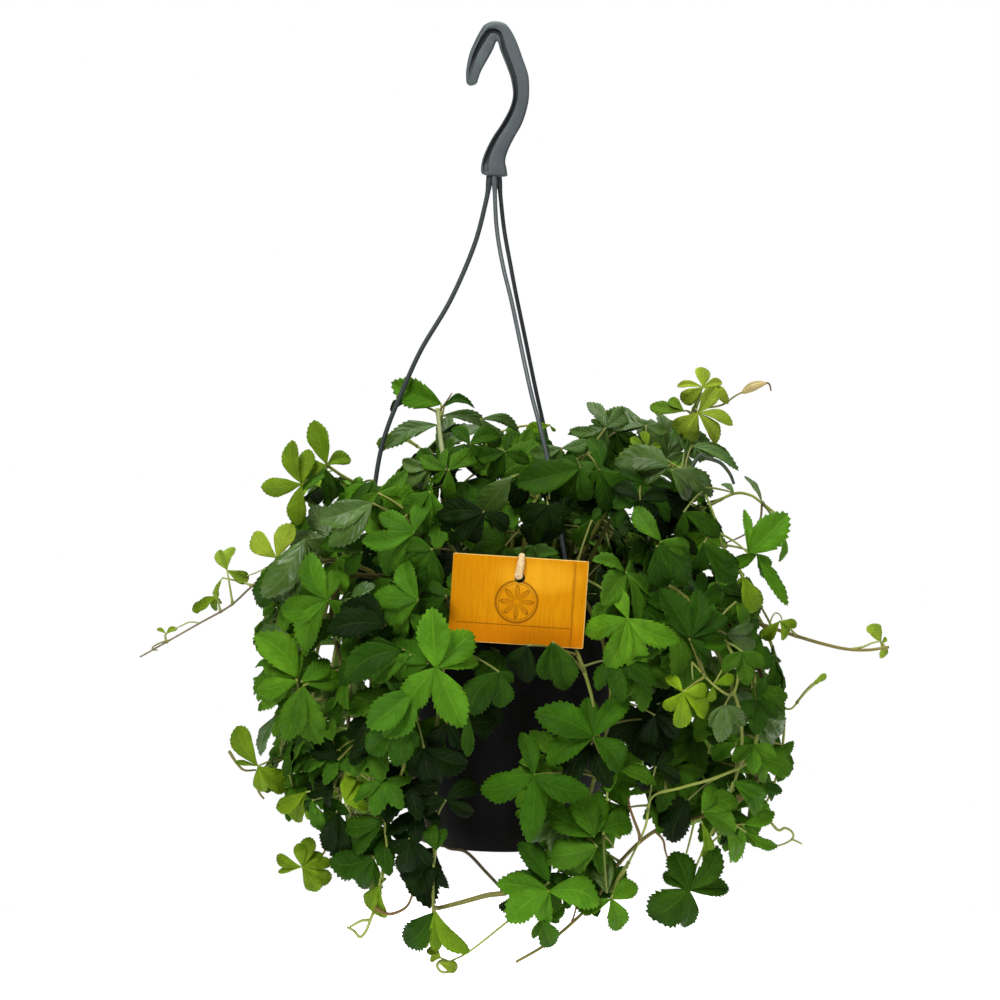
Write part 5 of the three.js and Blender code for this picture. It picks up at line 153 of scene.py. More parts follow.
    ("centre_right","B",0,(55.5,-99.1,-452),(29.2,-101.6,-444.5),(0.23,-0.85,0.48),[(7.1,-102.8,-439.1,0.26,-0.05),(11.8,-106.8,-459,0.23,0.1),(17.6,-91.8,-426.9,0.22,0.05),(27.8,-108.9,-459.8,0.21,0.1),(32.4,-88.4,-433.9,0.21,-0.05)]),
    ("centre_right_2","G",1,(62.7,-114.2,-429.5),(56.7,-127.2,-413.4),(0.1,-0.93,0.35),[(21.9,-127.2,-398.5,0.27,0.05),(29,-126.6,-429.6,0.26,0.1),(53.5,-112.8,-391.8,0.23,0),(79.4,-117.6,-390.4,0.2,-0.07),(73.2,-112,-436.2,0.27,-0.08)]),
    ("centre_right_2","D",1,(51.3,-116.4,-375.5),(32.4,-131.2,-356.5),(0.05,-0.94,0.33),[(42.2,-114.6,-386.7,0.25,0),(28.5,-117.5,-380.9,0.26,0)]),
    ("centre_right_2","K",1,(48.4,-114.5,-367.5),(17.7,-129.6,-358.5),(0.02,-0.94,0.33),[(17.9,-116,-382.9,0.24,0.05),(6.6,-118.4,-374.8,0.24,-0.05)]),
    ("centre_right_2","S",1,(63.4,-108,-475.6),(65.9,-107.1,-510.9),(0.13,-0.91,0.38),[(57.3,-91.2,-489.2,0.26,0.05)]),
    ("centre_right_2","K",0,(37.1,-102.2,-344.2),(39,-84,-337),(0.04,-0.86,0.5),[(66.3,-82.2,-345.8,0.26,0.1),(60.8,-70.8,-329.6,0.26,-0.05),(51.9,-93.3,-356.6,0.23,0.05),(41.6,-71,-321.6,0.23,0),(34.3,-92.8,-354.6,0.22,0.05)]),
    ("centre_right_2","D",0,(50.5,-116.2,-372.7),(69.9,-122.4,-368),(-0.02,-0.91,0.41),[(93.1,-124.9,-382.5,0.26,-0.05),(95.9,-116.4,-360.2,0.24,0),(74.5,-129.8,-392.3,0.21,0.05),(80.1,-112.3,-351,0.23,-0.1),(59,-126.1,-386.1,0.24,0.05)]),
    ("centre_right_2","M",0,(64.1,-108.6,-466.8),(55.4,-93.7,-478.1),(0.4,-0.71,0.58),[(72.3,-76.4,-481.9,0.23,-0.1),(62.9,-103.9,-500.8,0.21,0),(57.3,-79.7,-464.4,0.26,0),(42.3,-103.9,-489,0.25,0.05)]),
    ("centre_right_2","B",0,(63.4,-108,-475.6),(70.1,-88.5,-486.8),(0.51,-0.81,0.28),[(42.6,-99.7,-480,0.26,0.1),(55,-86,-465.4,0.24,0.1)]),
    ("front_crown","K",1,(31.2,-56.2,-270.2),(30.3,-104.3,-278.2),(0.06,-0.95,0.3),[(13.8,-93,-288.2,0.23,0.05),(44.8,-95.4,-283.2,0.23,0.1),(32.9,-91.7,-300.3,0.23,-0.05),(19.8,-88.7,-303.6,0.24,0.05)]),
    ("front_crown","D",1,(47.2,-56.6,-256.5),(49.4,-96.3,-256.9),(0.11,-0.95,0.3),[(10.2,-96.3,-266.4,0.24,-0.05),(27.7,-80.5,-272.5,0.24,-0.1),(38.9,-88.9,-251.5,0.26,0.05),(55.8,-84.2,-277,0.24,0.1)]),
    ("front_crown","D",1,(55.1,-56.2,-251.8),(61.6,-86,-258.9),(0.15,-0.94,0.31),[(44.1,-70.7,-278.2,0.23,0.05),(68.2,-71.8,-285.4,0.24,0),(81.4,-72.8,-270.8,0.22,0.1),(54.8,-73.7,-240.6,0.24,0.1)]),
    ("front_crown","S",1,(55.1,-56.2,-251.8),(66.5,-47.3,-236.2),(0.24,-0.92,0.31),[(55.2,-35.5,-221.1,0.2,0.05),(44.2,-33.8,-238.3,0.15,-0.1),(62,-36,-255.4,0.23,0.05),(81.5,-36.4,-225.9,0.27,0)]),
    ("front_crown","S",1,(31.2,-56.2,-270.2),(8.4,-103,-261.7),(0.01,-0.96,0.3),[(-10.1,-86.6,-283.4,0.25,-0.05)]),
    ("front_crown","K",1,(31.2,-56.2,-270.2),(31,-100.6,-275),(0.07,-0.95,0.3),[(29.4,-85.2,-302.2,0.14,0.1)]),
    ("front_crown","K",1,(33,-56.6,-267.7),(20.9,-96,-260.5),(0.04,-0.95,0.3),[(37.9,-82.3,-277.2,0.25,0),(9.1,-81.9,-282.1,0.26,0.05)]),
    ("front_crown","S",1,(34.9,-56.9,-265.2),(39.4,-63.4,-247.3),(0.14,-0.94,0.3),[(20.1,-51.7,-250.6,0.22,-0.1),(55.3,-53.5,-243.2,0.23,0.1),(31.1,-53.9,-261.4,0.22,-0.05)]),
    ("front_crown","M",0,(14.4,-33.4,-336.4),(28.4,-36.8,-322.9),(0.44,-0.59,0.68),[(49.7,-25.1,-336.6,0.24,0),(40.5,-12.5,-321.6,0.24,-0.1),(42.1,-43.8,-343.8,0.22,-0.05),(24.6,-20.2,-312.5,0.25,-0.05),(25.6,-47.8,-339,0.23,0.1)]),
    ("front_crown","D",0,(19.3,-50.8,-293.9),(5.2,-58.2,-307.4),(0.32,-0.85,0.42),[(-20.3,-70.9,-319.9,0.21,0.1),(-1.1,-68.7,-332.2,0.25,0.1),(-23.5,-56.2,-302.4,0.24,0.1),(15.3,-56.7,-327.9,0.23,0.05),(-6.4,-52.1,-290.9,0.23,0)]),
    ("front_crown","K",0,(52.5,-56.3,-253.4),(46.8,-56.9,-272.7),(-0.17,-0.57,0.8),[(75.4,-65.7,-276.7,0.25,0.1),(71.3,-45.6,-266.7,0.22,0.05),(59,-75.4,-287.2,0.21,-0.05),(52.9,-39.2,-264.9,0.26,-0.1),(38.5,-71.6,-286.2,0.24,0.1)]),
    ("front_crown","D",0,(33,-56.6,-267.7),(48.4,-62.4,-256.2),(0.18,-0.15,0.97),[(76.4,-72,-266.2,0.25,0.1),(68.1,-47.2,-266.5,0.21,0),(54.2,-87,-262.5,0.21,-0.05),(51,-43,-260.2,0.25,0.05),(36.2,-77.3,-262.4,0.21,0.05)]),
    ("front_crown","M",0,(24,-54.7,-280),(2.4,-58.4,-265.3),(-0.02,-0.92,0.39),[(25.6,-44.3,-245.3,0.24,0),(0.4,-40.7,-240.4,0.24,-0.05),(30.2,-56.7,-265.3,0.26,-0.05),(-16,-46.8,-256.7,0.25,0.05),(13.7,-60.5,-284.3,0.21,0.1)]),
    ("front_crown","D",0,(57.7,-56,-250.3),(63.9,-29.5,-248.2),(0.02,-0.98,0.21),[(52.2,-31.3,-272.1,0.26,0),(70.4,-32.7,-270.5,0.24,-0.1),(42.4,-23.9,-256.8,0.24,0.05),(80.6,-25,-256.1,0.22,-0.1),(48.9,-23.6,-240.4,0.23,0.05)]),
    ("front_crown","D",0,(57.7,-56,-250.3),(73.5,-27.7,-239.7),(0.22,-0.87,0.43),[(62.5,-32.2,-260.9,0.24,0.05),(81.3,-29.5,-262.1,0.22,0),(51.1,-30,-247.8,0.26,0.1),(89.8,-22.4,-248.5,0.25,0.1),(58,-22,-232.7,0.22,-0.05)]),
    ("front_left_crown","D",1,(-57.6,-96.6,-294.9),(-37.9,-127.9,-302.6),(-0.08,-0.95,0.31),[(-40.7,-113,-329.1,0.26,0),(-34.8,-112,-327.4,0.17,0),(-49.9,-117.9,-315.5,0.26,0),(-54,-118.4,-302.4,0.25,0.1)]),
    ("front_left_crown","K",1,(-32.9,-84.6,-291.2),(-7.5,-120.1,-281),(-0.03,-0.95,0.3),[(-36,-107.1,-284.5,0.24,0.05),(-33.7,-103.7,-296.8,0.26,-0.05),(-15.9,-107.1,-302.4,0.26,0.1),(6.6,-109.5,-292.6,0.25,-0.05)]),
    ("front_left_crown","M",1,(-56,-96.1,-292.3),(-48.7,-119.2,-293.4),(-0.11,-0.94,0.31),[(-69.8,-105.2,-283.5,0.22,0),(-80.2,-111,-299,0.19,-0.1),(-65.8,-104.5,-321.1,0.24,0.1),(-58.5,-107.8,-311.2,0.21,0.1),(-39.5,-106.9,-276.2,0.23,-0.1)]),
    ("front_left_crown","M",1,(-49.6,-94.2,-282),(-39.4,-111.8,-269.9),(-0.1,-0.95,0.3),[(-46.9,-96.2,-296.3,0.24,0),(-55.1,-100.1,-282.8,0.25,0),(-31.4,-100,-288.8,0.27,0.1)]),
    ("front_left_crown","S",1,(-54.4,-95.6,-289.8),(-74,-101,-277.4),(-0.17,-0.93,0.32),[(-106.1,-101,-287.5,0.24,-0.05),(-100.3,-101,-303,0.23,-0.1),(-85.4,-88.1,-297.1,0.24,0)]),
    ("front_left_crown","B",1,(-51.2,-94.7,-284.6),(-70.8,-92.7,-272.1),(-0.18,-0.93,0.31),[(-47.3,-78.4,-275.1,0.27,0.1),(-58.6,-82.3,-285,0.23,-0.1),(-81.9,-84.3,-281.8,0.26,0)]),
    ("front_left_crown","K",0,(-24.8,-70.9,-310.9),(-12.9,-61.8,-324.1),(-0.47,-0.41,0.78),[(2.2,-87.3,-335.7,0.26,-0.05),(13.3,-71.2,-320.8,0.23,-0.1),(-21.6,-82.2,-345.4,0.25,-0.1),(4.7,-55.6,-312.6,0.2,0.05),(-28.6,-62.3,-339.4,0.23,0.05)]),
    ("front_left_crown","D",0,(-25.8,-72.6,-308.5),(-44.9,-61.7,-309.3),(-0.27,-0.84,0.47),[(-76.3,-52.1,-317,0.21,-0.1),(-63.4,-62,-334.2,0.23,-0.1),(-62.9,-39.9,-300.8,0.22,0),(-38.9,-73.5,-330.2,0.26,-0.05),(-40.8,-46.5,-292.6,0.21,0.1)]),
    ("front_left_crown","M",0,(-51.2,-94.7,-284.6),(-32,-91.9,-285),(0.06,-0.44,0.9),[(-15.2,-111.8,-304.3,0.26,-0.05),(-3.6,-95.4,-293,0.26,0.05),(-36.2,-114.7,-303.5,0.23,0),(-18.8,-73.5,-281.9,0.25,0.1),(-53.3,-96.1,-292.2,0.21,-0.05)]),
    ("front_left_crown","M",0,(-49.6,-94.2,-282),(-70.8,-72.6,-274.3),(-0.2,-0.96,0.2),[(-47.8,-75.6,-275.8,0.25,0.1),(-54,-70,-260.8,0.22,0.1),(-56.2,-75.8,-290.5,0.21,0.1),(-74.2,-70.8,-290.6,0.21,0.1)]),
    ("label_shoot","B",1,(70,-106,-334),(77,-129.4,-343.1),(0.12,-0.94,0.33),[(65.6,-116.1,-325.8,0.22,0.05),(51.5,-115,-352.7,0.23,-0.05),(64.9,-123.9,-374.6,0.23,-0.05),(86.3,-120,-374,0.26,0.1),(107.5,-129.4,-356.1,0.23,0.1)]),
    ("label_shoot","D",1,(45.5,-110.3,-318.9),(56.5,-101.6,-287.4),(0.12,-0.94,0.31),[(49.1,-90.6,-305.3,0.25,0.1),(61.4,-96.5,-280.7,0.26,0)]),
    ("label_shoot","D",0,(-1.8,-101.4,-315.9),(-2.7,-85.9,-329.9),(0.14,-0.82,0.56),[(9.8,-94,-355.5,0.26,-0.1),(20.4,-80.6,-342.2,0.26,0.1),(-11,-95.3,-356.5,0.21,0),(14.8,-74.3,-321.6,0.25,0),(-24.2,-87.9,-336.5,0.21,-0.05)]),
    ("label_shoot","D",0,(65.2,-106.9,-330.8),(84.1,-108.2,-333.3),(0.46,-0.67,0.58),[(103.6,-102.9,-359.5,0.21,0),(106.1,-89.3,-340.9,0.25,0.1),(85,-118.6,-359.6,0.23,0),(87.8,-88.6,-320.4,0.22,0),(64.5,-118.9,-343.4,0.25,0.05)]),
    ("left_back","D",0,(-80.6,14,-327.8),(-94.9,3.9,-315.3),(-0.72,-0.22,0.66),[(-106.2,-11.2,-346.9,0.22,0),(-95.2,-25.9,-328.4,0.22,-0.05),(-109.9,14.1,-341.6,0.22,0),(-78.3,-15.4,-310.1,0.25,-0.1),(-100.5,29,-320.9,0.23,0.05)]),
    ("left_back","M",0,(-86.5,13.2,-326.1),(-101.8,21.7,-315.1),(-0.86,0.4,0.31),[(-86.5,46.1,-333.2,0.21,0.05),(-101.5,26.1,-345.5,0.25,0),(-81.8,42.5,-302.8,0.26,0),(-91.1,23.5,-294,0.25,0.05)]),
    ("left_back","D",0,(-131.6,3.4,-344.3),(-134.9,-5.8,-327.2),(-0.72,-0.02,0.7),[(-140.2,-28,-341.4,0.22,0),(-127.4,-28.2,-323.1,0.26,0.1),(-150.1,-9.8,-349.4,0.22,-0.05),(-120.5,-13.6,-317.9,0.26,0.05),(-142.2,6.3,-339.7,0.24,0.05)]),
    ("left_back","B",0,(-134.3,2.3,-349.6),(-147.2,12,-361.4),(-0.92,0.29,0.27),[(-142.3,31.8,-379.3,0.23,0.1),(-147.3,14.2,-386,0.23,0),(-131.9,34,-363.3,0.26,0),(-150.7,-1.1,-374.3,0.23,0.1),(-135.3,17,-346.9,0.25,-0.1)]),
    ("left_back","M",0,(-138.6,-2.5,-373.4),(-141.4,-2.3,-393.5),(-0.88,-0.34,0.34),[(-137.3,-15.7,-411.2,0.22,0.05),(-151.9,15.9,-408.1,0.21,-0.1),(-130.1,-17.4,-391.3,0.26,-0.05),(-143.3,16.4,-388,0.24,0.05)]),
    ("left_back","K",0,(-132.8,-13.1,-421),(-135.3,-9.2,-441.5),(-0.6,0.4,0.7),[(-144.4,11.3,-463.4,0.24,0),(-124,15.1,-449.2,0.22,-0.1),(-116.4,-3.5,-430.4,0.24,-0.1)]),
    ("left_back","D",0,(-114.1,-27,-474.7),(-127.1,-14.1,-466.6),(-0.91,-0.1,0.41),[(-132.8,5.6,-483.2,0.2,-0.1),(-126.4,10.5,-464.6,0.19,0),(-128.1,-29.8,-481.6,0.21,-0.05),(-117.5,-0.5,-453.8,0.22,-0.05)]),
    ("left_back","M",0,(-137.6,-6.2,-391.4),(-136.7,-26.5,-387.5),(-0.3,-0.79,0.54),[(-110.7,-37.7,-399.7,0.22,-0.05),(-110.2,-22.2,-379.2,0.21,0.05),(-131.6,-42.2,-410.5,0.23,-0.1),(-129.9,-13.4,-371,0.21,0),(-150.6,-23.7,-402.2,0.25,-0.1)]),
    ("left_back","M",0,(-121,-22.4,-454.8),(-123.7,-46.5,-449.8),(-0.13,-0.87,0.48),[(-105.1,-52,-470.9,0.24,-0.1),(-96.4,-42.5,-453.5,0.24,0.1),(-127.1,-55.5,-475.1,0.26,-0.1),(-109.1,-39.3,-435.4,0.21,-0.05),(-143.2,-47.6,-460.4,0.23,0.05)]),
    ("left_crown","M",1,(-33.2,-21.6,-273.3),(-28.9,-68.3,-260.3),(-0.13,-0.94,0.3),[(-9,-55.6,-253.9,0.24,-0.1),(-17.5,-58.6,-249.5,0.19,-0.1),(-27.2,-56.3,-281.3,0.2,0)]),
    ("left_crown","M",1,(-33.2,-21.6,-273.3),(-30.8,-63.4,-260.6),(-0.14,-0.94,0.3),[(-46.7,-52.7,-252.9,0.22,-0.05),(-40,-56.4,-268.5,0.2,-0.1),(-30.3,-55.4,-247.9,0.18,-0.1)]),
    ("left_crown","S",1,(-33.2,-21.6,-273.3),(-40.5,-57.9,-259.9),(-0.18,-0.93,0.31),[(-61.6,-44.2,-270.7,0.22,-0.05),(-57.8,-47.3,-255.8,0.22,-0.1),(-48.1,-48.7,-274,0.2,-0.1)]),
    ("left_crown","K",1,(-34.2,-10.3,-255.7),(-34.3,-30.8,-241),(-0.25,-0.92,0.31),[(-17.2,-20.2,-245.4,0.14,-0.25)]),
    ("left_crown","S",1,(-34.2,-10.3,-255.7),(-37,-18.9,-236.2),(-0.31,-0.89,0.33),[(-69.2,-18.9,-251.1,0.17,0.1)]),
    ("left_crown","S",1,(-34.3,-8.7,-253.2),(-34.7,-10.7,-231.2),(-0.34,-0.88,0.34),[(-4.3,1.7,-243.2,0.12,-0.15)]),
    ("left_crown","D",1,(-34.7,-5.5,-248.2),(-33,0.9,-226.2),(-0.38,-0.85,0.37),[(-13.8,12.5,-227.6,0.14,-0.24)]),
    ("left_crown","B",1,(-35.3,-2.4,-243.1),(-35,8.4,-224.8),(-0.4,-0.83,0.39),[(-66.3,8.4,-211,0.27,-0.05)]),
    ("left_crown","K",1,(-36.6,5.4,-230.4),(-55.8,13.5,-223.8),(-0.39,-0.83,0.4),[(-67.4,21.1,-229.9,0.18,0.1)]),
    ("left_crown","K",0,(-33.6,-16.8,-265.8),(-42.1,-0.5,-252.6),(-0.49,0.16,0.85),[(-54.9,22.8,-269.5,0.21,0),(-63,2.8,-275,0.25,0.05),(-36.8,27.5,-257.1,0.23,-0.1),(-55.4,-18.2,-261.5,0.14,0.05),(-23.2,11.1,-249.8,0.22,0)]),
    ("left_crown","M",0,(-31.3,-24.9,-313.9),(-47.2,-24.5,-325.8),(-0.83,0.04,0.56),[(-41.8,-55.1,-331.1,0.21,0),(-34.6,-44.2,-313.9,0.23,-0.05),(-54.2,-44.4,-343.6,0.25,0),(-31.2,-18.4,-314,0.25,0),(-55.9,-16.5,-345.5,0.18,-0.05)]),
    ("left_crown","K",0,(-31.3,-24.9,-313.9),(-60.2,-35.1,-315.2),(-0.34,-0.78,0.52),[(-86.3,-29,-338.5,0.23,0.1),(-67.9,-47.1,-341.5,0.26,0.05),(-86.9,-15.6,-314.8,0.22,0.1),(-47.2,-43.3,-333.3,0.25,0.05),(-66.6,-18.2,-299.6,0.25,0.1)]),
    ("left_crown","M",0,(-33,-22.2,-276.2),(-39.7,-41.9,-272.9),(-0.68,-0.01,0.73),[(-39.2,-71.7,-276,0.24,0.1),(-53.4,-58.1,-290.3,0.26,0.05),(-21.4,-35.1,-262.5,0.14,0.05),(-51,-35.2,-291.2,0.21,0.05)]),
    ("left_crown","S",0,(-33.3,-20,-270.8),(-35.1,-30.1,-253.6),(-0.25,-0.76,0.59),[(-9.3,-21.2,-237,0.24,-0.1),(-30,-11.2,-231.3,0.21,0.05),(-6.9,-32.5,-258.4,0.21,-0.05),(-24.3,-38.6,-271.7,0.21,0.1)]),
    ("left_crown","D",0,(-33.2,-21.6,-273.3),(-35.1,-47,-260.2),(-0.48,-0.73,0.48),[(-29.6,-30.1,-244,0.26,0.1),(-47.7,-30.4,-250.7,0.23,-0.05),(-14.9,-43.5,-246.7,0.25,0.1),(-47.4,-38.9,-269.7,0.22,-0.05)]),
    ("left_front","G",1,(-75.8,-99.2,-396.6),(-59.2,-131,-401.5),(-0.11,-0.93,0.35),[(-46.6,-118.1,-420.8,0.24,0.1),(-59,-121.5,-432.2,0.25,-0.1),(-77.6,-115.1,-423.7,0.25,-0.1)]),
    ("left_front","M",1,(-63.5,-88.8,-340),(-46.1,-129.6,-331.9),(-0.1,-0.94,0.32),[(-73.1,-115.5,-331.8,0.23,0),(-66,-115.4,-347.2,0.25,0),(-54.1,-114.7,-309.9,0.24,-0.1)]),
    ("left_front","M",1,(-65.8,-90.7,-345.6),(-52.1,-125.5,-339.5),(-0.11,-0.94,0.33),[(-66.5,-116.7,-336.4,0.22,0),(-56,-115.4,-357.4,0.23,0.05),(-40.6,-116.5,-350.1,0.26,0.1)]),
    ("left_front","K",1,(-70.4,-94.7,-356.7),(-65.7,-123.7,-347.4),(-0.13,-0.93,0.33),[(-100.5,-123.7,-350.9,0.26,0.05),(-92.8,-110.9,-337.7,0.27,0.05),(-79.8,-110.3,-331.2,0.25,-0.05)]),
    ("left_front","D",1,(-87.2,-86.3,-466.2),(-67.4,-104.6,-467.2),(-0.15,-0.91,0.37),[(-93.3,-89.3,-473.7,0.21,-0.1),(-88.6,-87.4,-490.6,0.27,0.05)]),
    ("left_front","Y",1,(-86.6,-85.6,-469.3),(-90.7,-103.7,-457),(-0.18,-0.91,0.38),[(-78.5,-93.2,-446.8,0.27,0),(-85.7,-93.4,-442.5,0.23,-0.1),(-77.3,-95.2,-461.6,0.24,-0.05)]),
    ("left_front","D",1,(-82.6,-82.2,-487.5),(-73.6,-101.9,-490.7),(-0.17,-0.91,0.38),[(-101.4,-86,-496.4,0.28,-0.1),(-81.3,-89.8,-512.1,0.27,0.05)]),
    ("left_front","K",1,(-77.6,-97.5,-415.4),(-94.9,-100.8,-431.6),(-0.19,-0.91,0.37),[(-111.7,-88.2,-420.3,0.3,0),(-111,-91.3,-430.7,0.18,0.1)]),
    ("left_front","M",1,(-86.6,-88.9,-454.4),(-111.2,-90.2,-457.7),(-0.22,-0.89,0.39),[(-103,-77.3,-479.7,0.18,0.05),(-111.1,-83.2,-470.6,0.19,-0.1)]),
    ("left_front","M",0,(-65.8,-90.7,-345.6),(-61.2,-84.3,-326.1),(-0.67,-0.51,0.54),[(-51.7,-113.6,-346.5,0.2,-0.1),(-31.7,-102.6,-325.1,0.22,0.1),(-71.5,-92.7,-355.8,0.25,-0.05),(-42,-82,-309.5,0.24,0),(-77.7,-69.3,-341.4,0.25,0.05)]),
    ("left_front","D",0,(-73.3,-97.5,-368.4),(-86,-99.2,-353.2),(-0.42,-0.51,0.76),[(-79.7,-118.6,-375.3,0.23,0.05),(-113.6,-88.5,-370.3,0.26,0.1),(-61.5,-108.7,-355.7,0.21,0),(-97.3,-75.9,-348.6,0.21,0.1)]),
    ("left_front","D",0,(-74.2,-98.7,-377.8),(-71.2,-116,-367.9),(-0.39,-0.76,0.51),[(-52.1,-130.3,-387.2,0.23,-0.1),(-92.8,-109.5,-386.6,0.25,0.1),(-50.5,-121,-365.5,0.25,0.1),(-86.3,-98.8,-363.7,0.26,0.05)]),
    ("left_front","M",0,(-77.6,-97.5,-415.4),(-103.1,-89.7,-411.7),(-0.57,-0.18,0.8),[(-124.6,-80.6,-438.5,0.22,0.1),(-119.9,-107.5,-429.7,0.22,0.1),(-114.7,-61.7,-417.8,0.22,0.05),(-97.6,-113.2,-417.5,0.24,-0.05)]),
    ("left_front","M",0,(-78.1,-96.8,-418.5),(-96,-93.9,-427.1),(-0.3,-0.76,0.58),[(-116.5,-87.9,-440.4,0.23,-0.05),(-103.4,-98.4,-447.3,0.21,-0.1),(-114.5,-81,-423,0.23,0),(-84.7,-101,-439,0.26,0.05),(-91.6,-80.5,-416.8,0.25,0)]),
    ("left_lime","O",1,(-103.3,-40,-260),(-117.3,-71.5,-268.5),(-0.25,-0.91,0.34),[(-142.1,-71.5,-270.3,0.25,-0.05),(-123.2,-71.5,-241.9,0.2,-0.1),(-120.5,-71.5,-293.9,0.24,0.05),(-113.5,-64,-247.9,0.24,0)]),
    ("left_lime","M",1,(-103.3,-40,-260),(-119.3,-69.1,-273.5),(-0.26,-0.91,0.34),[(-103.8,-55,-257.6,0.18,0.1),(-126.6,-60.8,-286.4,0.2,-0.1)]),
    ("left_lime","D",1,(-103.3,-40,-260),(-103.2,-65.2,-259.9),(-0.25,-0.91,0.33),[(-100.3,-53.3,-280.3,0.21,-0.05),(-92.3,-54.4,-274.8,0.17,0.1)]),
    ("left_lime","O",1,(-103.3,-40,-260),(-102.6,-65.1,-257.5),(-0.25,-0.91,0.33),[(-110.3,-65.1,-230.3,0.25,0),(-118.3,-56,-260,0.35,-0.1),(-88.5,-56.1,-254.5,0.3,-0.1)]),
    ("left_lime","D",0,(-47.3,-12,-308.5),(-51,-2.4,-327.9),(-0.84,0.2,0.51),[(-54.2,-33.5,-326.4,0.23,0),(-35.7,-20.7,-310.5,0.2,-0.05),(-58.6,-20.7,-346.9,0.18,0.05),(-35.2,-2.4,-314.3,0.24,0.05),(-58.3,-0.2,-347,0.22,0.05)]),
    ("left_lime","B",0,(-49.2,-16,-301.2),(-62.8,2.2,-297.8),(-0.68,0.2,0.71),[(-84.5,-2.4,-326.6,0.21,-0.1),(-79.2,-22.3,-311.1,0.23,-0.1),(-76.8,21.2,-322.3,0.25,-0.1),(-61.9,-21.4,-292.6,0.21,0.1),(-54.8,23.9,-305,0.26,0)]),
    ("left_lime","M",0,(-86.4,-35.7,-270.4),(-67,-34.2,-275.4),(-0.22,0.12,0.97),[(-78.8,-65.5,-278.5,0.21,0.1),(-51.3,-60,-275.1,0.21,0.1),(-96.4,-42.5,-288.1,0.18,-0.1),(-44,-40.5,-273,0.18,0),(-87.2,-24.1,-285.5,0.25,-0.05)]),
    ("left_lime","K",0,(-93.6,-37.6,-265.9),(-107.2,-26.1,-274.7),(-0.64,-0.03,0.76),[(-125.9,-16.1,-300.6,0.24,0),(-122.7,-39.1,-297.1,0.21,0.1),(-114.4,0.8,-286.5,0.21,-0.1),(-108.2,-51.1,-282,0.26,-0.1),(-98.2,-4.2,-272.5,0.23,-0.05)]),
    ("left_lime","D",0,(-83.9,-35.1,-271.9),(-74.7,-62.6,-267.1),(-0.43,-0.51,0.74),[(-88.7,-70.4,-285.5,0.21,-0.1),(-70.9,-81.1,-281.3,0.26,0.1)]),
    ("left_lime","B",0,(-83.9,-35.1,-271.9),(-76.9,-57.2,-270.7),(-0.49,-0.63,0.6),[(-98.5,-47.5,-284.3,0.25,0),(-88.1,-62.2,-290.1,0.24,-0.05),(-89.2,-35.9,-270.5,0.16,-0.1),(-69.2,-70.1,-280.3,0.21,0)]),
    ("left_lime","B",0,(-81.5,-34.5,-273.3),(-78.8,-60.6,-284.9),(-0.27,-0.83,0.48),[(-56.9,-54.8,-269,0.24,0.1),(-54.4,-65.3,-288.3,0.22,0.1),(-91.7,-44.9,-278.3,0.26,0.1),(-70.9,-69.8,-301.1,0.22,0.1)]),
    ("left_mid","B",1,(-98.1,-80.9,-339.2),(-100.8,-105.5,-334.8),(-0.19,-0.92,0.34),[(-129.5,-94.6,-342.7,0.27,-0.1),(-113.8,-99.9,-366.6,0.23,0.1),(-111.7,-99,-306.8,0.26,-0.1),(-98.3,-94.6,-318,0.25,0.1),(-84.8,-93.6,-347,0.22,0)]),
    ("left_mid","O",1,(-110,-59,-496.2),(-118,-80.7,-500.5),(-0.23,-0.88,0.41),[(-133.8,-70.6,-495.1,0.19,-0.1),(-120.3,-71.8,-487.5,0.26,0.05),(-113.8,-69.3,-484.3,0.26,0.05),(-106.4,-71.8,-493.7,0.23,0),(-100.5,-69.9,-509.5,0.23,0.1),(-109.7,-70,-518.1,0.26,-0.05),(-100.3,-72,-499.2,0.2,0),(-133.1,-74,-505,0.12,0)]),
    ("left_mid","K",1,(-90,-84.5,-418.9),(-74.2,-110.4,-425.1),(-0.16,-0.92,0.36),[(-88.3,-101.4,-432.7,0.28,0.05),(-82.8,-104.3,-420.1,0.21,-0.05)]),
    ("left_mid","D",1,(-85.5,-72.5,-327.1),(-80,-103.7,-306.3),(-0.17,-0.93,0.33),[(-105.7,-88.6,-303.7,0.25,0.1),(-98.4,-90,-293.3,0.23,0.1),(-90.6,-93.8,-320.5,0.24,-0.05)]),
    ("left_mid","M",1,(-92,-86.6,-381.6),(-115.5,-102,-386.8),(-0.21,-0.91,0.36),[(-126.4,-102,-420.5,0.25,-0.05),(-105,-102,-422.3,0.25,0.05)]),
    ("left_mid","D",1,(-89.3,-85.5,-413.2),(-90.6,-100.5,-396.6),(-0.19,-0.91,0.36),[(-103.6,-92.2,-403.9,0.25,0.1),(-96.5,-90.6,-413.9,0.25,0.1)]),
    ("left_mid","B",1,(-92.7,-86.3,-378.7),(-116.8,-99.7,-384.7),(-0.21,-0.91,0.37),[(-90.7,-86.2,-386.6,0.23,0),(-100.2,-86.6,-373.3,0.26,0.1)]),
    ("left_mid","K",1,(-91.6,-82,-433.2),(-97.7,-95.4,-449.4),(-0.2,-0.9,0.38),[(-115.1,-85.1,-454.9,0.28,0.05),(-107.6,-88.2,-443.4,0.26,0),(-100.5,-88,-463,0.19,0.1)]),
    ("left_mid","K",1,(-98.1,-70.7,-468.7),(-96.1,-92.6,-464.6),(-0.2,-0.9,0.39),[(-104.8,-77.9,-490.6,0.2,-0.1),(-95.6,-81.7,-499.7,0.21,-0.05),(-91.8,-82.7,-482.3,0.21,-0.05)]),
    ("left_mid","O",1,(-94.8,-76.5,-452.6),(-114.9,-88.5,-453.1),(-0.22,-0.89,0.39),[(-133.6,-80.3,-464.4,0.24,-0.1),(-121.8,-77,-473.6,0.26,0.1)]),
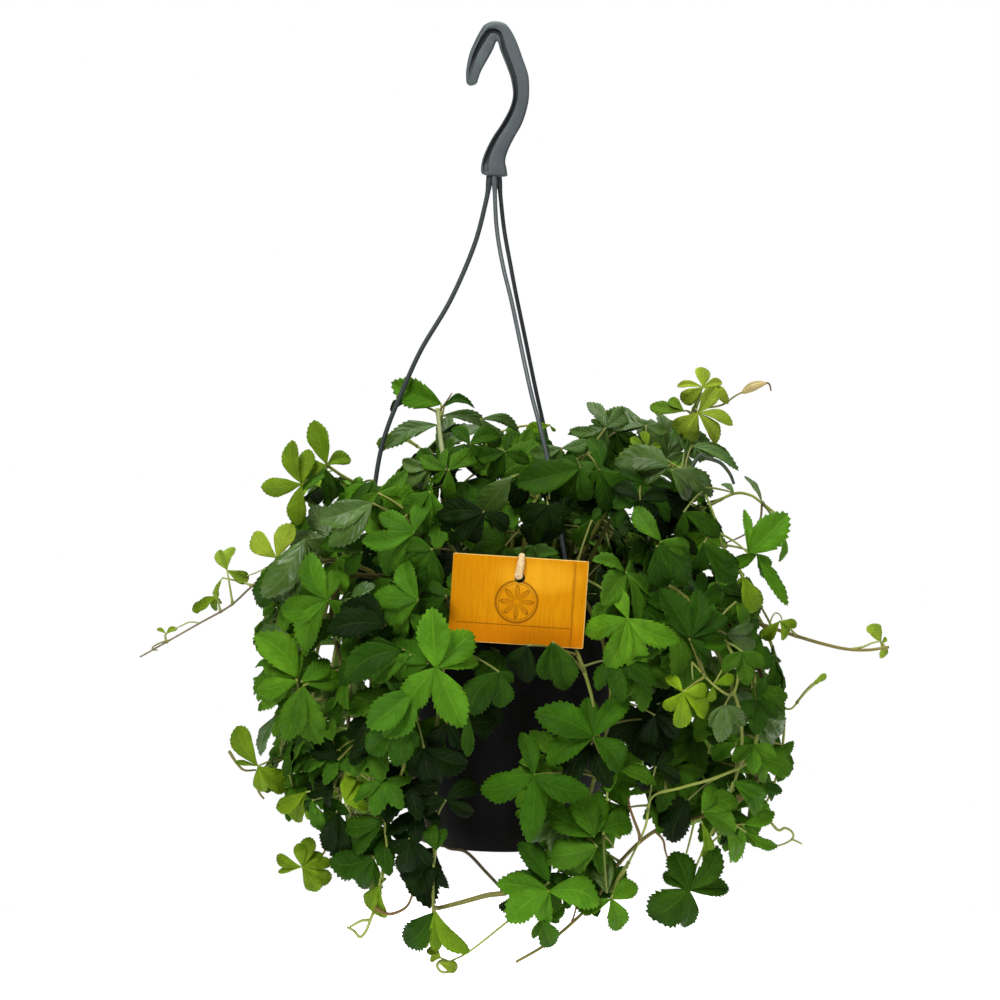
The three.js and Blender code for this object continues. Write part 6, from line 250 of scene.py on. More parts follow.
    ("left_mid","D",0,(-83.4,-71.1,-325.6),(-65.1,-66.5,-324.4),(-0.72,-0.53,0.45),[(-50,-90,-333,0.22,-0.05),(-44.9,-79,-311.4,0.22,0.1),(-65.2,-81,-347.6,0.26,-0.1),(-53.3,-57.2,-308.1,0.23,-0.05),(-77.8,-58.4,-339.6,0.26,0)]),
    ("left_mid","B",0,(-91.8,-76.5,-331.7),(-96,-70.5,-313.5),(-0.61,-0.47,0.63),[(-107,-75.1,-342.7,0.23,-0.05),(-90.1,-91.4,-331.5,0.21,-0.1),(-81.4,-88.2,-315.3,0.22,0.1),(-104.5,-51.5,-314.8,0.16,0.1)]),
    ("left_mid","S",0,(-98.1,-80.9,-339.2),(-87.4,-99.3,-334.9),(-0.75,-0.5,0.44),[(-83.5,-116.4,-354.8,0.23,-0.05),(-69.4,-115.8,-340.8,0.23,0.1),(-95.8,-101.7,-360.1,0.23,-0.05),(-71.9,-105.2,-326.2,0.26,0),(-98.3,-87.5,-344.5,0.23,-0.1)]),
    ("left_mid","B",0,(-97.4,-83.3,-353.3),(-116.2,-74.5,-356.7),(-0.42,-0.47,0.77),[(-144.3,-63.1,-368.2,0.26,-0.1),(-136.6,-81.2,-381.2,0.24,-0.1),(-133.2,-50.5,-353.8,0.23,0.05),(-114.3,-92.2,-370.5,0.21,-0.05),(-111.3,-54.6,-347,0.25,0)]),
    ("left_mid","M",0,(-90.3,-86.8,-393),(-86.3,-101.8,-379.9),(-0.69,-0.25,0.68),[(-62.3,-116.8,-366.9,0.21,-0.1),(-87.5,-127.5,-397,0.21,0),(-68,-89.5,-368.2,0.22,0.1),(-98.1,-100.4,-400.5,0.26,-0.05)]),
    ("left_mid","D",0,(-92.2,-81,-438.9),(-105.5,-79.8,-424.6),(-0.32,-0.85,0.41),[(-129.3,-73.1,-445.9,0.24,0.05),(-107.6,-89.4,-454.5,0.23,-0.05),(-127.2,-60.6,-422.3,0.24,0.1),(-90.5,-84.9,-441.2,0.23,0.1),(-112.8,-63.8,-411.4,0.21,-0.1)]),
    ("left_mid","D",0,(-92.7,-80.2,-441.7),(-104.1,-78.8,-458.3),(-0.5,-0.82,0.27),[(-97.5,-81.2,-482.3,0.2,-0.1),(-121.8,-59.8,-462.6,0.26,0.05),(-88.5,-87.1,-465.7,0.26,0.1),(-110.1,-65,-447.1,0.22,0.1)]),
    ("left_mid","S",0,(-97.2,-84.2,-359),(-91.2,-76.8,-377.5),(-0.32,-0.92,0.21),[(-73.8,-82,-405.1,0.22,0.05),(-61.9,-85.1,-380.5,0.23,0),(-101,-77.4,-404.2,0.25,0.1),(-74.7,-73.5,-364.2,0.24,0.1),(-110.1,-67.9,-389.3,0.21,-0.1)]),
    ("left_mid","S",0,(-83.4,-71.1,-325.6),(-99.7,-69.7,-302.4),(-0.3,-0.88,0.37),[(-127.4,-54.3,-301.7,0.23,-0.1),(-121,-66.7,-321.8,0.22,0.1),(-112.6,-50.6,-283.3,0.26,0),(-93.8,-58.1,-284.8,0.21,0.1)]),
    ("left_mid","M",0,(-98.1,-70.7,-468.7),(-108.2,-62.5,-454.2),(-0.33,-0.78,0.54),[(-125.5,-63.1,-471.2,0.21,0),(-89.6,-66.3,-452.9,0.23,-0.1),(-122.8,-51.6,-454,0.21,0.05)]),
    ("left_outer","S",1,(-108.8,-50.8,-319),(-115.2,-89.2,-300.6),(-0.23,-0.91,0.34),[(-126.2,-89.2,-339.1,0.22,0),(-140.6,-89.2,-335.5,0.23,-0.1),(-118.7,-74.7,-326.3,0.22,-0.1),(-100.3,-78.3,-311.4,0.26,-0.1)]),
    ("left_outer","B",1,(-122.7,-57.9,-386.2),(-119.4,-96.3,-384.6),(-0.22,-0.9,0.37),[(-144.5,-81.6,-391.6,0.23,-0.1),(-141.7,-80.1,-404,0.22,0.1)]),
    ("left_outer","B",1,(-122.7,-57.9,-386.2),(-119,-93.7,-382.6),(-0.22,-0.9,0.37),[(-145.2,-93.7,-356.6,0.27,0.1),(-140.9,-80.7,-378.9,0.25,0.1),(-122.7,-81.6,-364.2,0.26,0)]),
    ("left_outer","S",1,(-124.6,-56.7,-368.5),(-116.8,-89.8,-366.8),(-0.22,-0.9,0.36),[(-141.3,-73.2,-353.8,0.23,-0.1),(-131.7,-81.2,-367.9,0.24,-0.1)]),
    ("left_outer","D",1,(-116.2,-52.7,-331.6),(-132.1,-80.7,-317.1),(-0.24,-0.9,0.35),[(-144.2,-65.5,-343.8,0.24,-0.05),(-129.1,-65.3,-344.4,0.24,0.1)]),
    ("left_outer","L",1,(-113.3,-51.9,-326.6),(-132.3,-77,-312.7),(-0.25,-0.9,0.35),[(-146.5,-70.8,-297.6,0.29,-0.1),(-124.1,-71.6,-292.1,0.31,0)]),
    ("left_outer","S",1,(-120,-57.5,-407.1),(-133.5,-76.6,-408.8),(-0.25,-0.89,0.39),[(-144.6,-60.8,-435.9,0.14,0.04)]),
    ("left_outer","O",1,(-132,-50.3,-437.4),(-145.4,-66.6,-441.1),(-0.26,-0.88,0.41),[(-159,-54,-418.5,0.24,-0.05),(-143.8,-56.9,-458.8,0.24,-0.05),(-125.7,-52.5,-454.6,0.29,0.1),(-160.1,-58,-440.1,0.1,0)]),
    ("left_outer","D",0,(-71.3,-28.6,-331.7),(-76.2,-47.2,-335.4),(-0.77,0.03,0.64),[(-80.5,-72.2,-345.4,0.25,0.1),(-63,-69.8,-331.3,0.21,-0.1),(-88.8,-54.6,-357.9,0.23,-0.1),(-61,-53.3,-323.4,0.21,0.1),(-82.8,-40.3,-351.7,0.21,-0.1)]),
    ("left_outer","M",0,(-106.1,-49.7,-319.2),(-115.8,-26.4,-308.5),(-0.82,-0.48,0.32),[(-123.9,-5.5,-325.1,0.24,0.05),(-118.5,-21.5,-335.2,0.22,-0.05),(-120.8,-0.8,-307.1,0.22,0.05),(-112.1,-38.4,-324.1,0.23,0),(-111.9,-13.4,-293.5,0.25,0)]),
    ("left_outer","B",0,(-122.4,-54.7,-348),(-120.7,-69.1,-334.4),(-0.6,-0.56,0.58),[(-130.1,-75.1,-362.6,0.25,-0.05),(-111.5,-88.9,-355.5,0.24,-0.05),(-142.7,-56.6,-350.2,0.23,0.05),(-101.2,-83.3,-337.4,0.22,0.05),(-131.5,-48.9,-337.6,0.23,-0.1)]),
    ("left_outer","D",0,(-122.4,-54.7,-348),(-139.2,-48.6,-355.2),(-0.74,-0.23,0.64),[(-148.3,-27.1,-372.5,0.16,-0.05),(-138.6,-20,-356.3,0.21,0.05),(-137,-65,-369.1,0.25,0.05),(-125.3,-40.4,-338.8,0.26,-0.1)]),
    ("left_outer","D",0,(-121.5,-57.7,-395.2),(-120.7,-68.7,-411.9),(-0.92,-0.2,0.35),[(-123.8,-80.7,-444.1,0.21,0.05),(-109.4,-96.8,-425.2,0.22,0.1),(-126.7,-52.5,-441.2,0.22,-0.1),(-109.1,-88.1,-403.3,0.25,-0.05),(-120,-42.6,-417.5,0.2,0.05)]),
    ("left_outer","M",0,(-123.8,-54,-426.8),(-136.4,-39,-432.9),(-0.92,-0.1,0.38),[(-137.1,-52.6,-457.4,0.21,-0.1),(-133.1,-61.1,-436.4,0.26,-0.1),(-131.9,-19.5,-426.3,0.23,-0.05)]),
    ("left_outer","B",0,(-120.7,-53.8,-339.2),(-133.8,-32.5,-333.6),(-0.38,-0.78,0.5),[(-145.4,-12.7,-326.1,0.22,-0.05),(-129.6,-38.5,-352.3,0.21,0.05),(-128,-22.4,-319.8,0.26,-0.1)]),
    ("left_outer","B",0,(-120.3,-57.5,-404.1),(-128.5,-35.9,-403.2),(-0.33,-0.83,0.45),[(-138.2,-35.7,-428.1,0.25,-0.1),(-122.6,-46.5,-424.6,0.21,0),(-148.1,-29.6,-412.6,0.23,0.1),(-112.5,-42.6,-406,0.26,0.1),(-138.1,-21.6,-396,0.25,0.05)]),
    ("left_outer","M",0,(-132,-50.3,-437.4),(-124.6,-61.5,-454.6),(-0.42,-0.66,0.62),[(-126.2,-74.3,-474.1,0.25,-0.1),(-142,-48.9,-459.1,0.21,0.1),(-112.8,-72,-460.5,0.23,0),(-131.3,-47.9,-447.2,0.24,-0.1)]),
    ("left_outer","B",0,(-111.8,-51.5,-324.1),(-119.6,-40.7,-309.7),(-0.27,-0.81,0.52),[(-121,-24.7,-291.9,0.24,0.1),(-106.5,-33.4,-294.9,0.21,-0.1),(-132.5,-39,-318.1,0.24,-0.1),(-102.4,-42.1,-311.7,0.24,-0.05)]),
    ("left_outer","M",0,(-123,-57.7,-383.3),(-132.8,-33.5,-386.9),(-0.25,-0.55,0.79),[(-142,-46.2,-406.5,0.26,-0.1),(-150.5,-15.6,-387.4,0.22,0.1),(-124.3,-47.8,-395.9,0.24,0.1),(-130,-17.6,-377.1,0.21,0.1)]),
    ("left_outer","M",0,(-123.3,-57.5,-380.3),(-137.4,-47.6,-389.8),(-0.38,-0.42,0.82),[(-145.4,-61.9,-402.1,0.21,-0.05),(-149.8,-31.7,-393.7,0.24,0.1),(-131.7,-63,-396.1,0.22,0.1),(-137.3,-31.6,-387,0.21,0)]),
    ("left_vine","O",1,(-171.8,-28,-351.1),(-175.4,0,-344.8),(-0.32,-0.85,0.42),[(-173.3,3.4,-350.2,0.23,0),(-186.1,6.5,-349.3,0.23,-0.1),(-177.3,5.7,-354.9,0.25,0.1),(-192.2,10.7,-354.3,0.2,-0.1)]),
    ("left_vine","L",1,(-164.3,-28,-346.2),(-166.4,-30.6,-325.1),(-0.3,-0.87,0.39),[(-172,-22.6,-313.5,0.23,-0.05),(-162.8,-21.6,-311.7,0.23,-0.1),(-153.6,-21.8,-331.6,0.26,0.1)]),
    ("left_vine","L",1,(-150.5,-28.1,-335),(-170.4,-20.7,-331.1),(-0.31,-0.86,0.4),[(-174.4,-11.9,-346.5,0.13,0)]),
    ("left_vine","L",1,(-205.3,-28,-370.6),(-207.6,0,-368.8),(-0.31,-0.85,0.43),[(-213.7,3.9,-366.1,0.18,0.1),(-201.2,4.7,-365.6,0.27,-0.05)]),
    ("left_vine","K",0,(-83.4,-17.1,-310.7),(-102.1,-8.8,-304.5),(-0.62,-0.41,0.67),[(-120.4,5.5,-318.3,0.21,0),(-114.9,-16.3,-325.3,0.23,0.1),(-110,15.6,-301.3,0.25,0.1),(-99.5,-22.9,-318.3,0.22,0),(-93.7,5.6,-294.9,0.27,0)]),
    ("left_vine","K",0,(-74,-13.5,-316),(-82.9,-29.1,-334.1),(-0.9,-0.16,0.41),[(-93.1,-37.5,-364.3,0.24,0),(-79.5,-52.8,-352.7,0.25,0.05),(-88.1,-16.7,-357.4,0.24,0),(-73.2,-48.6,-330.9,0.21,-0.05),(-84.7,-8.8,-337.9,0.23,0.1)]),
    ("left_vine","B",0,(-110.6,-24.6,-310.1),(-123.3,-39.3,-311.2),(-0.92,-0.21,0.34),[(-115.7,-61.7,-336.4,0.25,-0.1),(-112.1,-67.2,-307.7,0.22,0.1),(-111,-50.9,-296.3,0.24,0.1)]),
    ("left_vine","D",0,(-113.3,-25.1,-311.1),(-132.6,-27.7,-317.7),(-0.78,0.08,0.61),[(-146.2,-44.7,-338,0.18,-0.05),(-134.5,-54.2,-320.6,0.2,0.1),(-146.1,-21.7,-340.9,0.26,-0.05),(-120.4,-43.9,-308.6,0.24,-0.05),(-136.7,-10.2,-327.3,0.21,-0.1)]),
    ("lime_crown","L",1,(121.2,-11.7,-226.8),(123,-38.4,-227.6),(0.3,-0.89,0.34),[(144.4,-38.4,-235,0.18,-0.1),(135.2,-31.2,-246.5,0.24,0),(118.8,-28.9,-248.5,0.23,0.1),(109,-27.1,-240,0.24,0.05),(133.7,-32,-212.7,0.27,0)]),
    ("lime_crown","L",1,(121.2,-11.7,-226.8),(126.7,-26.2,-212.4),(0.32,-0.88,0.34),[(126.5,-18.8,-200.4,0.37,0),(111.3,-16.6,-212.2,0.14,0.04),(114.4,-16.7,-222.1,0.28,0),(138.9,-19,-209.7,0.2,-0.05),(143.6,-15.1,-222.2,0.21,-0.05)]),
    ("lime_crown","O",1,(119.9,-11.6,-229.4),(114.6,-34.8,-226.6),(0.3,-0.89,0.34),[(94.4,-22.1,-223.7,0.22,-0.05),(106.4,-27.7,-219.1,0.27,-0.1)]),
    ("lime_crown","K",0,(52.1,2.6,-320.9),(61.4,24.4,-321.3),(0.79,0.01,0.61),[(60.8,49.8,-325.9,0.24,-0.1),(48.1,42.7,-307.8,0.2,0.05),(69.4,36.5,-343.6,0.26,0.05),(48.3,24.4,-306.2,0.2,-0.05),(70.8,20.1,-338.3,0.25,-0.1)]),
    ("lime_crown","D",0,(67,-2.1,-295.7),(74.4,-20.9,-304.6),(0.86,0.16,0.48),[(81.5,-44.6,-324,0.24,0),(80.7,-23.6,-333.9,0.24,0.05),(70.9,-51,-303.8,0.24,-0.1),(74.2,-3.4,-318.8,0.25,0.05),(64.2,-34,-286.2,0.22,0.1)]),
    ("lime_crown","M",0,(89.3,-7.4,-268.7),(95.1,11.7,-267.9),(0.51,-0.3,0.81),[(116.8,26.5,-282.1,0.24,-0.1),(99.5,37,-269.1,0.22,0),(111.8,3.4,-287.6,0.23,-0.05),(84.5,26.5,-262.1,0.23,0.1),(96.2,-3.8,-280.1,0.23,-0.1)]),
    ("lime_crown","D",0,(99.6,-9.1,-258.2),(115.2,-21,-272.2),(0.69,0.06,0.72),[(131.8,-37.5,-293.5,0.19,-0.05),(131.4,-12.5,-293.7,0.26,-0.1),(116.6,-49.6,-280.7,0.25,-0.05),(117.8,-1.2,-281,0.23,-0.05),(101.8,-38.9,-264.9,0.24,-0.1)]),
    ("lime_crown","B",0,(114.7,-11.3,-240),(128.1,6.5,-248.6),(0.55,0.23,0.8),[(129.1,29,-262.4,0.24,-0.1),(148.7,-3.7,-262.9,0.26,0.05),(110.1,20.4,-248.6,0.23,-0.05)]),
    ("lime_crown","S",0,(107.1,-10.2,-249.1),(112.9,-24.7,-237.8),(0.36,-0.68,0.64),[(133.4,-23.9,-251.8,0.23,0.1),(121.3,-33.4,-256.2,0.25,0.05),(106.9,-35.5,-249.3,0.22,0.05)]),
    ("lime_crown","S",0,(91.4,-7.8,-266.7),(103.9,-19.1,-257),(0.61,-0.76,0.22),[(99.2,-2.5,-228.6,0.23,0.1),(83.5,-20.4,-233.8,0.26,0.1),(117,4.3,-243.8,0.22,-0.1),(84.1,-32.6,-257.1,0.22,-0.1),(117.5,-4.7,-269,0.25,0)]),
    ("right_arch","S",1,(164.2,-24.1,-285.7),(161.8,-46.6,-281.6),(0.29,-0.89,0.36),[(151.6,-35,-266.6,0.09,0.05)]),
    ("right_arch","B",1,(164.2,-24.1,-285.7),(177.4,-24.7,-304.6),(0.31,-0.87,0.39),[(175.3,-14.8,-321.8,0.13,-0.05)]),
    ("right_arch","K",0,(138.2,-18.7,-283.8),(119.4,-9.5,-290.3),(0.49,0.05,0.87),[(141.5,5.2,-308.6,0.21,-0.05),(123.8,19.5,-297,0.21,-0.1),(139.9,-21.5,-310.2,0.22,0),(103.6,8.6,-285.2,0.21,0),(125.8,-32.8,-294.9,0.22,0)]),
    ("right_arch","D",0,(74.4,-4.3,-328.5),(93.4,1.1,-330.9),(0.62,-0.24,0.75),[(114.8,5.2,-351.8,0.24,0.1),(105.8,25.7,-339.7,0.24,-0.1),(101.8,-15.2,-355.1,0.23,0),(87,21.2,-325.8,0.26,0.1),(84.3,-17.5,-331.6,0.23,0.05)]),
    ("right_arch","D",0,(94.8,-9.4,-307.1),(94.1,-29.6,-311.4),(0.82,-0.24,0.52),[(90.7,-56.1,-338,0.25,0.1),(107.4,-34.9,-342.9,0.23,0),(80.4,-59.9,-315.4,0.26,0),(103.1,-14.4,-327.8,0.25,-0.05),(77.9,-43.4,-295.7,0.22,-0.05)]),
    ("right_arch","B",0,(124.7,-16.2,-289.3),(127.1,-31.6,-303.7),(0.34,-0.82,0.46),[(118.1,-40.8,-321.5,0.24,0),(135.7,-32.7,-324.2,0.25,0.05),(107,-38.8,-307,0.25,-0.05),(142.7,-27.4,-311,0.22,0.05),(113.5,-26.4,-295.1,0.23,-0.05)]),
    ("right_brown","B",1,(162.5,-44.8,-444.8),(155.8,-66.4,-435.6),(0.26,-0.88,0.4),[(181,-51.5,-444.9,0.29,0.05),(169.3,-58.3,-432.6,0.25,-0.1),(163.5,-56.3,-452.7,0.2,0),(147.4,-58.6,-446.1,0.21,-0.1)]),
    ("right_brown","D",1,(167.7,-41.9,-433.9),(164.4,-52.2,-454.1),(0.28,-0.86,0.42),[(175.5,-45.4,-459.6,0.23,0.1),(169.4,-45,-466.6,0.24,-0.1)]),
    ("right_brown","M",1,(168.1,-39.2,-418.8),(168,-45.5,-438.5),(0.28,-0.86,0.42),[(183.6,-35,-430.9,0.17,0.1)]),
    ("right_brown","K",1,(137.9,-56,-467.6),(116.7,-38,-436),(0.1,-0.9,0.4),[(97.4,-44,-459.9,0.3,0),(119.1,-42,-466.5,0.3,0),(133.6,-36,-450.1,0.28,0)]),
    ("right_brown","K",0,(91.3,-15.3,-341.1),(106.7,-8.1,-330.3),(0.89,0.03,0.46),[(113.3,6.6,-352.8,0.24,0.1),(104,17,-338.6,0.24,-0.1),(117.4,-14.8,-354.8,0.23,-0.05),(100.1,7.1,-320.9,0.24,-0.1),(106.2,-25.7,-338.8,0.25,0.1)]),
    ("right_brown","M",0,(123.7,-28.9,-341.6),(132.5,-46.2,-347.6),(0.85,0.09,0.52),[(143.2,-65.8,-369.4,0.19,0.05),(146.1,-39.1,-375.6,0.22,-0.05),(130.1,-76.3,-349.5,0.26,0),(131,-26.6,-359.8,0.26,0),(119.9,-62.3,-337.2,0.22,0.1)]),
    ("right_brown","D",0,(138.2,-32.5,-352.6),(156.4,-27.6,-354.4),(0.8,-0.17,0.57),[(162.9,-1.2,-362.1,0.23,0),(149.3,-11.5,-343.6,0.22,0.1),(152.4,-49.8,-358,0.25,-0.05)]),
    ("right_brown","D",0,(152.2,-34.8,-369.2),(169.2,-41.4,-377.3),(0.89,-0.13,0.43),[(172.8,-48.5,-407.3,0.24,0.1),(162.8,-65.3,-391.6,0.25,-0.1),(169.9,-20.5,-382.4,0.26,-0.05),(158,-60.4,-374.4,0.22,0)]),
    ("right_brown","M",0,(145.7,-52.7,-463.6),(160.3,-40.5,-463.2),(0.75,-0.41,0.52),[(173.2,-12.5,-464.5,0.23,-0.1),(157,-22.4,-449.2,0.22,-0.1),(156.1,-54.8,-479.1,0.25,-0.05)]),
    ("right_brown","D",0,(127.3,-60.4,-472.1),(137.7,-43.1,-475.5),(0.86,-0.11,0.5),[(150.2,-15.5,-495.1,0.23,0.1),(136.2,-13.2,-469.5,0.21,-0.05),(151.7,-42.7,-503.2,0.26,0),(122.9,-33.3,-458.3,0.26,0),(136.1,-65.9,-488.9,0.26,-0.05)]),
    ("right_brown","B",0,(107.4,-68.9,-476.4),(100.5,-65.3,-456),(0.02,-0.96,0.29),[(89.3,-64.7,-474.4,0.2,-0.1),(105.6,-69.2,-475.6,0.25,-0.05),(80.3,-63,-459.2,0.15,0.1),(114.6,-64.3,-461.5,0.21,0.05),(91.1,-57.9,-445.7,0.25,-0.05)]),
    ("right_brown","D",0,(160,-46.2,-450.2),(136.7,-35.5,-443.8),(0.36,-0.7,0.61),[(136.6,-48.9,-469.8,0.22,0.1),(155.8,-35.2,-465.5,0.23,0.05),(116.8,-46.8,-458.2,0.21,-0.05),(154.6,-22.6,-447.8,0.23,0.1),(115.8,-37.9,-441.3,0.25,-0.05)]),
    ("right_brown","M",0,(148.3,-51.6,-462.3),(145.6,-32.7,-473.5),(0.44,-0.76,0.47),[(161.8,-35.1,-497.3,0.26,0.1),(141,-39.8,-499.3,0.24,-0.05),(157.2,-15.9,-466.9,0.21,0.05),(129.3,-40.9,-483.6,0.23,0)]),
    ("right_brown","M",0,(74.2,-85.8,-497.8),(54.4,-84.5,-484.8),(0.29,-0.79,0.54),[(72.6,-85,-506,0.23,0.05),(51.9,-92.8,-511.5,0.26,0),(64.4,-70.1,-473,0.26,0.05),(38.8,-91.3,-494.6,0.23,0)]),
    ("right_brown","M",0,(168.9,-41.1,-431.1),(176.8,-21.7,-435.4),(0.41,-0.67,0.61),[(154.7,-39.1,-443.8,0.25,0.05),(173.2,-40,-455.7,0.21,-0.1),(150.9,-25,-424.4,0.26,-0.05),(163.6,-12.2,-419.1,0.22,-0.1)]),
    ("right_brown","M",0,(101.8,-71.3,-477.7),(89.2,-62,-455),(0.36,-0.7,0.62),[(98.7,-75.7,-481.7,0.22,-0.1),(116.5,-59,-473.4,0.22,0.05),(105.7,-45.8,-452.2,0.25,-0.1),(64.1,-65.3,-452.9,0.26,0.1)]),
    ("right_brown","M",0,(150.9,-50.5,-461),(132.6,-46.8,-468),(0.08,-0.83,0.56),[(107.5,-47.5,-478.8,0.24,0.05),(124.5,-56.2,-490.2,0.23,-0.1),(110.2,-40.2,-458.2,0.25,-0.1),(141.9,-53.2,-486.1,0.25,0.1),(125.4,-33.3,-454.7,0.26,-0.05)]),
    ("right_brown","B",0,(143.1,-53.8,-464.9),(150.9,-36.1,-463.8),(0.41,-0.78,0.48),[(170.1,-32.7,-478.1,0.26,0.1),(169.3,-22.8,-462.3,0.22,0.1),(150.9,-22.9,-452.4,0.25,-0.05),(138,-42.4,-473,0.25,-0.05)]),
    ("right_crown","S",1,(90.8,-57.4,-263.6),(90.8,-46.6,-234.5),(0.27,-0.91,0.32),[(65.8,-30.7,-228.7,0.27,-0.1),(71.8,-34.8,-238.3,0.25,0.1),(87.7,-35.4,-253.6,0.23,0.05),(104.7,-38.3,-238.1,0.27,0.1)]),
    ("right_crown","K",1,(89.1,-56.6,-265.7),(85.2,-95,-276.1),(0.18,-0.93,0.32),[(68.9,-83.8,-268.7,0.25,0.05),(102.4,-85,-275.8,0.26,-0.1),(94.7,-85.4,-290.1,0.26,0)]),
    ("right_crown","D",1,(133.3,-60.9,-295.7),(123.8,-89.1,-302.4),(0.22,-0.91,0.34),[(145.4,-74.6,-325.1,0.26,0.1),(146.6,-74,-316.6,0.13,0.1),(116.3,-76.8,-322.4,0.21,-0.1)]),
    ("right_crown","D",1,(123.5,-62,-274.5),(111.8,-88.9,-283.8),(0.21,-0.92,0.33),[(134.5,-73.2,-300.4,0.2,0),(107.7,-78.5,-301.7,0.21,-0.05)]),
    ("right_crown","S",1,(93.8,-57.9,-263.4),(103.4,-76.6,-257.2),(0.23,-0.92,0.32),[(70,-68.3,-256.6,0.24,0.1),(80.6,-61.8,-266.2,0.22,-0.05),(86.5,-64.3,-247.2,0.22,0)]),
    ("right_crown","S",1,(119.8,-61.8,-269.4),(104.7,-75,-259.7),(0.23,-0.92,0.32),[(131.2,-57.1,-277,0.2,-0.05),(115.7,-62.5,-278.9,0.2,0)]),
    ("right_crown","O",1,(136.6,-60,-306.6),(148.6,-72,-324.8),(0.26,-0.9,0.36),[(157.9,-62.6,-346.6,0.32,0.06),(152.9,-64,-338.5,0.19,-0.05)]),
    ("right_crown","B",1,(134.1,-60.7,-298.4),(152.2,-63.9,-311.1),(0.27,-0.89,0.36),[(176.2,-63.9,-286.7,0.29,0.03),(150.8,-48,-285.7,0.1,0)]),
    ("right_crown","O",1,(108.3,-60.6,-262.2),(90.9,-60.6,-248.1),(0.24,-0.92,0.32),[(81.5,-53.3,-241.3,0.22,-0.1),(88.7,-53.9,-237.7,0.23,0),(99.6,-55.4,-246.7,0.22,-0.05)]),
    ("right_crown","S",1,(121.6,-61.9,-271.9),(143.7,-60.2,-274.9),(0.27,-0.9,0.35),[(136.2,-54.4,-269.9,0.2,0.1)]),
    ("right_crown","B",1,(136.6,-60,-306.6),(158.2,-56,-312.5),(0.28,-0.89,0.37),[(177.3,-56,-344.3,0.12,0.03),(164.6,-46.6,-328.2,0.29,-0.1),(142.3,-50,-321.1,0.22,0)]),
    ("right_crown","S",1,(114.2,-61.6,-261.8),(119.1,-43.1,-247.5),(0.29,-0.89,0.34),[(147.9,-43.1,-262.8,0.11,-0.11),(135.1,-33.6,-252.5,0.26,0.05)]),
    ("right_crown","M",0,(53.5,-27.6,-332.9),(66.5,-18.4,-321),(0.77,-0.31,0.56),[(75.6,6.9,-334.8,0.21,0.1),(65.6,6.6,-315.8,0.25,0),(81.8,-14.9,-342.8,0.2,0),(54.8,-8.4,-308.3,0.22,0.05),(70.4,-30.6,-335.5,0.22,0)]),
    ("right_crown","D",0,(82.2,-53.5,-274.2),(64.5,-58.2,-283),(0.28,-0.22,0.93),[(52.2,-81.9,-293.2,0.23,0),(72.1,-80,-294.5,0.25,-0.1),(39.6,-69.4,-281.3,0.22,0.05),(80.8,-58.6,-292.1,0.25,0.1),(47.5,-48,-277.6,0.25,-0.05)]),
    ("right_crown","K",0,(83.9,-54.3,-272.1),(96.1,-38.8,-276.2),(0.26,-0.55,0.79),[(122.7,-48.9,-294.4,0.24,0.05),(123,-28,-281.6,0.22,0.05),(99.8,-58.5,-300.2,0.21,0.1),(103.9,-16,-269.9,0.22,0.1),(79.1,-52.4,-283.4,0.25,0.05)]),
    ("right_crown","D",0,(105.4,-60,-262.4),(89.6,-72.2,-267.9),(0.38,-0.59,0.71),[(86.4,-91.1,-293.1,0.21,0.05),(103.7,-77.4,-291.3,0.22,0.05),(69.6,-86.8,-281.7,0.26,-0.05),(106.9,-59.8,-270.8,0.21,0.05),(68.4,-68.9,-261.7,0.25,0.05)]),
    ("right_crown","S",0,(111.3,-61.1,-262),(114.8,-38.1,-251.8),(0.72,-0.65,0.25),[(121.1,-28.2,-274.1,0.24,0.1),(126.1,-18.3,-257.1,0.26,-0.1),(110.5,-48.1,-274.2,0.24,0.1),(120.2,-23,-240.9,0.24,0),(101.3,-47.1,-258.6,0.23,0)]),
    ("right_crown","B",0,(108.3,-60.6,-262.2),(121.7,-46.1,-261.2),(0.35,-0.71,0.61),[(105.1,-58.1,-273.2,0.26,0),(123.9,-59.1,-281.4,0.25,0.1),(99.2,-47.1,-259.8,0.22,-0.1)]),
    ("right_front","Y",1,(124,-105.4,-379.7),(109.9,-120.7,-387.6),(0.17,-0.92,0.36),[(100.8,-112.7,-379.2,0.27,0),(99.2,-111.7,-399.1,0.22,-0.05),(110,-111.1,-410.6,0.24,0.05),(124.2,-110.3,-403.5,0.26,0),(124.6,-112.1,-386.5,0.27,0.1)]),
    ("right_front","D",1,(122,-106,-377.7),(114,-108.2,-357.1),(0.19,-0.92,0.35),[(96.1,-108.2,-327.3,0.25,0),(119.2,-98.3,-328.4,0.22,0.1),(138.2,-92.8,-346.5,0.22,-0.05),(127.3,-97.3,-371.8,0.23,0.05)]),
    ("right_front","D",1,(97.7,-88.6,-331.1),(94.5,-114.3,-301.6),(0.16,-0.93,0.32),[(113.4,-96.8,-326.8,0.25,-0.1),(100.1,-99.1,-328.3,0.26,0.1)]),
    ("right_front","M",1,(92,-86.5,-330.1),(97,-110.4,-299.1),(0.17,-0.93,0.33),[(82.9,-95.1,-279.7,0.23,-0.1),(91.2,-97.7,-320.7,0.23,-0.1),(114.8,-99.8,-304.3,0.25,0.1)]),
    ("right_front","G",1,(124,-105.4,-379.7),(116.7,-103.6,-358.9),(0.2,-0.91,0.35),[(137.8,-91.4,-360.5,0.25,0.1),(128.9,-88.4,-338,0.26,-0.05)]),
    ("right_front","Y",1,(139.3,-92.7,-368.5),(129.5,-100.5,-385.8),(0.21,-0.91,0.37),[(142,-92.8,-382.1,0.24,0.05),(128.2,-94,-397.6,0.23,0.05)]),
    ("right_front","M",1,(130.3,-93.6,-353.3),(144,-78.6,-339.2),(0.25,-0.9,0.36),[(150.9,-68.1,-356.9,0.23,0),(139.1,-72,-349.7,0.23,0)]),
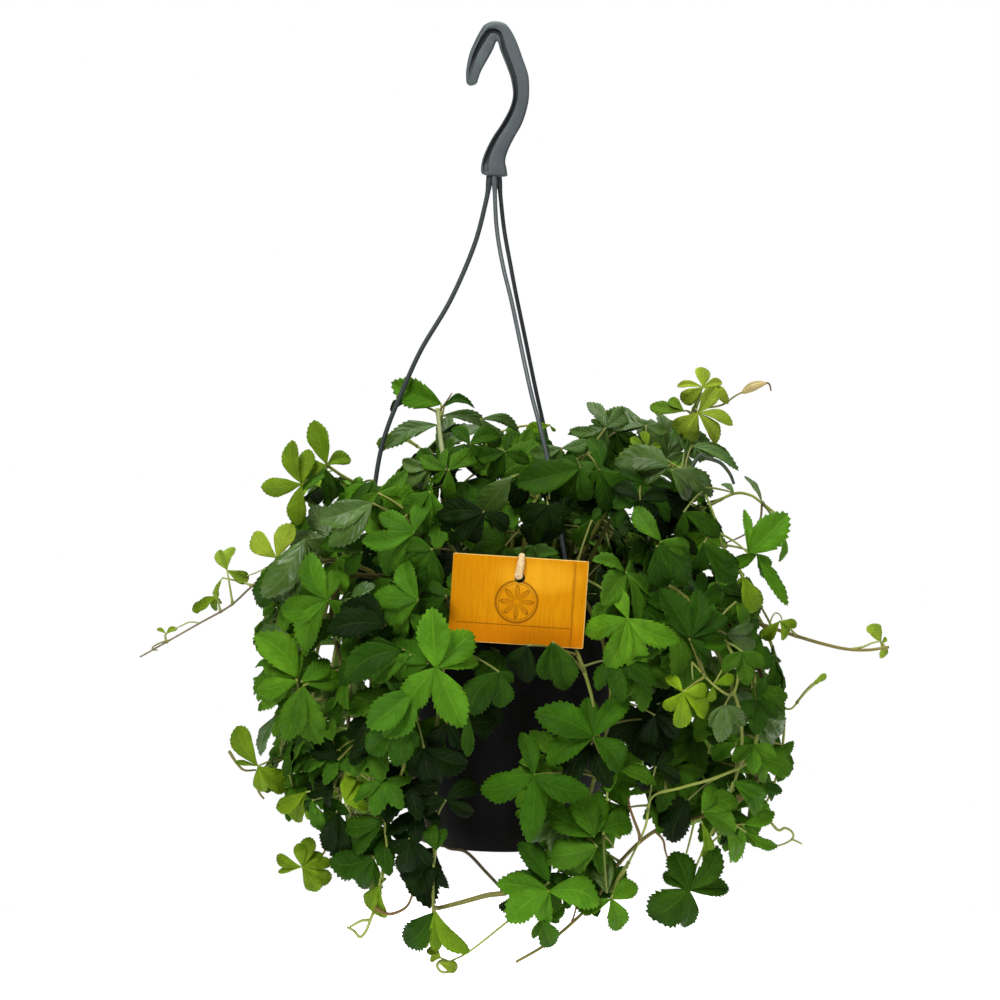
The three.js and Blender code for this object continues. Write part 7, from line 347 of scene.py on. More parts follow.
    ("right_front","K",1,(65,-38,-374.7),(95.3,-45,-406.3),(0.1,-0.9,0.4),[(76.7,-52,-428.7,0.3,0),(94,-50,-445.2,0.3,0),(115.1,-44,-433.7,0.28,0),(84.4,-40,-393.4,0.25,0),(109.1,-38,-394.9,0.25,0)]),
    ("right_front","M",1,(136.4,-92.8,-363.7),(145.5,-108,-365.5),(0.1,-0.9,0.4),[(133.5,-112,-376.9,0.28,0),(149.1,-110,-385.6,0.28,0),(159.4,-106,-374.2,0.28,0)]),
    ("right_front","D",0,(100.5,-89.6,-331.7),(102.3,-73.3,-345.5),(0.38,-0.79,0.48),[(124.2,-62.9,-365.5,0.25,0.1),(126.3,-55.7,-343,0.24,-0.1),(112.7,-81.1,-372,0.26,0.1),(104.1,-57.5,-331.1,0.24,-0.1),(89.9,-83,-361.1,0.22,-0.1)]),
    ("right_front","M",0,(89.1,-85.4,-329.5),(76.4,-106.4,-318.5),(0.77,-0.38,0.51),[(81.8,-119.9,-349.5,0.2,0),(94.7,-94,-345.2,0.23,-0.05),(61.7,-132.6,-334.6,0.26,0.05),(82.9,-81.9,-322.2,0.22,-0.05),(56.2,-120.7,-309.6,0.23,0.05)]),
    ("right_front","D",0,(130.3,-93.6,-353.3),(120.2,-91.3,-336.2),(0.51,-0.82,0.27),[(134.9,-78.1,-352.1,0.21,0.05),(136.7,-72.7,-333,0.25,0.05),(124.7,-90.4,-362.1,0.22,0),(125.1,-77.7,-321.6,0.26,-0.05),(107.6,-97.9,-351,0.25,-0.05)]),
    ("right_hang","D",1,(117.9,-66.9,-515.1),(116,-88.1,-513.1),(0.22,-0.89,0.41),[(107.7,-72.7,-492.3,0.34,0),(134.2,-76.6,-487.8,0.21,0.1),(141.3,-73,-515,0.23,0),(92.1,-71.9,-532.6,0.35,-0.08),(114.5,-75,-539.3,0.2,0),(100.9,-76,-505.2,0.26,0)]),
    ("right_hang","G",1,(145.1,-72.8,-446.5),(144.8,-75,-424.9),(0.24,-0.89,0.39),[(126.8,-62.6,-418.3,0.25,0.05),(131.1,-64.1,-437.8,0.23,0.05),(151.2,-64.2,-443.9,0.25,0),(158.8,-67,-426.2,0.27,0.05)]),
    ("right_hang","M",1,(138.1,-74.3,-464.1),(123.4,-90.9,-464.9),(0.22,-0.89,0.39),[(145.1,-76.4,-480.5,0.24,-0.05),(146.1,-77.2,-460.1,0.26,-0.1),(131.3,-79.5,-449.2,0.24,0)]),
    ("right_hang","O",1,(126.9,-76.5,-487.7),(123.5,-90.1,-471.1),(0.22,-0.89,0.4),[(127,-76.1,-500.8,0.12,-0.05)]),
    ("right_hang","S",1,(115.8,-84.8,-351.2),(137.6,-85.3,-357.7),(0.23,-0.9,0.36),[(156.6,-73.8,-365.9,0.24,0.1),(155.2,-74.7,-353.6,0.17,0.05)]),
    ("right_hang","M",1,(136.9,-74.5,-467.1),(142.5,-83.6,-447.9),(0.24,-0.89,0.4),[(158.3,-68.6,-470.9,0.24,-0.1),(161.6,-72.1,-456.1,0.23,0.05)]),
    ("right_hang","B",1,(124.4,-77.1,-492.8),(139.6,-75.7,-478.1),(0.24,-0.88,0.41),[(143.1,-63,-501.6,0.19,-0.1)]),
    ("right_hang","S",1,(144.6,-91.4,-399.9),(156.8,-74.7,-406.6),(0.26,-0.88,0.39),[(130.7,-58.1,-404.9,0.23,0.1),(133.8,-58.7,-420.2,0.27,0),(145.4,-63.8,-394.8,0.23,-0.05)]),
    ("right_hang","B",1,(130.7,-75.8,-480.1),(150.6,-66.8,-476.8),(0.26,-0.87,0.42),[(170.5,-54.7,-471.6,0.19,0.05),(147,-52.1,-503.9,0.17,0.05)]),
    ("right_hang","B",1,(134.5,-75,-472.5),(152,-65.1,-482),(0.26,-0.87,0.42),[(172.7,-52.3,-493.2,0.14,0.12)]),
    ("right_hang","S",1,(141.4,-94.3,-390.3),(135.5,-110,-397),(0.1,-0.9,0.4),[(126,-112,-409.9,0.27,0),(131.9,-112,-419.4,0.27,0),(147,-108,-409.9,0.27,0)]),
    ("right_hang","K",0,(74.5,-79.1,-333.3),(91.5,-71.5,-340),(0.21,-0.82,0.53),[(117.8,-70.8,-364.6,0.22,0),(119.5,-57.1,-340.8,0.23,0.1),(91.4,-86.2,-369,0.22,-0.05),(96.4,-54.6,-323.6,0.24,0.05),(68.7,-77.2,-349.9,0.26,0.05)]),
    ("right_hang","M",0,(94.8,-89.4,-339.3),(104.1,-103.8,-349.9),(0.43,-0.77,0.48),[(105.3,-114,-381.2,0.24,-0.1),(123.7,-97.8,-373.9,0.24,-0.05),(80.8,-116.5,-369.2,0.26,0),(122.4,-87.2,-346.1,0.21,-0.05),(80.5,-108,-345.1,0.24,0.1)]),
    ("right_hang","M",0,(113.3,-85.6,-349.5),(132,-79.6,-353.6),(0.84,-0.35,0.41),[(142.3,-60.9,-377.8,0.21,-0.05),(136.2,-49.6,-356.4,0.22,0),(134.2,-86.1,-384.2,0.23,-0.1),(125.7,-64.6,-339.9,0.26,0.1),(124.8,-97.3,-365.9,0.25,0.05)]),
    ("right_hang","M",0,(115.8,-84.8,-351.2),(109.9,-76.2,-368.2),(0.25,-0.94,0.23),[(94,-83.4,-390.4,0.26,0.1),(114.6,-76.6,-395.9,0.26,-0.05),(81.3,-81.8,-373.5,0.25,-0.1),(127.5,-70.1,-379.3,0.23,-0.1),(91.1,-70.7,-356.6,0.21,0)]),
    ("right_low","K",1,(92.3,-93.5,-465.8),(95.4,-95.1,-436.2),(0.19,-0.91,0.37),[(85,-85.1,-425.1,0.28,0.05),(86.3,-84.7,-452.6,0.24,0),(110.5,-84.7,-447.7,0.24,0),(106.6,-86.9,-429.1,0.25,0)]),
    ("right_low","B",1,(78,-97.5,-496.9),(68.3,-107.3,-514.5),(0.13,-0.91,0.39),[(84.8,-96.5,-508.9,0.31,-0.05),(73,-95.4,-536.6,0.27,-0.05),(47.6,-94.5,-521.5,0.21,-0.12)]),
    ("right_low","M",1,(79.3,-96.8,-494.4),(67.8,-101.8,-512),(0.14,-0.91,0.39),[(76.6,-90.8,-497.8,0.26,0)]),
    ("right_low","K",1,(131.6,-84.6,-444.9),(115.6,-80.9,-459.4),(0.23,-0.89,0.39),[(93.9,-66.5,-471.3,0.34,-0.05),(106.8,-65.8,-488.7,0.28,0.1)]),
    ("right_low","D",1,(155.2,-67.1,-384.6),(142.9,-79.7,-371.2),(0.24,-0.9,0.37),[(168.3,-64.7,-379.4,0.25,-0.05),(159.3,-69.9,-367.6,0.24,-0.05),(154.9,-67.2,-390.6,0.24,0.05)]),
    ("right_low","M",1,(150.2,-65.9,-371.2),(154.8,-68.8,-392.9),(0.26,-0.88,0.39),[(177.8,-55.4,-399.1,0.23,0.1),(175.8,-52.4,-414.4,0.27,0),(163.5,-53.4,-419.8,0.23,0.1)]),
    ("right_low","S",1,(155.5,-72.8,-421.8),(158.1,-66.2,-401.8),(0.26,-0.88,0.39),[(168.6,-52.2,-431.1,0.27,0.1),(174.7,-51.3,-423.9,0.27,0.1)]),
    ("right_low","D",1,(143.6,-64.6,-358.8),(152.6,-60.1,-338.9),(0.26,-0.89,0.37),[(128.7,-44.8,-346.9,0.25,0.05),(137.5,-49.9,-334,0.23,0.05)]),
    ("right_low","D",1,(155.1,-68,-392),(156.6,-84,-397.9),(0.1,-0.9,0.4),[(143.6,-90,-406.7,0.28,0),(156,-86,-418.9,0.28,0),(169.7,-80,-409.5,0.26,0),(161,-80,-384.5,0.25,0)]),
    ("right_low","M",1,(146.3,-79,-438.2),(153.5,-88,-424.6),(0.1,-0.9,0.4),[(141.2,-92,-434.3,0.27,0),(154.6,-90,-442.5,0.27,0),(168.1,-86,-432.2,0.27,0)]),
    ("right_low","K",0,(79.8,-28.9,-344.4),(99.8,-33.5,-344.6),(0.88,0.08,0.47),[(113.7,-29.8,-376.8,0.23,-0.05),(103.9,-7.8,-362.8,0.26,0.1),(108.8,-56.3,-364.8,0.18,0.05),(89.9,-10.1,-342.6,0.24,0.1),(97.5,-56.4,-343.4,0.25,0.1)]),
    ("right_low","D",0,(104.7,-50.4,-333.6),(116.1,-66.7,-328.6),(0.59,-0.23,0.77),[(133.1,-78,-351.4,0.26,0),(133.8,-53.9,-346.6,0.25,0.05),(117,-93.8,-339.9,0.24,0.1),(121.9,-45.3,-333.9,0.21,0),(103,-84.3,-330.1,0.21,-0.05)]),
    ("right_low","D",0,(130.8,-62.8,-343.3),(148.2,-62.8,-352.8),(0.54,-0.71,0.44),[(155.9,-66.9,-379.2,0.22,-0.05),(138.9,-77.5,-370.6,0.25,0),(158.5,-47.6,-345.7,0.23,-0.1),(130.3,-72.8,-350.8,0.25,0.1)]),
    ("right_low","D",0,(102.5,-91.7,-453.9),(102,-77.1,-440.8),(0.26,-0.92,0.3),[(120.1,-76.9,-462.9,0.26,-0.1),(126.5,-65.9,-444.3,0.22,0.1),(98.2,-77.9,-467.7,0.22,-0.05),(115.3,-64.8,-427.2,0.24,0),(86.9,-79.4,-454.4,0.21,-0.05)]),
    ("right_low","B",0,(96.4,-92.8,-461),(77.8,-87.2,-463.2),(0.01,-0.97,0.23),[(54,-83.4,-463.9,0.25,-0.1),(62.8,-86.4,-478.6,0.24,-0.05),(63,-78.2,-451.3,0.21,0.1),(78.4,-87.2,-478.8,0.25,0.1),(76.7,-80.8,-448.2,0.21,0)]),
    ("right_low","K",0,(104.7,-50.4,-333.6),(104,-44.1,-302.4),(0.1,-0.78,0.62),[(112.9,-19.5,-285.5,0.26,0),(90.7,-25.2,-285,0.23,0.05),(129,-30.2,-298.6,0.2,-0.1),(81.1,-39.8,-299,0.22,0.05),(123.4,-42.4,-313.7,0.22,0)]),
    ("right_low","D",0,(155.5,-72.8,-421.8),(122.7,-46.5,-420.8),(0.26,-0.94,0.19),[(126.4,-47.4,-450.6,0.26,0.1),(144.8,-38.6,-435.5,0.25,-0.1),(103,-48,-443.2,0.23,0.05),(139.3,-35,-412.8,0.26,-0.05),(99,-48.9,-415,0.24,0)]),
    ("right_low","B",0,(156.7,-68.4,-395.8),(137.7,-50.5,-397.6),(0.32,-0.88,0.35),[(122,-56.7,-428.1,0.23,0.05),(147.5,-49.6,-427.9,0.23,-0.1),(108,-58.1,-406.7,0.23,-0.1),(156,-43.1,-408.7,0.26,0.1),(115,-47.8,-388.6,0.26,0.1)]),
    ("right_outer","Y",0,(150.3,12.8,-346.8),(135.4,7.2,-331.1),(0.84,-0.12,0.53),[(143,-1.7,-360.4,0.26,0.05),(142.6,20.8,-358.2,0.2,-0.1),(137.5,-17.6,-347.9,0.25,-0.1),(136.2,30.7,-331.4,0.21,0),(122.6,-10.4,-325.5,0.21,0.1)]),
    ("right_outer","O",0,(123.8,16.6,-333.1),(107.9,28.8,-328.8),(0.92,0.19,0.33),[(105.2,52.4,-352.5,0.24,-0.05),(95.7,58.7,-331.4,0.24,0),(107.7,32.3,-361,0.23,-0.1),(96.3,36.8,-309.4,0.26,0),(112.7,9,-337.1,0.27,0.05)]),
    ("right_outer","O",0,(159.8,11.2,-354.1),(155.3,23.4,-339),(0.88,-0.1,0.46),[(164.2,29.8,-371.5,0.24,-0.1),(158.1,47.8,-357.9,0.22,0.1),(157.5,8.9,-367.2,0.24,-0.1),(150.7,47.7,-329.8,0.2,-0.05),(148.3,-1.9,-340.7,0.21,-0.05)]),
    ("right_outer","M",0,(179,2.9,-403.4),(168.4,-10.1,-392.7),(0.37,-0.48,0.79),[(148.9,-30.8,-400.2,0.25,-0.1),(169.1,-27.6,-411.1,0.22,-0.05),(143.8,-13.3,-385.4,0.25,0)]),
    ("right_outer","M",0,(157.5,-17.1,-485.8),(160.1,-11,-467.2),(0.31,-0.81,0.5),[(180.2,6.2,-468.6,0.21,-0.05),(161.8,-16,-493.3,0.21,-0.05),(163.3,3.5,-450.8,0.22,0.05),(144.8,-20.4,-477.2,0.26,0.1)]),
    ("right_tip","L",1,(185,14.1,-411),(197.9,0,-400.4),(0.32,-0.84,0.44),[(207.3,6.5,-395,0.17,0.05),(201.9,2.7,-398.3,0.27,0.1)]),
    ("right_tip","O",0,(95.5,30.1,-334.4),(94.4,50.4,-346),(0.79,0.33,0.52),[(90.2,73.7,-363.6,0.22,0),(78,73.1,-347.1,0.25,-0.1),(100.1,58,-372.2,0.23,0.05),(77.1,50.9,-331,0.26,0.05),(103.8,34.6,-361.6,0.26,-0.1)]),
    ("right_tip","M",0,(133.5,30.4,-344.8),(139.9,10.6,-335.1),(0.56,0.3,0.77),[(162.3,9.9,-353.4,0.25,0),(146.9,29.1,-353.9,0.23,0),(152.1,-11.4,-345.4,0.24,-0.05),(128.6,27.7,-341.6,0.24,0.1),(135.7,-10.5,-326.4,0.26,-0.05)]),
    ("right_tip","D",0,(135.9,30.1,-346.8),(152.4,41,-351.3),(0.66,0.31,0.68),[(163.8,48.6,-376.9,0.26,0.05),(149.9,63.3,-366.7,0.23,0),(136.7,54.2,-348.1,0.22,0.1),(156.1,21.9,-351.2,0.23,-0.05)]),
    ("right_vine","O",1,(186.6,-22,-367.3),(174.3,-36,-356),(0.3,-0.87,0.4),[(164.1,-26.6,-368.4,0.26,0),(185.4,-29.7,-358.1,0.26,0.1),(177.5,-28.8,-368.8,0.25,-0.1)]),
    ("right_vine","L",1,(240.4,-22,-374.2),(241,0,-374.5),(0.3,-0.85,0.43),[(235.5,8.2,-363.5,0.35,-0.1),(243,5.8,-384.8,0.29,-0.05),(244.4,2.9,-371.1,0.26,0.1)]),
    ("right_vine","M",0,(170.1,-22,-361.8),(160.3,-13.6,-344.1),(0.92,-0.03,0.4),[(153.6,-42.6,-353.9,0.24,0.1),(160.7,8.3,-352.2,0.24,0),(150.9,-32.8,-330.3,0.22,-0.05)]),
    ("right_vine","M",0,(91.6,-1.1,-340),(106.1,27,-343),(0.75,-0.33,0.57),[(117.9,53.6,-356.1,0.23,0.05),(106.4,54.1,-331.8,0.23,0.1),(116.8,32,-369.9,0.24,-0.1),(91.9,35.1,-328.6,0.22,-0.1),(105.2,11.7,-362,0.22,0.05)]),
    ("right_vine","M",0,(135.2,-17.1,-343.1),(135,-36,-332.5),(0.74,-0.35,0.57),[(150.7,-30.9,-361.9,0.22,0.1),(152.4,-9,-343.9,0.24,-0.05),(138,-55.1,-360.6,0.24,-0.05),(134.9,-12.1,-323.9,0.23,0),(125.3,-59.3,-339.9,0.21,-0.05)]),
    ("top_ridge","D",1,(-7.6,-26.1,-251),(4.9,-75.2,-248.9),(0,-0.96,0.29),[(-11.4,-65.2,-253.2,0.26,-0.05),(20,-65.5,-255.6,0.23,0),(9.1,-67.5,-237.3,0.23,-0.05),(-4.2,-63.7,-266.7,0.22,-0.05)]),
    ("top_ridge","D",1,(-7.6,-26.1,-251),(-16.2,-63.5,-244.9),(-0.09,-0.95,0.29),[(-27.2,-54.7,-235.8,0.26,0.1),(1.9,-52.2,-240.8,0.26,-0.1),(-6.6,-54.7,-256.4,0.25,-0.05)]),
    ("top_ridge","S",1,(-7.6,-26.1,-251),(-9.6,-55.2,-230.3),(-0.07,-0.96,0.29),[(13.5,-40.6,-239.1,0.12,-0.14),(5.6,-41,-249.5,0.22,0.05)]),
    ("top_ridge","Y",1,(9.3,-16,-238.3),(32.6,-31.1,-235.5),(0.2,-0.93,0.3),[(17.9,-22,-239.8,0.24,0),(36.3,-27.9,-239.3,0.18,0.1)]),
    ("top_ridge","D",0,(-5.5,-24.8,-249.4),(14.1,-15.6,-243.2),(0.39,-0.69,0.61),[(37.6,-4.9,-255.2,0.27,0.1),(29.4,4.8,-239.1,0.22,0.1),(27.8,-19,-267.7,0.24,-0.05),(6,-29.1,-255.3,0.26,-0.05)]),
    ("top_ridge","M",0,(0.4,-8.1,-327.4),(7.5,-25.9,-322.1),(-0.51,-0.44,0.74),[(31.1,-49.4,-328.7,0.21,0),(38,-30.2,-314.6,0.25,-0.1),(11.5,-47.2,-339.9,0.26,0.1),(20.3,-9.6,-312,0.24,0.1),(-7.9,-32.2,-339.6,0.21,0.05)]),
    ("top_ridge","K",0,(-0.9,-14.2,-306.2),(-20.9,-32.3,-312.6),(0,-0.69,0.72),[(-38.7,-45.8,-338.2,0.25,-0.1),(-16.2,-49.2,-335.4,0.23,0.1),(-50.4,-34.1,-322.7,0.26,0),(-0.1,-36.1,-321.7,0.23,-0.05),(-38.7,-16.1,-307.4,0.23,-0.05)]),
    ("top_ridge","B",0,(-4.8,-22.6,-272.6),(8.2,-36.8,-278.4),(-0.49,-0.41,0.77),[(30,-55.8,-285.8,0.24,0.05),(33.9,-39.7,-270.6,0.25,0.05),(10.1,-56.3,-298,0.26,-0.1),(19.6,-23.7,-266.9,0.23,-0.05),(-5.4,-39.8,-295,0.21,-0.1)]),
    ("top_ridge","K",0,(-5.6,-23.6,-266.4),(-22.3,-32.6,-259.1),(0.26,-0.43,0.86),[(-38.5,-53.1,-271.2,0.22,0.05),(-47,-34.8,-260.2,0.27,0.1),(-4.9,-33.8,-271.4,0.21,0),(-35.5,-20.8,-253.1,0.26,0.1)]),
    ("top_ridge","D",0,(-6,-24.1,-263.3),(-19.5,-48.1,-269.1),(-0.38,-0.81,0.46),[(-4.2,-62.3,-290.9,0.26,0.1),(5.3,-54.4,-271.8,0.24,0.1),(-25,-53.5,-294.9,0.24,0),(-34.9,-40.9,-279.4,0.23,-0.05)]),
    ("top_ridge","M",0,(-3.4,-23.6,-247.8),(13.8,-40,-255.1),(0.42,-0.9,0.14),[(6.5,-35.4,-236.1,0.26,0),(-4.8,-41.4,-243.9,0.25,0),(21.3,-30.3,-237.6,0.26,-0.05),(1.6,-44.6,-262.9,0.22,0.05),(25.1,-30.2,-257.4,0.26,0)]),
    ("under_pot","K",0,(-43.1,-62.5,-342.5),(-50.8,-80.7,-343.1),(-0.64,-0.55,0.53),[(-58.1,-85.1,-377.1,0.23,0),(-41.7,-105.4,-362.7,0.23,0),(-69.2,-64.3,-364.3,0.25,0.05),(-29.7,-92.8,-343.1,0.23,0.1),(-58.9,-58.6,-337.6,0.25,0.05)]),
    ("under_pot","M",0,(-52.2,-88.6,-351.1),(-82.9,-86.1,-346.7),(-0.36,-0.6,0.71),[(-82.6,-102.1,-372.2,0.25,-0.05),(-110.1,-74.3,-357.4,0.25,-0.1),(-61.8,-94.8,-354.3,0.21,0),(-89.6,-66.1,-335.3,0.23,0.05)]),
    ("under_pot","D",0,(-54,-89.3,-360.2),(-50.1,-98.9,-377.6),(-0.62,-0.46,0.63),[(-48.6,-121,-404.8,0.25,-0.05),(-32,-123.1,-386.4,0.25,0.1),(-63.9,-101.1,-406.6,0.25,0.1),(-27.7,-101.7,-368.8,0.23,0),(-62.5,-83.5,-389.4,0.26,0)]),
    ("under_pot","M",0,(-53.3,-89.1,-415.5),(-72.3,-100.1,-419.1),(-0.22,-0.84,0.5),[(-85.9,-101.7,-441.5,0.23,-0.05),(-68.8,-110.7,-443.8,0.26,-0.05),(-94,-91.2,-429.9,0.26,0.05),(-55.1,-105.3,-427.1,0.26,0.05),(-82.8,-88.4,-408.4,0.24,-0.05)]),
    ("under_pot","K",0,(-46.7,-85.9,-455),(-53,-102,-444),(-0.18,-0.83,0.54),[(-65.8,-110.6,-468.4,0.25,0.05),(-45.3,-115.2,-465.9,0.21,0),(-75.9,-100.1,-453.9,0.25,-0.05),(-33.3,-103.3,-447.1,0.27,0.1),(-67.9,-88.5,-436.9,0.26,-0.05)]),
    ("under_pot","D",0,(-43.4,-84.4,-466.7),(-65,-89.7,-476.4),(0,-0.88,0.47),[(-84,-93.8,-496,0.25,0.05),(-64.4,-99.9,-502.2,0.23,0.1),(-93.1,-86.2,-476.4,0.24,-0.1),(-46.7,-90.9,-487.8,0.23,0),(-73,-76.7,-463.7,0.21,0.05)]),
    ("under_pot","B",0,(-55.1,-90,-394),(-46.1,-85.1,-410.9),(-0.47,-0.71,0.53),[(-52.4,-96.2,-445,0.23,0),(-29.5,-105.4,-430.8,0.22,0.05),(-70.6,-79.3,-431,0.24,0.1),(-23.6,-94.8,-411.3,0.26,0.1),(-62.4,-68.4,-416.6,0.23,-0.1)]),
    ("back_01","K",0,(106.2,4.6,-323.8),(110.3,-14,-310),(0.77,0.07,0.64),[(121.9,-25.2,-335.2,0.18,-0.05),(122.9,-3.5,-332.6,0.24,-0.05),(115.5,-41.1,-319.9,0.25,0.05),(111.2,6.7,-318.9,0.21,0),(102,-35.5,-308.4,0.22,0)]),
    ("back_01","D",0,(145.6,18.1,-400.7),(153.1,29,-383.1),(0.81,0.23,0.54),[(156.6,40.9,-411.4,0.24,-0.1),(144.5,53.8,-393.9,0.26,0.05),(164.3,19,-407.8,0.23,0.1),(136.9,45.8,-374.6,0.22,0.05),(157.2,6.3,-388.7,0.23,0.05)]),
    ("back_01","M",0,(148,20.4,-412.1),(154.3,4.4,-399.6),(0.83,-0.2,0.51),[(157.9,-22.8,-424.6,0.24,-0.05),(163.6,3.4,-429.9,0.23,0.05),(139.3,-26,-401.8,0.25,0.05),(160.5,25.4,-414.3,0.18,0.05),(135.4,-2.2,-385.8,0.25,-0.1)]),
    ("back_01","B",0,(148.2,23.4,-429.4),(155.4,43.6,-435.4),(0.64,0.34,0.69),[(167.8,53.6,-466.3,0.25,0.1),(149,67.4,-453.1,0.24,0),(172.1,27,-455.2,0.21,0),(137.9,57.2,-433.5,0.22,0),(164.3,20.4,-437.4,0.21,-0.1)]),
    ("back_01","D",0,(88.3,3.1,-324.6),(87.5,24.3,-325.7),(0.49,-0.01,0.87),[(104.3,38.7,-342.2,0.22,-0.1),(90.9,50.2,-331.6,0.26,0.05),(107.5,18.5,-345.1,0.25,0.1),(72.8,38.2,-319.1,0.21,-0.05),(90.2,4.3,-331.8,0.25,0.1)]),
    ("back_01","B",0,(115.6,6.5,-334.9),(132,23.5,-316.7),(0.94,-0.05,0.35),[(141.6,36.5,-350.9,0.2,0.05),(134.9,56.4,-327.4,0.25,0.05),(135.6,9.6,-345.8,0.25,0.1),(125.2,42.4,-301.8,0.24,-0.1),(124.2,0.9,-320.1,0.22,0)]),
    ("back_01","K",0,(128.3,9.5,-354.4),(145.6,-4.2,-347.4),(0.92,0.13,0.38),[(148.7,-2.6,-373.9,0.23,-0.1),(148.3,16.4,-364.9,0.26,-0.05),(148.7,-20.8,-365.4,0.23,0),(139.2,14.9,-341.5,0.21,0.05),(141.3,-23.8,-344,0.26,0.05)]),
    ("back_01","B",0,(143.7,27.9,-461.3),(155.4,15.3,-451.1),(0.82,-0.07,0.57),[(169.5,9.7,-475.1,0.25,-0.1),(163.3,30.3,-472.6,0.26,-0.05),(158.5,-6.2,-463.7,0.23,0.05),(151.5,34.8,-451.3,0.24,0),(147.4,-2.1,-447.3,0.22,-0.05)]),
    ("back_01","B",0,(144.2,27.6,-458.5),(152.6,42.6,-468.6),(0.62,0.02,0.78),[(170.5,48.8,-492.1,0.25,0),(160.1,64.9,-482.4,0.24,0),(168.7,27.3,-483.3,0.26,0.05),(144.2,62.1,-464,0.2,-0.05),(147.6,21.4,-471.4,0.22,-0.05)]),
    ("back_01","Y",0,(144.8,27.2,-455.6),(144.1,31.4,-474.7),(0.71,0.05,0.7),[(153.5,36.7,-492.8,0.26,-0.1),(146.5,46.8,-485.9,0.23,-0.1),(155,22,-489.2,0.26,0.05),(137.4,46.2,-473.8,0.23,0.05),(144.5,16.5,-477.1,0.22,0.1)]),
    ("back_02","D",0,(69.6,20,-316.2),(82.8,16.5,-297.7),(0.2,-0.03,0.98),[(100.2,-4.1,-308.4,0.26,0.05),(108,17.4,-309.8,0.25,0.05),(78.3,-9.3,-306.7,0.24,0.1),(91.1,34.5,-303.6,0.23,0),(63.3,6.5,-296.5,0.25,0)]),
    ("back_02","B",0,(102.3,30.2,-314.3),(103.1,51.8,-309),(0.68,0.17,0.71),[(110.9,79.2,-327.6,0.24,-0.05),(87.6,80,-313.2,0.25,0.05),(121.7,52.9,-334.3,0.24,-0.1),(83.9,60.2,-298.8,0.24,-0.05),(117.5,37.5,-321.8,0.26,0.05)]),
    ("back_02","B",0,(121,34.3,-356.4),(126.9,49.9,-341.5),(0.58,0.39,0.72),[(141.1,57.9,-369.1,0.25,0),(128.7,73.2,-358.2,0.24,-0.1),(145,40.4,-359.4,0.22,0),(110.7,66.1,-344.2,0.22,0),(135.4,28.1,-340.6,0.22,-0.1)]),
    ("back_02","D",0,(125.3,34.4,-374.8),(136.4,46.5,-390.5),(0.83,0.23,0.51),[(146.7,55.9,-420.8,0.25,0),(133.4,73.8,-403.4,0.26,0.1),(144.4,30.3,-412.1,0.21,-0.05),(125.3,65.8,-384.9,0.21,-0.05),(140.7,25.2,-392.9,0.23,-0.1)]),
    ("back_02","K",0,(78.8,22.8,-306.2),(75.5,38.6,-317.9),(0.77,0.09,0.63),[(89.7,52.4,-345.1,0.24,0.05),(76,67.4,-327.6,0.26,0.1),(93.5,27.1,-341.3,0.21,-0.05),(59.7,54.8,-309.9,0.22,0.1),(73.4,13.8,-318.6,0.26,0.05)]),
    ("back_02","M",0,(107.7,31.7,-321.7),(123.4,32.2,-332.9),(0.82,0.44,0.35),[(133.9,8.4,-357.9,0.21,0.05),(132.5,34.7,-364.9,0.25,0.05),(129.4,-0.1,-335.7,0.26,-0.1),(113.4,50.7,-346.5,0.25,0.1),(120.1,16.1,-314.3,0.24,0.1)]),
    ("back_02","B",0,(130.3,33.7,-393.1),(138.1,25.2,-376.4),(0.8,0.08,0.59),[(148.1,16.4,-401.7,0.23,-0.1),(148.1,36.7,-397.5,0.22,0.1),(143.6,2.8,-385.1,0.22,-0.1),(132.6,44.1,-382.4,0.22,0),(130.9,5.9,-371.8,0.25,0)]),
    ("back_02","B",0,(136.2,30.9,-423.9),(166.7,23.9,-419),(0.94,-0.06,0.34),[(166.3,13.9,-446.4,0.26,0.05),(171.3,34.2,-441.8,0.26,-0.05),(163.2,1.8,-431.2,0.22,0),(165.9,43.3,-421.2,0.21,-0.1),(156.6,8.9,-411.7,0.21,0.05)]),
    ("back_02","B",0,(135.2,31.5,-417.7),(134.2,48.4,-428.3),(0.93,-0.06,0.35),[(128.3,82.8,-427.7,0.25,-0.1),(120.5,67.2,-405.7,0.19,-0.05),(138.4,68.4,-451.1,0.21,0.05),(117.3,45.3,-408.1,0.24,0.1),(135.7,46.2,-455,0.2,0.05)]),
    ("back_02","M",0,(131.2,26.5,-467.4),(142.6,0.7,-466.1),(0.79,0.43,0.44),[(148.9,-2.5,-495.9,0.21,0.1),(136.1,18.1,-488.4,0.26,0.05),(130.3,20.3,-466.9,0.22,0),(144.2,-20.5,-460.6,0.21,-0.05)]),
    ("back_02","M",0,(127.2,24,-485.7),(138.4,39.9,-491.2),(0.43,0.37,0.82),[(144.8,58.5,-514.5,0.22,0.1),(124.5,61.8,-502,0.24,-0.1),(161.8,38.1,-509.1,0.22,0.05),(116.6,44.2,-487,0.22,-0.1),(152.4,24.8,-497.1,0.24,0.05)]),
    ("back_03","D",0,(65.9,39.5,-343.6),(72.5,56.2,-331.7),(0.3,0.62,0.73),[(67.1,74.7,-360.1,0.2,0.1),(48.5,68.5,-345.3,0.26,-0.1),(89.8,64,-358.1,0.2,0),(47.5,53.6,-326.2,0.24,-0.1),(94.5,46.8,-337.3,0.23,0.05)]),
    ("back_03","D",0,(102.2,70.4,-358.1),(91.5,92.2,-353.7),(0.85,0.1,0.52),[(91.6,120.3,-372.8,0.25,0),(83,122.5,-350.6,0.21,-0.05),(102.7,102.1,-382.6,0.25,0),(72.7,100.5,-339.2,0.25,0.1),(99.8,75.7,-370,0.22,0.05)]),
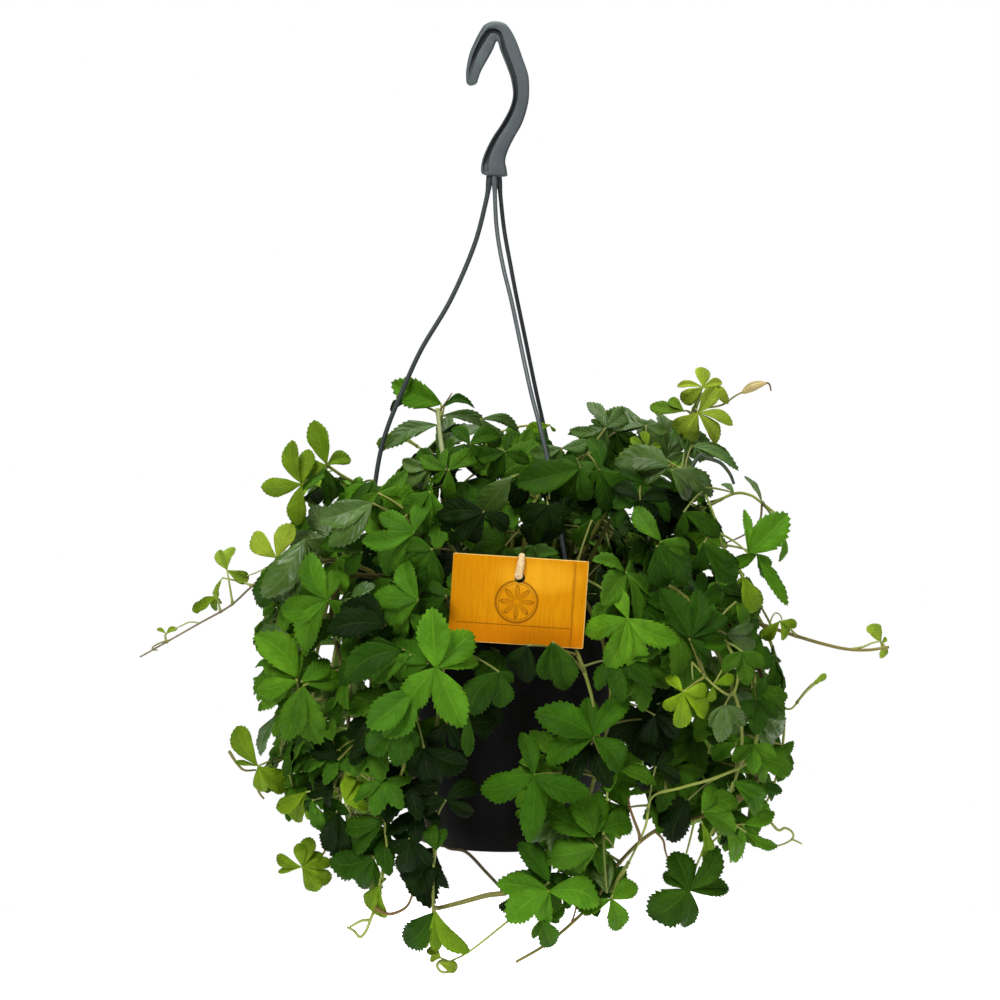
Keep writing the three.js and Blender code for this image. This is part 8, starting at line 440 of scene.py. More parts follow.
    ("back_03","M",0,(102.2,70.4,-358.1),(118.3,74.9,-372.6),(0.56,0.52,0.65),[(131.4,83.4,-405.6,0.24,-0.05),(112.1,101.5,-391.4,0.23,-0.1),(139.5,61.7,-393.1,0.25,0),(97.4,86.9,-373.4,0.2,-0.1),(129.1,51.4,-367.4,0.21,0.1)]),
    ("back_03","B",0,(107.5,77.7,-376.8),(116.1,97.7,-378.3),(0.45,0.63,0.64),[(113.2,118.7,-400.9,0.22,-0.1),(95.2,113.4,-389.6,0.21,0),(126.5,102,-403.3,0.22,-0.05),(97.7,98.7,-369.2,0.22,-0.05),(135.2,89.8,-385.9,0.21,-0.05)]),
    ("back_03","B",0,(84.8,53.6,-330.1),(99.8,38.9,-321),(0.66,0.66,0.35),[(116,20.1,-330.6,0.22,-0.05),(109.5,35.3,-344.4,0.22,0.05),(107.6,18.9,-311.5,0.22,0),(95,45.9,-338.7,0.26,0.05),(92.9,30.5,-305,0.21,0.05)]),
    ("back_03","M",0,(111.5,88.8,-407.1),(130.5,87.2,-400.6),(0.41,0.5,0.76),[(150.5,92.7,-421.1,0.21,0.1),(131.9,103.6,-422.8,0.22,0.1),(152.8,73.1,-411.7,0.24,0.05),(113.3,99.2,-407.9,0.21,-0.1),(133,68.2,-393.2,0.25,-0.05)]),
    ("back_03","K",0,(111.4,96.9,-432.4),(113,116.7,-427.6),(0.72,0.48,0.51),[(99.3,140.1,-451.2,0.26,-0.05),(90.2,136.3,-427.1,0.26,0.05),(123,127.9,-457.4,0.22,0.05),(96.9,118.7,-409.7,0.25,0.1),(125.6,101.2,-442.4,0.24,-0.1)]),
    ("back_03","B",0,(109.4,100.9,-446.5),(134.8,100,-449.8),(0.36,0.83,0.43),[(144.9,103.4,-475.6,0.24,0.05),(126.5,112.5,-471.6,0.2,0),(155.3,89.7,-465.9,0.27,-0.1),(114.9,103.1,-450.5,0.22,-0.1),(143.9,86.9,-439.1,0.23,0)]),
    ("back_03","Y",0,(111,97.7,-435.2),(112.7,109,-451.7),(0.79,0.51,0.34),[(111.6,117.4,-470.1,0.24,0),(100.9,121.1,-457.8,0.24,-0.05),(117.2,102.3,-470.1,0.23,0.1),(101.8,115.8,-446.6,0.22,-0.1),(118.5,97.1,-458.1,0.22,-0.1)]),
    ("back_04","D",0,(71,75.1,-312.4),(81.4,56.3,-318),(0.6,0.41,0.68),[(91.7,74.2,-341.1,0.26,-0.05),(70.5,80.5,-327,0.24,0.05),(99.6,49,-339.8,0.23,-0.1),(61.9,65.4,-316.1,0.26,0),(92.7,36.2,-321.8,0.24,0)]),
    ("back_04","D",0,(71,75.1,-312.4),(57.6,90.8,-305.3),(0.41,0.69,0.6),[(64.9,99.3,-334.4,0.25,0.05),(42.9,111.3,-325.3,0.24,0.1),(82.3,87.9,-322,0.23,-0.05),(36.9,98.8,-308.7,0.24,0),(76.7,75,-306.2,0.25,-0.1)]),
    ("back_04","B",0,(77.2,83.2,-331.5),(85.6,76.5,-312.3),(0.37,0.78,0.51),[(101.5,76.2,-337.9,0.25,0.05),(82.8,84.8,-337,0.23,0.1),(106.9,65.4,-323.5,0.21,0.05),(67,82.2,-318.2,0.22,0.1),(94.7,62.7,-302.3,0.21,-0.05)]),
    ("back_04","B",0,(79.5,86.7,-348),(75.4,116.5,-341.9),(-0.01,0.59,0.81),[(86.9,137,-364.8,0.25,0.05),(63.3,137.9,-363.4,0.22,-0.1),(105.2,124,-354.1,0.24,0.05),(53.6,119,-350.6,0.21,-0.05),(95.7,104.2,-340.1,0.25,0.05)]),
    ("back_04","M",0,(44.6,43.9,-336.4),(46,62,-328.8),(0.52,0.41,0.75),[(30.8,89.4,-343.5,0.21,-0.05),(20.1,74.2,-323.5,0.26,0),(56.3,79.2,-351.8,0.24,0.1),(29.2,50,-315,0.23,-0.1),(64.4,54.1,-343,0.25,0)]),
    ("back_04","K",0,(83.7,94.4,-389.6),(97.5,90.5,-375.8),(0.08,0.63,0.78),[(109.2,105.8,-401.5,0.21,0.05),(87.6,110.7,-396.1,0.21,-0.1),(121.4,95.9,-388.4,0.21,0.05),(75.4,91,-377.5,0.22,-0.05),(111.6,71.5,-370.2,0.21,0)]),
    ("back_04","Y",0,(83.9,94.9,-392.4),(79.8,114,-397.6),(0.42,0.63,0.65),[(80,132.5,-424.8,0.21,0.1),(57.7,130.7,-413.2,0.24,-0.1),(97.2,114.8,-423.2,0.26,0.05),(53.8,119.1,-394.4,0.22,-0.05),(100.4,101.7,-404.1,0.22,0.1)]),
    ("back_04","D",0,(84.6,96.5,-400.7),(95.9,104.2,-415.1),(0.65,0.17,0.74),[(113.8,121.7,-440,0.23,-0.1),(90.9,130.4,-429,0.22,-0.1),(114,96.4,-440.4,0.23,-0.1),(79.3,120.7,-413.6,0.22,0),(103.5,82.4,-422.3,0.23,-0.1)]),
    ("back_04","B",0,(85,101.6,-434.3),(74.5,128.6,-431.1),(0.27,0.71,0.65),[(62.7,146.8,-450.9,0.22,-0.1),(46.5,136.2,-436.6,0.25,0.05),(86.2,137.3,-458.4,0.22,-0.05),(55.7,123.9,-421.5,0.25,0.05),(92.8,128.6,-442.7,0.25,0.05)]),
    ("back_04","M",0,(82.8,102.9,-459.6),(102.5,102.8,-463),(0.37,0.48,0.8),[(126.3,104.3,-482.9,0.23,-0.05),(107.8,122.3,-481.4,0.26,0.1),(125,84.8,-465.1,0.24,0),(91,118.7,-473.5,0.25,0.1),(105.8,80.2,-454.9,0.22,0.1)]),
    ("back_04","B",0,(79.3,102,-479.1),(67.7,125.6,-479),(-0.03,0.56,0.82),[(55.9,141.8,-501.3,0.22,-0.1),(40.9,129.5,-492.1,0.23,0),(77.8,142.9,-498.5,0.26,-0.05),(50.6,113.3,-477.5,0.21,0),(89.4,128.6,-485,0.21,0.1)]),
    ("back_04","M",0,(74.6,99.1,-490.6),(58.6,110.5,-494.6),(0.71,0.61,0.36),[(39.5,128.5,-498.6,0.21,0.1),(39.6,119.6,-481.7,0.24,0),(50.1,125.6,-514.4,0.24,-0.1),(53.4,103.6,-476,0.25,0.05),(63.5,106.6,-514.4,0.27,0.05)]),
    ("back_04","B",0,(76.9,100.6,-484.9),(70.6,102.3,-505.3),(0.14,0.79,0.6),[(65.4,113,-522.2,0.24,0),(53,107,-511,0.23,0),(81.8,107.9,-520.4,0.23,0.05),(56.2,94.9,-501,0.24,0),(85.5,98.1,-509.1,0.25,0.1)]),
    ("back_05","K",0,(48.9,86.7,-321.1),(28.1,81.3,-328.6),(0.41,0.66,0.63),[(16.8,102.2,-348.5,0.26,0.1),(2.6,95.9,-331.2,0.25,0.05),(34,90.3,-354.8,0.26,0.1),(11.3,72.7,-317.9,0.24,-0.05),(46.3,70.5,-339.6,0.22,0)]),
    ("back_05","Y",0,(51.3,89.9,-325.7),(55,109.3,-336),(0.17,0.74,0.65),[(50,127.3,-358,0.26,0.05),(31.5,121.5,-346.2,0.23,-0.05),(72.5,118.5,-356.7,0.25,0.05),(35.2,103.8,-329.9,0.25,0),(76.2,104.2,-341.6,0.21,0.1)]),
    ("back_05","D",0,(67.2,108.8,-364.3),(89.3,116.9,-353.6),(0.16,0.57,0.8),[(123.2,118.2,-369,0.23,-0.1),(101.3,134,-380,0.21,-0.1),(113.6,98.8,-351.7,0.26,0.05),(77.4,132.2,-370.9,0.25,0),(91.1,91.7,-345.1,0.21,-0.1)]),
    ("back_05","D",0,(68.1,109.7,-367.1),(66.1,127.8,-379.7),(0.54,0.3,0.79),[(63.2,155.3,-392.8,0.26,0),(44.2,147.8,-381.3,0.26,-0.1),(79.5,139.6,-404.5,0.25,-0.1),(43,126.2,-372.5,0.22,-0.1),(82.7,123.1,-392.7,0.24,0)]),
    ("back_05","D",0,(52.5,91.5,-328),(74.8,88.7,-317.9),(0.5,0.48,0.71),[(94.5,83.1,-339.3,0.24,-0.05),(82.5,102.1,-341.4,0.23,-0.05),(94.1,68.9,-322.5,0.26,0),(65.9,103.7,-331.1,0.24,-0.1),(78.8,69,-309.3,0.25,0)]),
    ("back_05","M",0,(83.3,122.5,-422),(104.9,128.1,-416),(0.39,0.75,0.54),[(111,137.6,-447.7,0.21,0),(88.2,146.3,-433.3,0.23,0.05),(128.6,122.5,-435.4,0.22,0.1),(79.1,132.1,-417.2,0.26,-0.1),(123.6,114.5,-414.7,0.23,-0.05)]),
    ("back_05","Y",0,(82.7,122.2,-419),(75.5,145.6,-418.4),(0.34,0.81,0.48),[(58,155.8,-435.8,0.24,0.1),(50.8,149.8,-419.3,0.23,0),(77.9,155.6,-443.9,0.24,-0.05),(62.7,136,-405.2,0.26,-0.1),(90.7,144.5,-430.3,0.25,-0.1)]),
    ("back_05","M",0,(87.6,119.9,-455.4),(110.8,129.7,-458.7),(0.76,0.51,0.41),[(122.4,120.5,-490.6,0.21,-0.05),(108,139.3,-488.3,0.26,-0.05),(126.3,106.2,-473.3,0.26,0.05),(93,146.4,-466.3,0.27,0),(115,107.8,-449.3,0.24,0.05)]),
    ("back_05","O",0,(87.8,118.8,-458.3),(82.7,139.3,-466.1),(0.68,0.57,0.46),[(67.5,163.6,-477.9,0.26,0),(57.5,153.8,-458.5,0.26,0),(84.6,153.6,-493.2,0.25,0.05),(70.8,133.4,-445.4,0.22,0.05),(97,133,-485.4,0.23,0)]),
    ("back_05","B",0,(88,117.6,-461.1),(93.9,122.4,-480.2),(0.08,0.72,0.69),[(79.5,129.8,-494.8,0.26,-0.05),(108.7,128.3,-494.8,0.24,-0.05),(76.2,119.9,-478.7,0.24,-0.1),(109,115.9,-482.4,0.23,0.1)]),
    ("back_06","K",0,(18.2,61.6,-325.9),(-6.8,80,-329.9),(-0.17,0.56,0.81),[(-27.9,90.5,-345.9,0.24,0),(-29.7,69.2,-334.3,0.25,0),(-3.5,98.3,-346.6,0.24,0),(-18.4,62.9,-325.4,0.21,0),(7.3,89.6,-338.6,0.25,0.05)]),
    ("back_06","M",0,(25,104,-318.5),(15,101.4,-299.5),(0.1,0.34,0.93),[(5.5,130,-312.3,0.23,0.1),(-16.1,114.2,-306.6,0.22,0.05),(32.9,123.9,-315.5,0.25,0),(-7.4,93.6,-299.1,0.2,0.05),(38.3,101.5,-308.3,0.23,-0.1)]),
    ("back_06","Y",0,(25.2,105.7,-321.1),(41.5,122.1,-311.9),(0.05,0.83,0.55),[(56.7,128.3,-334.8,0.23,-0.1),(37.2,131.9,-338.1,0.22,-0.05),(66.6,122.5,-319.2,0.23,0),(23.2,125.2,-322.2,0.23,0),(56.8,112.3,-304.6,0.23,0.1)]),
    ("back_06","B",0,(25.5,112.2,-345.4),(19.8,133.1,-340.6),(0.31,0.64,0.7),[(7.3,152.1,-364.7,0.25,0.1),(-10.5,140.8,-348.6,0.22,0),(31.1,145.9,-365.4,0.21,0.1),(-1.2,123,-331,0.26,-0.1),(41,125.2,-347.3,0.21,-0.1)]),
    ("back_06","S",0,(19.1,66,-314.2),(34.3,78.3,-310),(0.23,0.88,0.42),[(51.3,76.5,-337.6,0.22,-0.1),(26.3,85.9,-340.4,0.25,0.1),(61.3,68.1,-314.3,0.24,-0.05),(13.5,84,-315.9,0.23,-0.05),(47,64.7,-298,0.25,0.05)]),
    ("back_06","B",0,(25.4,117.9,-373.1),(45.4,123,-373.7),(-0.04,0.8,0.59),[(69.1,139.3,-398.2,0.26,0),(38.2,139,-402.8,0.24,-0.1),(78.8,119.4,-374.1,0.25,-0.1),(24.7,126.8,-385.3,0.21,0.05),(61.7,111.2,-360.7,0.21,0)]),
    ("back_06","B",0,(23.2,125.8,-409.9),(10.8,133.6,-396.4),(0.43,0.76,0.5),[(3.9,145.6,-421.6,0.25,0.05),(-9.1,147,-403.2,0.24,0.1),(23.3,135.5,-418,0.22,0),(-8.4,135.7,-388.8,0.21,0.1),(26.5,122.4,-404.6,0.21,-0.05)]),
    ("back_06","M",0,(21.8,127.9,-422.2),(36.7,145.8,-424.6),(-0.23,0.89,0.39),[(55.4,152.9,-454.5,0.24,0.05),(29.5,154.5,-457.8,0.21,-0.05),(66.9,147.7,-432.9,0.25,-0.05),(15.2,140,-439.1,0.22,-0.05),(58,141.4,-409.2,0.22,-0.05)]),
    ("back_06","B",0,(22.3,127.8,-419.1),(3.5,146.1,-415.2),(0.34,0.56,0.76),[(3.3,167.7,-437.4,0.24,0.05),(-17.5,160.9,-424,0.23,-0.05),(22.2,148.1,-435.2,0.22,-0.05),(-16.3,144.4,-407.5,0.24,-0.05),(20.8,133.3,-419.5,0.24,0.1)]),
    ("back_06","D",0,(17.6,127.9,-450.1),(36.6,132.1,-445.5),(0.08,0.82,0.56),[(63.5,131,-455.1,0.22,-0.05),(49,141.9,-465.8,0.23,0.05),(56.8,118.4,-438,0.24,0),(29.2,140,-463.7,0.22,0.05),(38.7,116.7,-433.1,0.23,0.1)]),
    ("back_06","D",0,(13.6,124.1,-471.3),(-0.8,137.4,-467.5),(0.22,0.79,0.57),[(-24,143.7,-480,0.22,0),(-27.6,134.3,-459.9,0.24,-0.05),(-4.9,151.1,-488.8,0.25,0),(-8.8,125.6,-453.3,0.24,0),(13.8,141.1,-482.1,0.26,0)]),
    ("back_06","Y",0,(11.7,121.4,-480.2),(4.3,123,-497.8),(0.24,0.56,0.79),[(-5.5,137.5,-507,0.23,0.1),(-14.6,126.1,-498.9,0.25,0.05),(9.6,135.6,-509.7,0.22,0.1),(-9.1,116.5,-493,0.25,0.1),(15.4,124.8,-507.9,0.24,0)]),
    ("back_07","M",0,(-2.7,118.8,-350.2),(-5.8,103.3,-334.6),(0.09,0.92,0.38),[(-20.3,111.3,-360,0.22,0.05),(-30.6,103.6,-341.1,0.22,-0.05),(3.5,106.4,-358.2,0.23,-0.1),(-22.9,97,-325.3,0.26,0),(12.4,101.3,-344.7,0.21,0)]),
    ("back_07","B",0,(-2.4,117.3,-347.5),(-21.1,120.2,-336.5),(-0.36,0.84,0.41),[(-38.9,118.9,-357,0.21,0.1),(-44.1,109.6,-338.9,0.22,0.1),(-21.9,129,-359.1,0.23,-0.1),(-28.9,107.5,-325.4,0.25,-0.1),(-7.7,126.3,-348.2,0.22,0)]),
    ("back_07","D",0,(-4.1,124.4,-361.2),(5.1,143.9,-358.8),(0.12,0.73,0.68),[(19.9,160.4,-382.1,0.22,0),(-4.5,159.9,-385.2,0.23,-0.05),(33.2,144.9,-371.9,0.22,0.1),(-17.2,148.7,-364.7,0.26,0),(23.4,128.8,-353.4,0.23,0.05)]),
    ("back_07","B",0,(-8.9,137.3,-392.5),(-35.9,147.4,-385.1),(-0.1,0.71,0.7),[(-54.6,156.7,-404.5,0.21,0.05),(-59.7,139.4,-388.6,0.26,0.05),(-29.4,164.3,-405.1,0.23,0.1),(-47.6,131.7,-379.3,0.24,0),(-20.5,155.3,-395,0.26,0.1)]),
    ("back_07","B",0,(-1.4,112,-340),(12.1,105.8,-326.3),(0.23,0.7,0.67),[(25.9,115.2,-351.4,0.21,0),(5.9,119.9,-350.6,0.23,-0.05),(40.3,102.5,-338,0.23,0),(-9,108.8,-330.3,0.25,-0.05),(25.1,88.6,-322.1,0.23,0.05)]),
    ("back_07","D",0,(-8.4,136.5,-389.6),(5.2,148.3,-397.1),(-0.5,0.67,0.54),[(26.2,169.1,-412.3,0.26,0.1),(1.6,161.7,-421.6,0.23,-0.1),(31.3,158.1,-390,0.25,0.05),(-10.1,146.9,-412.5,0.22,0.1),(18,138.7,-381.4,0.26,-0.05)]),
    ("back_07","D",0,(-15.6,145.5,-431.4),(-21.5,159.6,-417.6),(0.02,0.84,0.54),[(-39,168.2,-439.5,0.24,0.05),(-48.8,152.9,-422.3,0.24,0.1),(-14.1,167,-443.1,0.23,-0.05),(-33.7,149,-403.1,0.21,-0.1),(-1.4,160.7,-423.7,0.23,0)]),
    ("back_07","D",0,(-16.1,145.9,-434.4),(2.1,154.1,-432),(-0.09,0.87,0.48),[(12.9,163.2,-464.6,0.23,-0.05),(-13.8,157.9,-457.4,0.24,0),(28.5,160.4,-442.1,0.24,0.05),(-20.3,149.8,-436.8,0.22,0.05),(24.5,145.3,-426.1,0.25,0.05)]),
    ("back_07","Y",0,(-18.1,146,-446.7),(-23.9,152.9,-463.2),(0.14,0.77,0.62),[(-26.1,160.4,-481,0.26,0),(-39.6,157.7,-472.9,0.21,-0.05),(-11.4,157.3,-475.2,0.23,0),(-38.1,150.3,-458.1,0.21,0),(-10.4,148.2,-463,0.23,0.05)]),
    ("back_08","M",0,(-23.1,104.9,-327.6),(-36.1,104.9,-310.3),(0.08,0.9,0.42),[(-60.7,114.8,-332.6,0.23,-0.1),(-70.2,97.6,-312.4,0.24,0),(-34,108.6,-344.6,0.22,0.1),(-52.1,95.1,-293.9,0.22,0.05),(-18.5,109.1,-326.6,0.24,-0.1)]),
    ("back_08","D",0,(-23.1,104.9,-327.6),(-7.4,127.7,-319.3),(0.16,0.68,0.71),[(-0.5,140.3,-341.7,0.25,0.1),(-22.7,143.1,-336.2,0.27,0),(14.2,128.9,-331.8,0.25,0.05),(-26.8,128,-318.1,0.24,0.05),(6.4,113.1,-313.1,0.21,-0.05)]),
    ("back_08","M",0,(-24.4,115.6,-372.2),(-46,127.9,-368.8),(-0.19,0.65,0.74),[(-58.8,141.5,-398.9,0.23,0),(-77.2,125.2,-380.7,0.23,0.1),(-31.4,144.6,-390.2,0.21,-0.1),(-64,110.3,-366.4,0.23,0),(-23.4,133.2,-372.3,0.22,0)]),
    ("back_08","D",0,(-24.2,121.8,-399.1),(-12.2,125.6,-381.9),(-0.43,0.85,0.31),[(1.7,132,-407.2,0.26,0.1),(-23.8,126.8,-406.5,0.25,0),(12.3,134.8,-385.9,0.26,-0.05),(-30.3,117.5,-389.6,0.22,-0.1),(2.3,124.3,-369,0.21,-0.05)]),
    ("back_08","D",0,(-11.7,57.9,-333.4),(-28.6,64,-324.6),(0.23,0.67,0.71),[(-35.3,81.5,-346.2,0.23,-0.1),(-54.4,73.8,-333.5,0.22,0.05),(-12.9,75.2,-344.1,0.22,0),(-48.5,58.9,-317.6,0.26,-0.1),(-7.3,56.5,-328.1,0.24,0.05)]),
    ("back_08","M",0,(-22.4,101.6,-322.5),(-4.9,94,-316.7),(-0.54,0.65,0.54),[(6.4,110.1,-337.4,0.21,-0.1),(-16.3,101.1,-341.8,0.23,0.1),(21.4,105.7,-319.8,0.23,0.1),(-20.1,86.3,-327.1,0.22,-0.1),(12.8,90.1,-303.4,0.21,0.1)]),
    ("back_08","B",0,(-24.1,122.3,-402.1),(-42,126.4,-409.4),(-0.13,0.84,0.53),[(-55.5,129.9,-435.7,0.22,-0.1),(-68.5,126,-418.2,0.24,0),(-35.2,137.9,-436.5,0.21,-0.05),(-55.1,112.7,-399.6,0.26,0.05),(-21.9,127.5,-415.2,0.21,-0.05)]),
    ("back_08","K",0,(-22.9,125.9,-420.1),(-18.4,144.3,-427),(0.19,0.84,0.51),[(-7.5,150.6,-456.6,0.22,-0.05),(-31.1,154.2,-454.3,0.24,0),(8.4,137.5,-446.2,0.21,-0.05),(-43.2,149,-431.8,0.26,0.1),(3,131.2,-420.9,0.26,0.05)]),
    ("back_08","M",0,(-21.6,126.6,-432.2),(-41.3,128.3,-429.4),(-0.41,0.77,0.5),[(-57,125.1,-452.5,0.22,0),(-61,111.9,-434.5,0.25,0),(-35.9,137.9,-455,0.21,0.05),(-50.9,114.2,-419.8,0.24,0),(-27,135.8,-439.8,0.24,0.05)]),
    ("back_08","D",0,(-19.3,126.3,-450.4),(5.7,144.5,-450.9),(-0.52,0.67,0.53),[(22.1,164,-470.7,0.25,0),(1.5,153.1,-481.3,0.22,0),(36.8,152.9,-450.5,0.21,0.1),(-13.3,138.9,-466.6,0.23,-0.05),(22.6,139.7,-435.9,0.24,-0.1)]),
    ("back_08","M",0,(-11.1,114.9,-494),(-30.8,124.7,-500.4),(0.2,0.69,0.7),[(-49.1,139.5,-519.8,0.25,0.05),(-59.6,126.1,-503.5,0.21,0.1),(-25.8,140.6,-525.2,0.21,0),(-48.8,114.5,-489.5,0.23,0),(-14.4,125,-513.1,0.23,-0.05)]),
    ("back_08","O",0,(-14.6,120.7,-476.9),(-13.8,120,-497.2),(-0.53,0.72,0.45),[(-9.4,131.1,-521,0.24,0.05),(-27.1,119.5,-518,0.26,0),(4.9,135.7,-503.7,0.22,0.05),(-27.6,110.7,-502.9,0.24,0),(2.9,127,-491.5,0.23,0.05)]),
    ("back_09","M",0,(-33.4,66.7,-330.7),(-55.1,59.2,-330.8),(-0.33,0.88,0.35),[(-79.3,47.9,-337.9,0.26,-0.05),(-70.1,42.3,-316.2,0.25,-0.05),(-67.5,60.3,-353.3,0.24,-0.1),(-48.4,49.5,-315.4,0.25,0.1),(-44.3,66.5,-347,0.22,-0.05)]),
    ("back_09","K",0,(-53.3,95.7,-338.5),(-75.6,98.5,-340.1),(-0.77,0.45,0.45),[(-84.1,92,-364.4,0.22,0.05),(-91.4,78.1,-349.6,0.25,-0.1),(-78.5,111.2,-363.8,0.26,-0.05),(-75.3,79.8,-328.9,0.22,-0.1),(-63.5,115.3,-340.7,0.25,0.1)]),
    ("back_09","O",0,(-60.8,105,-358.1),(-59.2,122.2,-344.3),(-0.29,0.63,0.72),[(-47.9,148.5,-365.9,0.25,-0.1),(-71.9,133,-372.4,0.27,0),(-31.9,133.1,-351.5,0.25,-0.1),(-80.6,113.2,-355,0.24,-0.05),(-39.8,111.2,-333.6,0.26,-0.05)]),
    ("back_09","D",0,(-67.9,112.2,-378.9),(-88.6,123,-367.1),(-0.33,0.74,0.58),[(-98.6,138.2,-396.6,0.24,0),(-113.8,116,-386.2,0.26,-0.1),(-69.9,137.4,-390.6,0.25,0.1),(-105.2,105.5,-362.4,0.23,-0.1),(-64.3,126.7,-365.2,0.26,0.1)]),
    ("back_09","D",0,(-34.5,68.5,-325.3),(-35.1,88.6,-320.2),(-0.66,0.41,0.63),[(-32.9,109.4,-337.7,0.21,0.05),(-45,94.3,-343.8,0.24,0.1),(-18.7,111.9,-321.8,0.23,-0.05),(-46,74.2,-332.2,0.23,0.1),(-16.6,89,-310.7,0.23,0)]),
    ("back_09","M",0,(-72.5,116.1,-392),(-62,132.6,-396.6),(-0.64,0.45,0.62),[(-56.1,160.6,-415.3,0.21,0.1),(-71.7,141.4,-422.4,0.24,-0.1),(-40.6,152.9,-397.9,0.25,0.1),(-75.2,118.7,-408.4,0.24,-0.1),(-45.7,131.7,-381.3,0.26,0.05)]),
    ("back_09","M",0,(-82,117.2,-445.4),(-90.4,120.7,-427.2),(-0.44,0.35,0.82),[(-105.3,133.6,-453.3,0.25,0.05),(-86.1,146,-442.3,0.21,0.1),(-102.5,101.7,-427.4,0.24,0.1),(-71,133.9,-430,0.26,0.05)]),
    ("back_09","B",0,(-80.9,118.4,-434),(-63.5,141.9,-437),(-0.29,0.86,0.42),[(-48.4,151.1,-461.5,0.26,-0.1),(-71.7,148.7,-462.3,0.23,0.1),(-37.8,148.5,-442.4,0.25,-0.05),(-81.7,138.4,-445.1,0.24,0.1),(-47.2,138.8,-424,0.21,-0.05)]),
    ("back_09","Y",0,(-81.8,107.1,-481.4),(-98.6,107,-471.1),(-0.43,0.83,0.36),[(-111.9,112.3,-504.2,0.24,0.05),(-124.8,94,-487,0.23,0),(-86.4,122.4,-496.2,0.23,0),(-115.6,90.3,-464.7,0.23,0),(-76.5,116.2,-476.3,0.26,-0.05)]),
    ("back_09","B",0,(-82.2,109.3,-476),(-84.3,137,-486.4),(-0.66,0.59,0.46),[(-81,151.2,-517.7,0.21,-0.05),(-101.1,134.4,-512.2,0.22,0.05),(-66,155.7,-498.7,0.26,0),(-99.4,121.2,-491.5,0.25,0),(-65.6,146.5,-476.4,0.23,-0.05)]),
    ("back_09","Y",0,(-82.4,110.4,-473.4),(-86.8,105.9,-492.4),(-0.51,0.53,0.68),[(-90.2,118.8,-507.8,0.21,0.1),(-98.2,106.1,-506.4,0.21,-0.05),(-77.2,120.8,-500.1,0.22,-0.1),(-96.8,95.4,-496.5,0.26,0.05),(-73,110.2,-489.9,0.21,0.1)]),
    ("back_10","D",0,(-61.2,67,-305),(-41,62.7,-310.8),(-0.76,0.55,0.34),[(-22.7,80.4,-326.8,0.25,-0.05),(-39.8,70.1,-338.6,0.25,0.1),(-17.9,76.4,-303.1,0.24,0),(-51.5,52.1,-325.6,0.23,0.1),(-29.6,57.6,-293.6,0.23,0.1)]),
    ("back_10","S",0,(-63.4,69.1,-305.6),(-82.4,51.8,-293.7),(-0.35,0.44,0.83),[(-105.5,42,-309.5,0.22,0.1),(-98,27.1,-291.3,0.25,0.05),(-101.3,64.7,-311.6,0.24,-0.1),(-72.7,33.2,-287,0.26,0.1),(-71.2,67.8,-306.3,0.24,-0.05)]),
    ("back_10","O",0,(-67.7,72.6,-315.6),(-72,97.6,-306.1),(-0.72,0.58,0.38),[(-58.9,114.2,-328.1,0.22,-0.05),(-77.1,97.7,-333.6,0.21,-0.1),(-50.5,114.1,-305.6,0.26,0.05),(-82,86.6,-319.8,0.24,0.1),(-57.2,103.8,-291.5,0.22,0)]),
    ("back_10","B",0,(-78,80.8,-353.6),(-104.5,91.3,-347.4),(-0.71,0.47,0.52),[(-120.7,83.6,-370.4,0.24,0),(-116.6,68.7,-352.3,0.23,0.1),(-106.6,102.1,-368.4,0.21,0.1),(-107.1,75.1,-338.4,0.21,0),(-96.8,105.3,-356.3,0.25,-0.05)]),
    ("back_10","S",0,(-37.1,43.7,-329.8),(-64.9,47.5,-334.8),(-0.61,0.42,0.67),[(-84,48.3,-359.8,0.21,0),(-83.5,30.5,-346.4,0.21,-0.05),(-70.2,63.6,-354.4,0.23,-0.1),(-63.8,27.1,-328.8,0.25,0.05),(-48.4,63,-334.4,0.22,-0.05)]),
    ("back_10","D",0,(-79,81.4,-359.3),(-70.7,97.8,-367.4),(-0.68,0.62,0.39),[(-62.3,111.9,-395.8,0.24,0.05),(-77.7,94.3,-398.7,0.23,0),(-49.1,117.2,-379.6,0.23,0),(-84.4,80.6,-377.4,0.21,-0.1),(-52.6,107.5,-357.4,0.21,-0.1)]),
    ("back_10","M",0,(-86.3,85,-399.2),(-102.6,85.8,-387.3),(-0.16,0.53,0.83),[(-124.4,71.3,-389.6,0.26,-0.1),(-106,101.3,-406.7,0.24,0.1),(-108.4,66.6,-382,0.22,0),(-92.9,99,-398,0.23,-0.1)]),
    ("back_10","M",0,(-86.3,85,-399.2),(-86.8,115.7,-397.9),(-0.7,0.21,0.68),[(-96.5,126.6,-423.6,0.26,-0.05),(-70.4,140.2,-392.7,0.23,-0.05),(-96.4,103.2,-412.7,0.23,-0.1),(-68.5,111.1,-383.4,0.26,-0.1)]),
    ("back_10","M",0,(-92.4,85.2,-436.4),(-119.2,76,-434.2),(-0.77,0.57,0.29),[(-130.4,64.6,-457.8,0.23,-0.1),(-133.4,55,-438.8,0.25,0.05),(-117.7,81.6,-460.3,0.24,-0.1),(-120.7,59.8,-424.5,0.22,0.1),(-109.7,90.6,-442.9,0.25,-0.1)]),
    ("back_10","M",0,(-93.9,83.7,-453.7),(-93.9,111,-456.1),(-0.85,0.41,0.33),[(-79.9,131.2,-469,0.24,-0.05),(-96.6,120.2,-479.1,0.26,0),(-78.3,130.3,-446.5,0.23,-0.05),(-103.4,102.1,-473.4,0.24,0),(-83.4,109.1,-439.9,0.23,0.05)]),
    ("back_10","Y",0,(-93.4,77.8,-482.2),(-117,72.6,-482),(-0.85,0.07,0.51),[(-121.2,50.4,-496,0.22,-0.05),(-122.4,92.4,-498.9,0.22,0.1),(-116.2,53.2,-480,0.23,-0.05),(-110.2,92.3,-486.7,0.22,0.1)]),
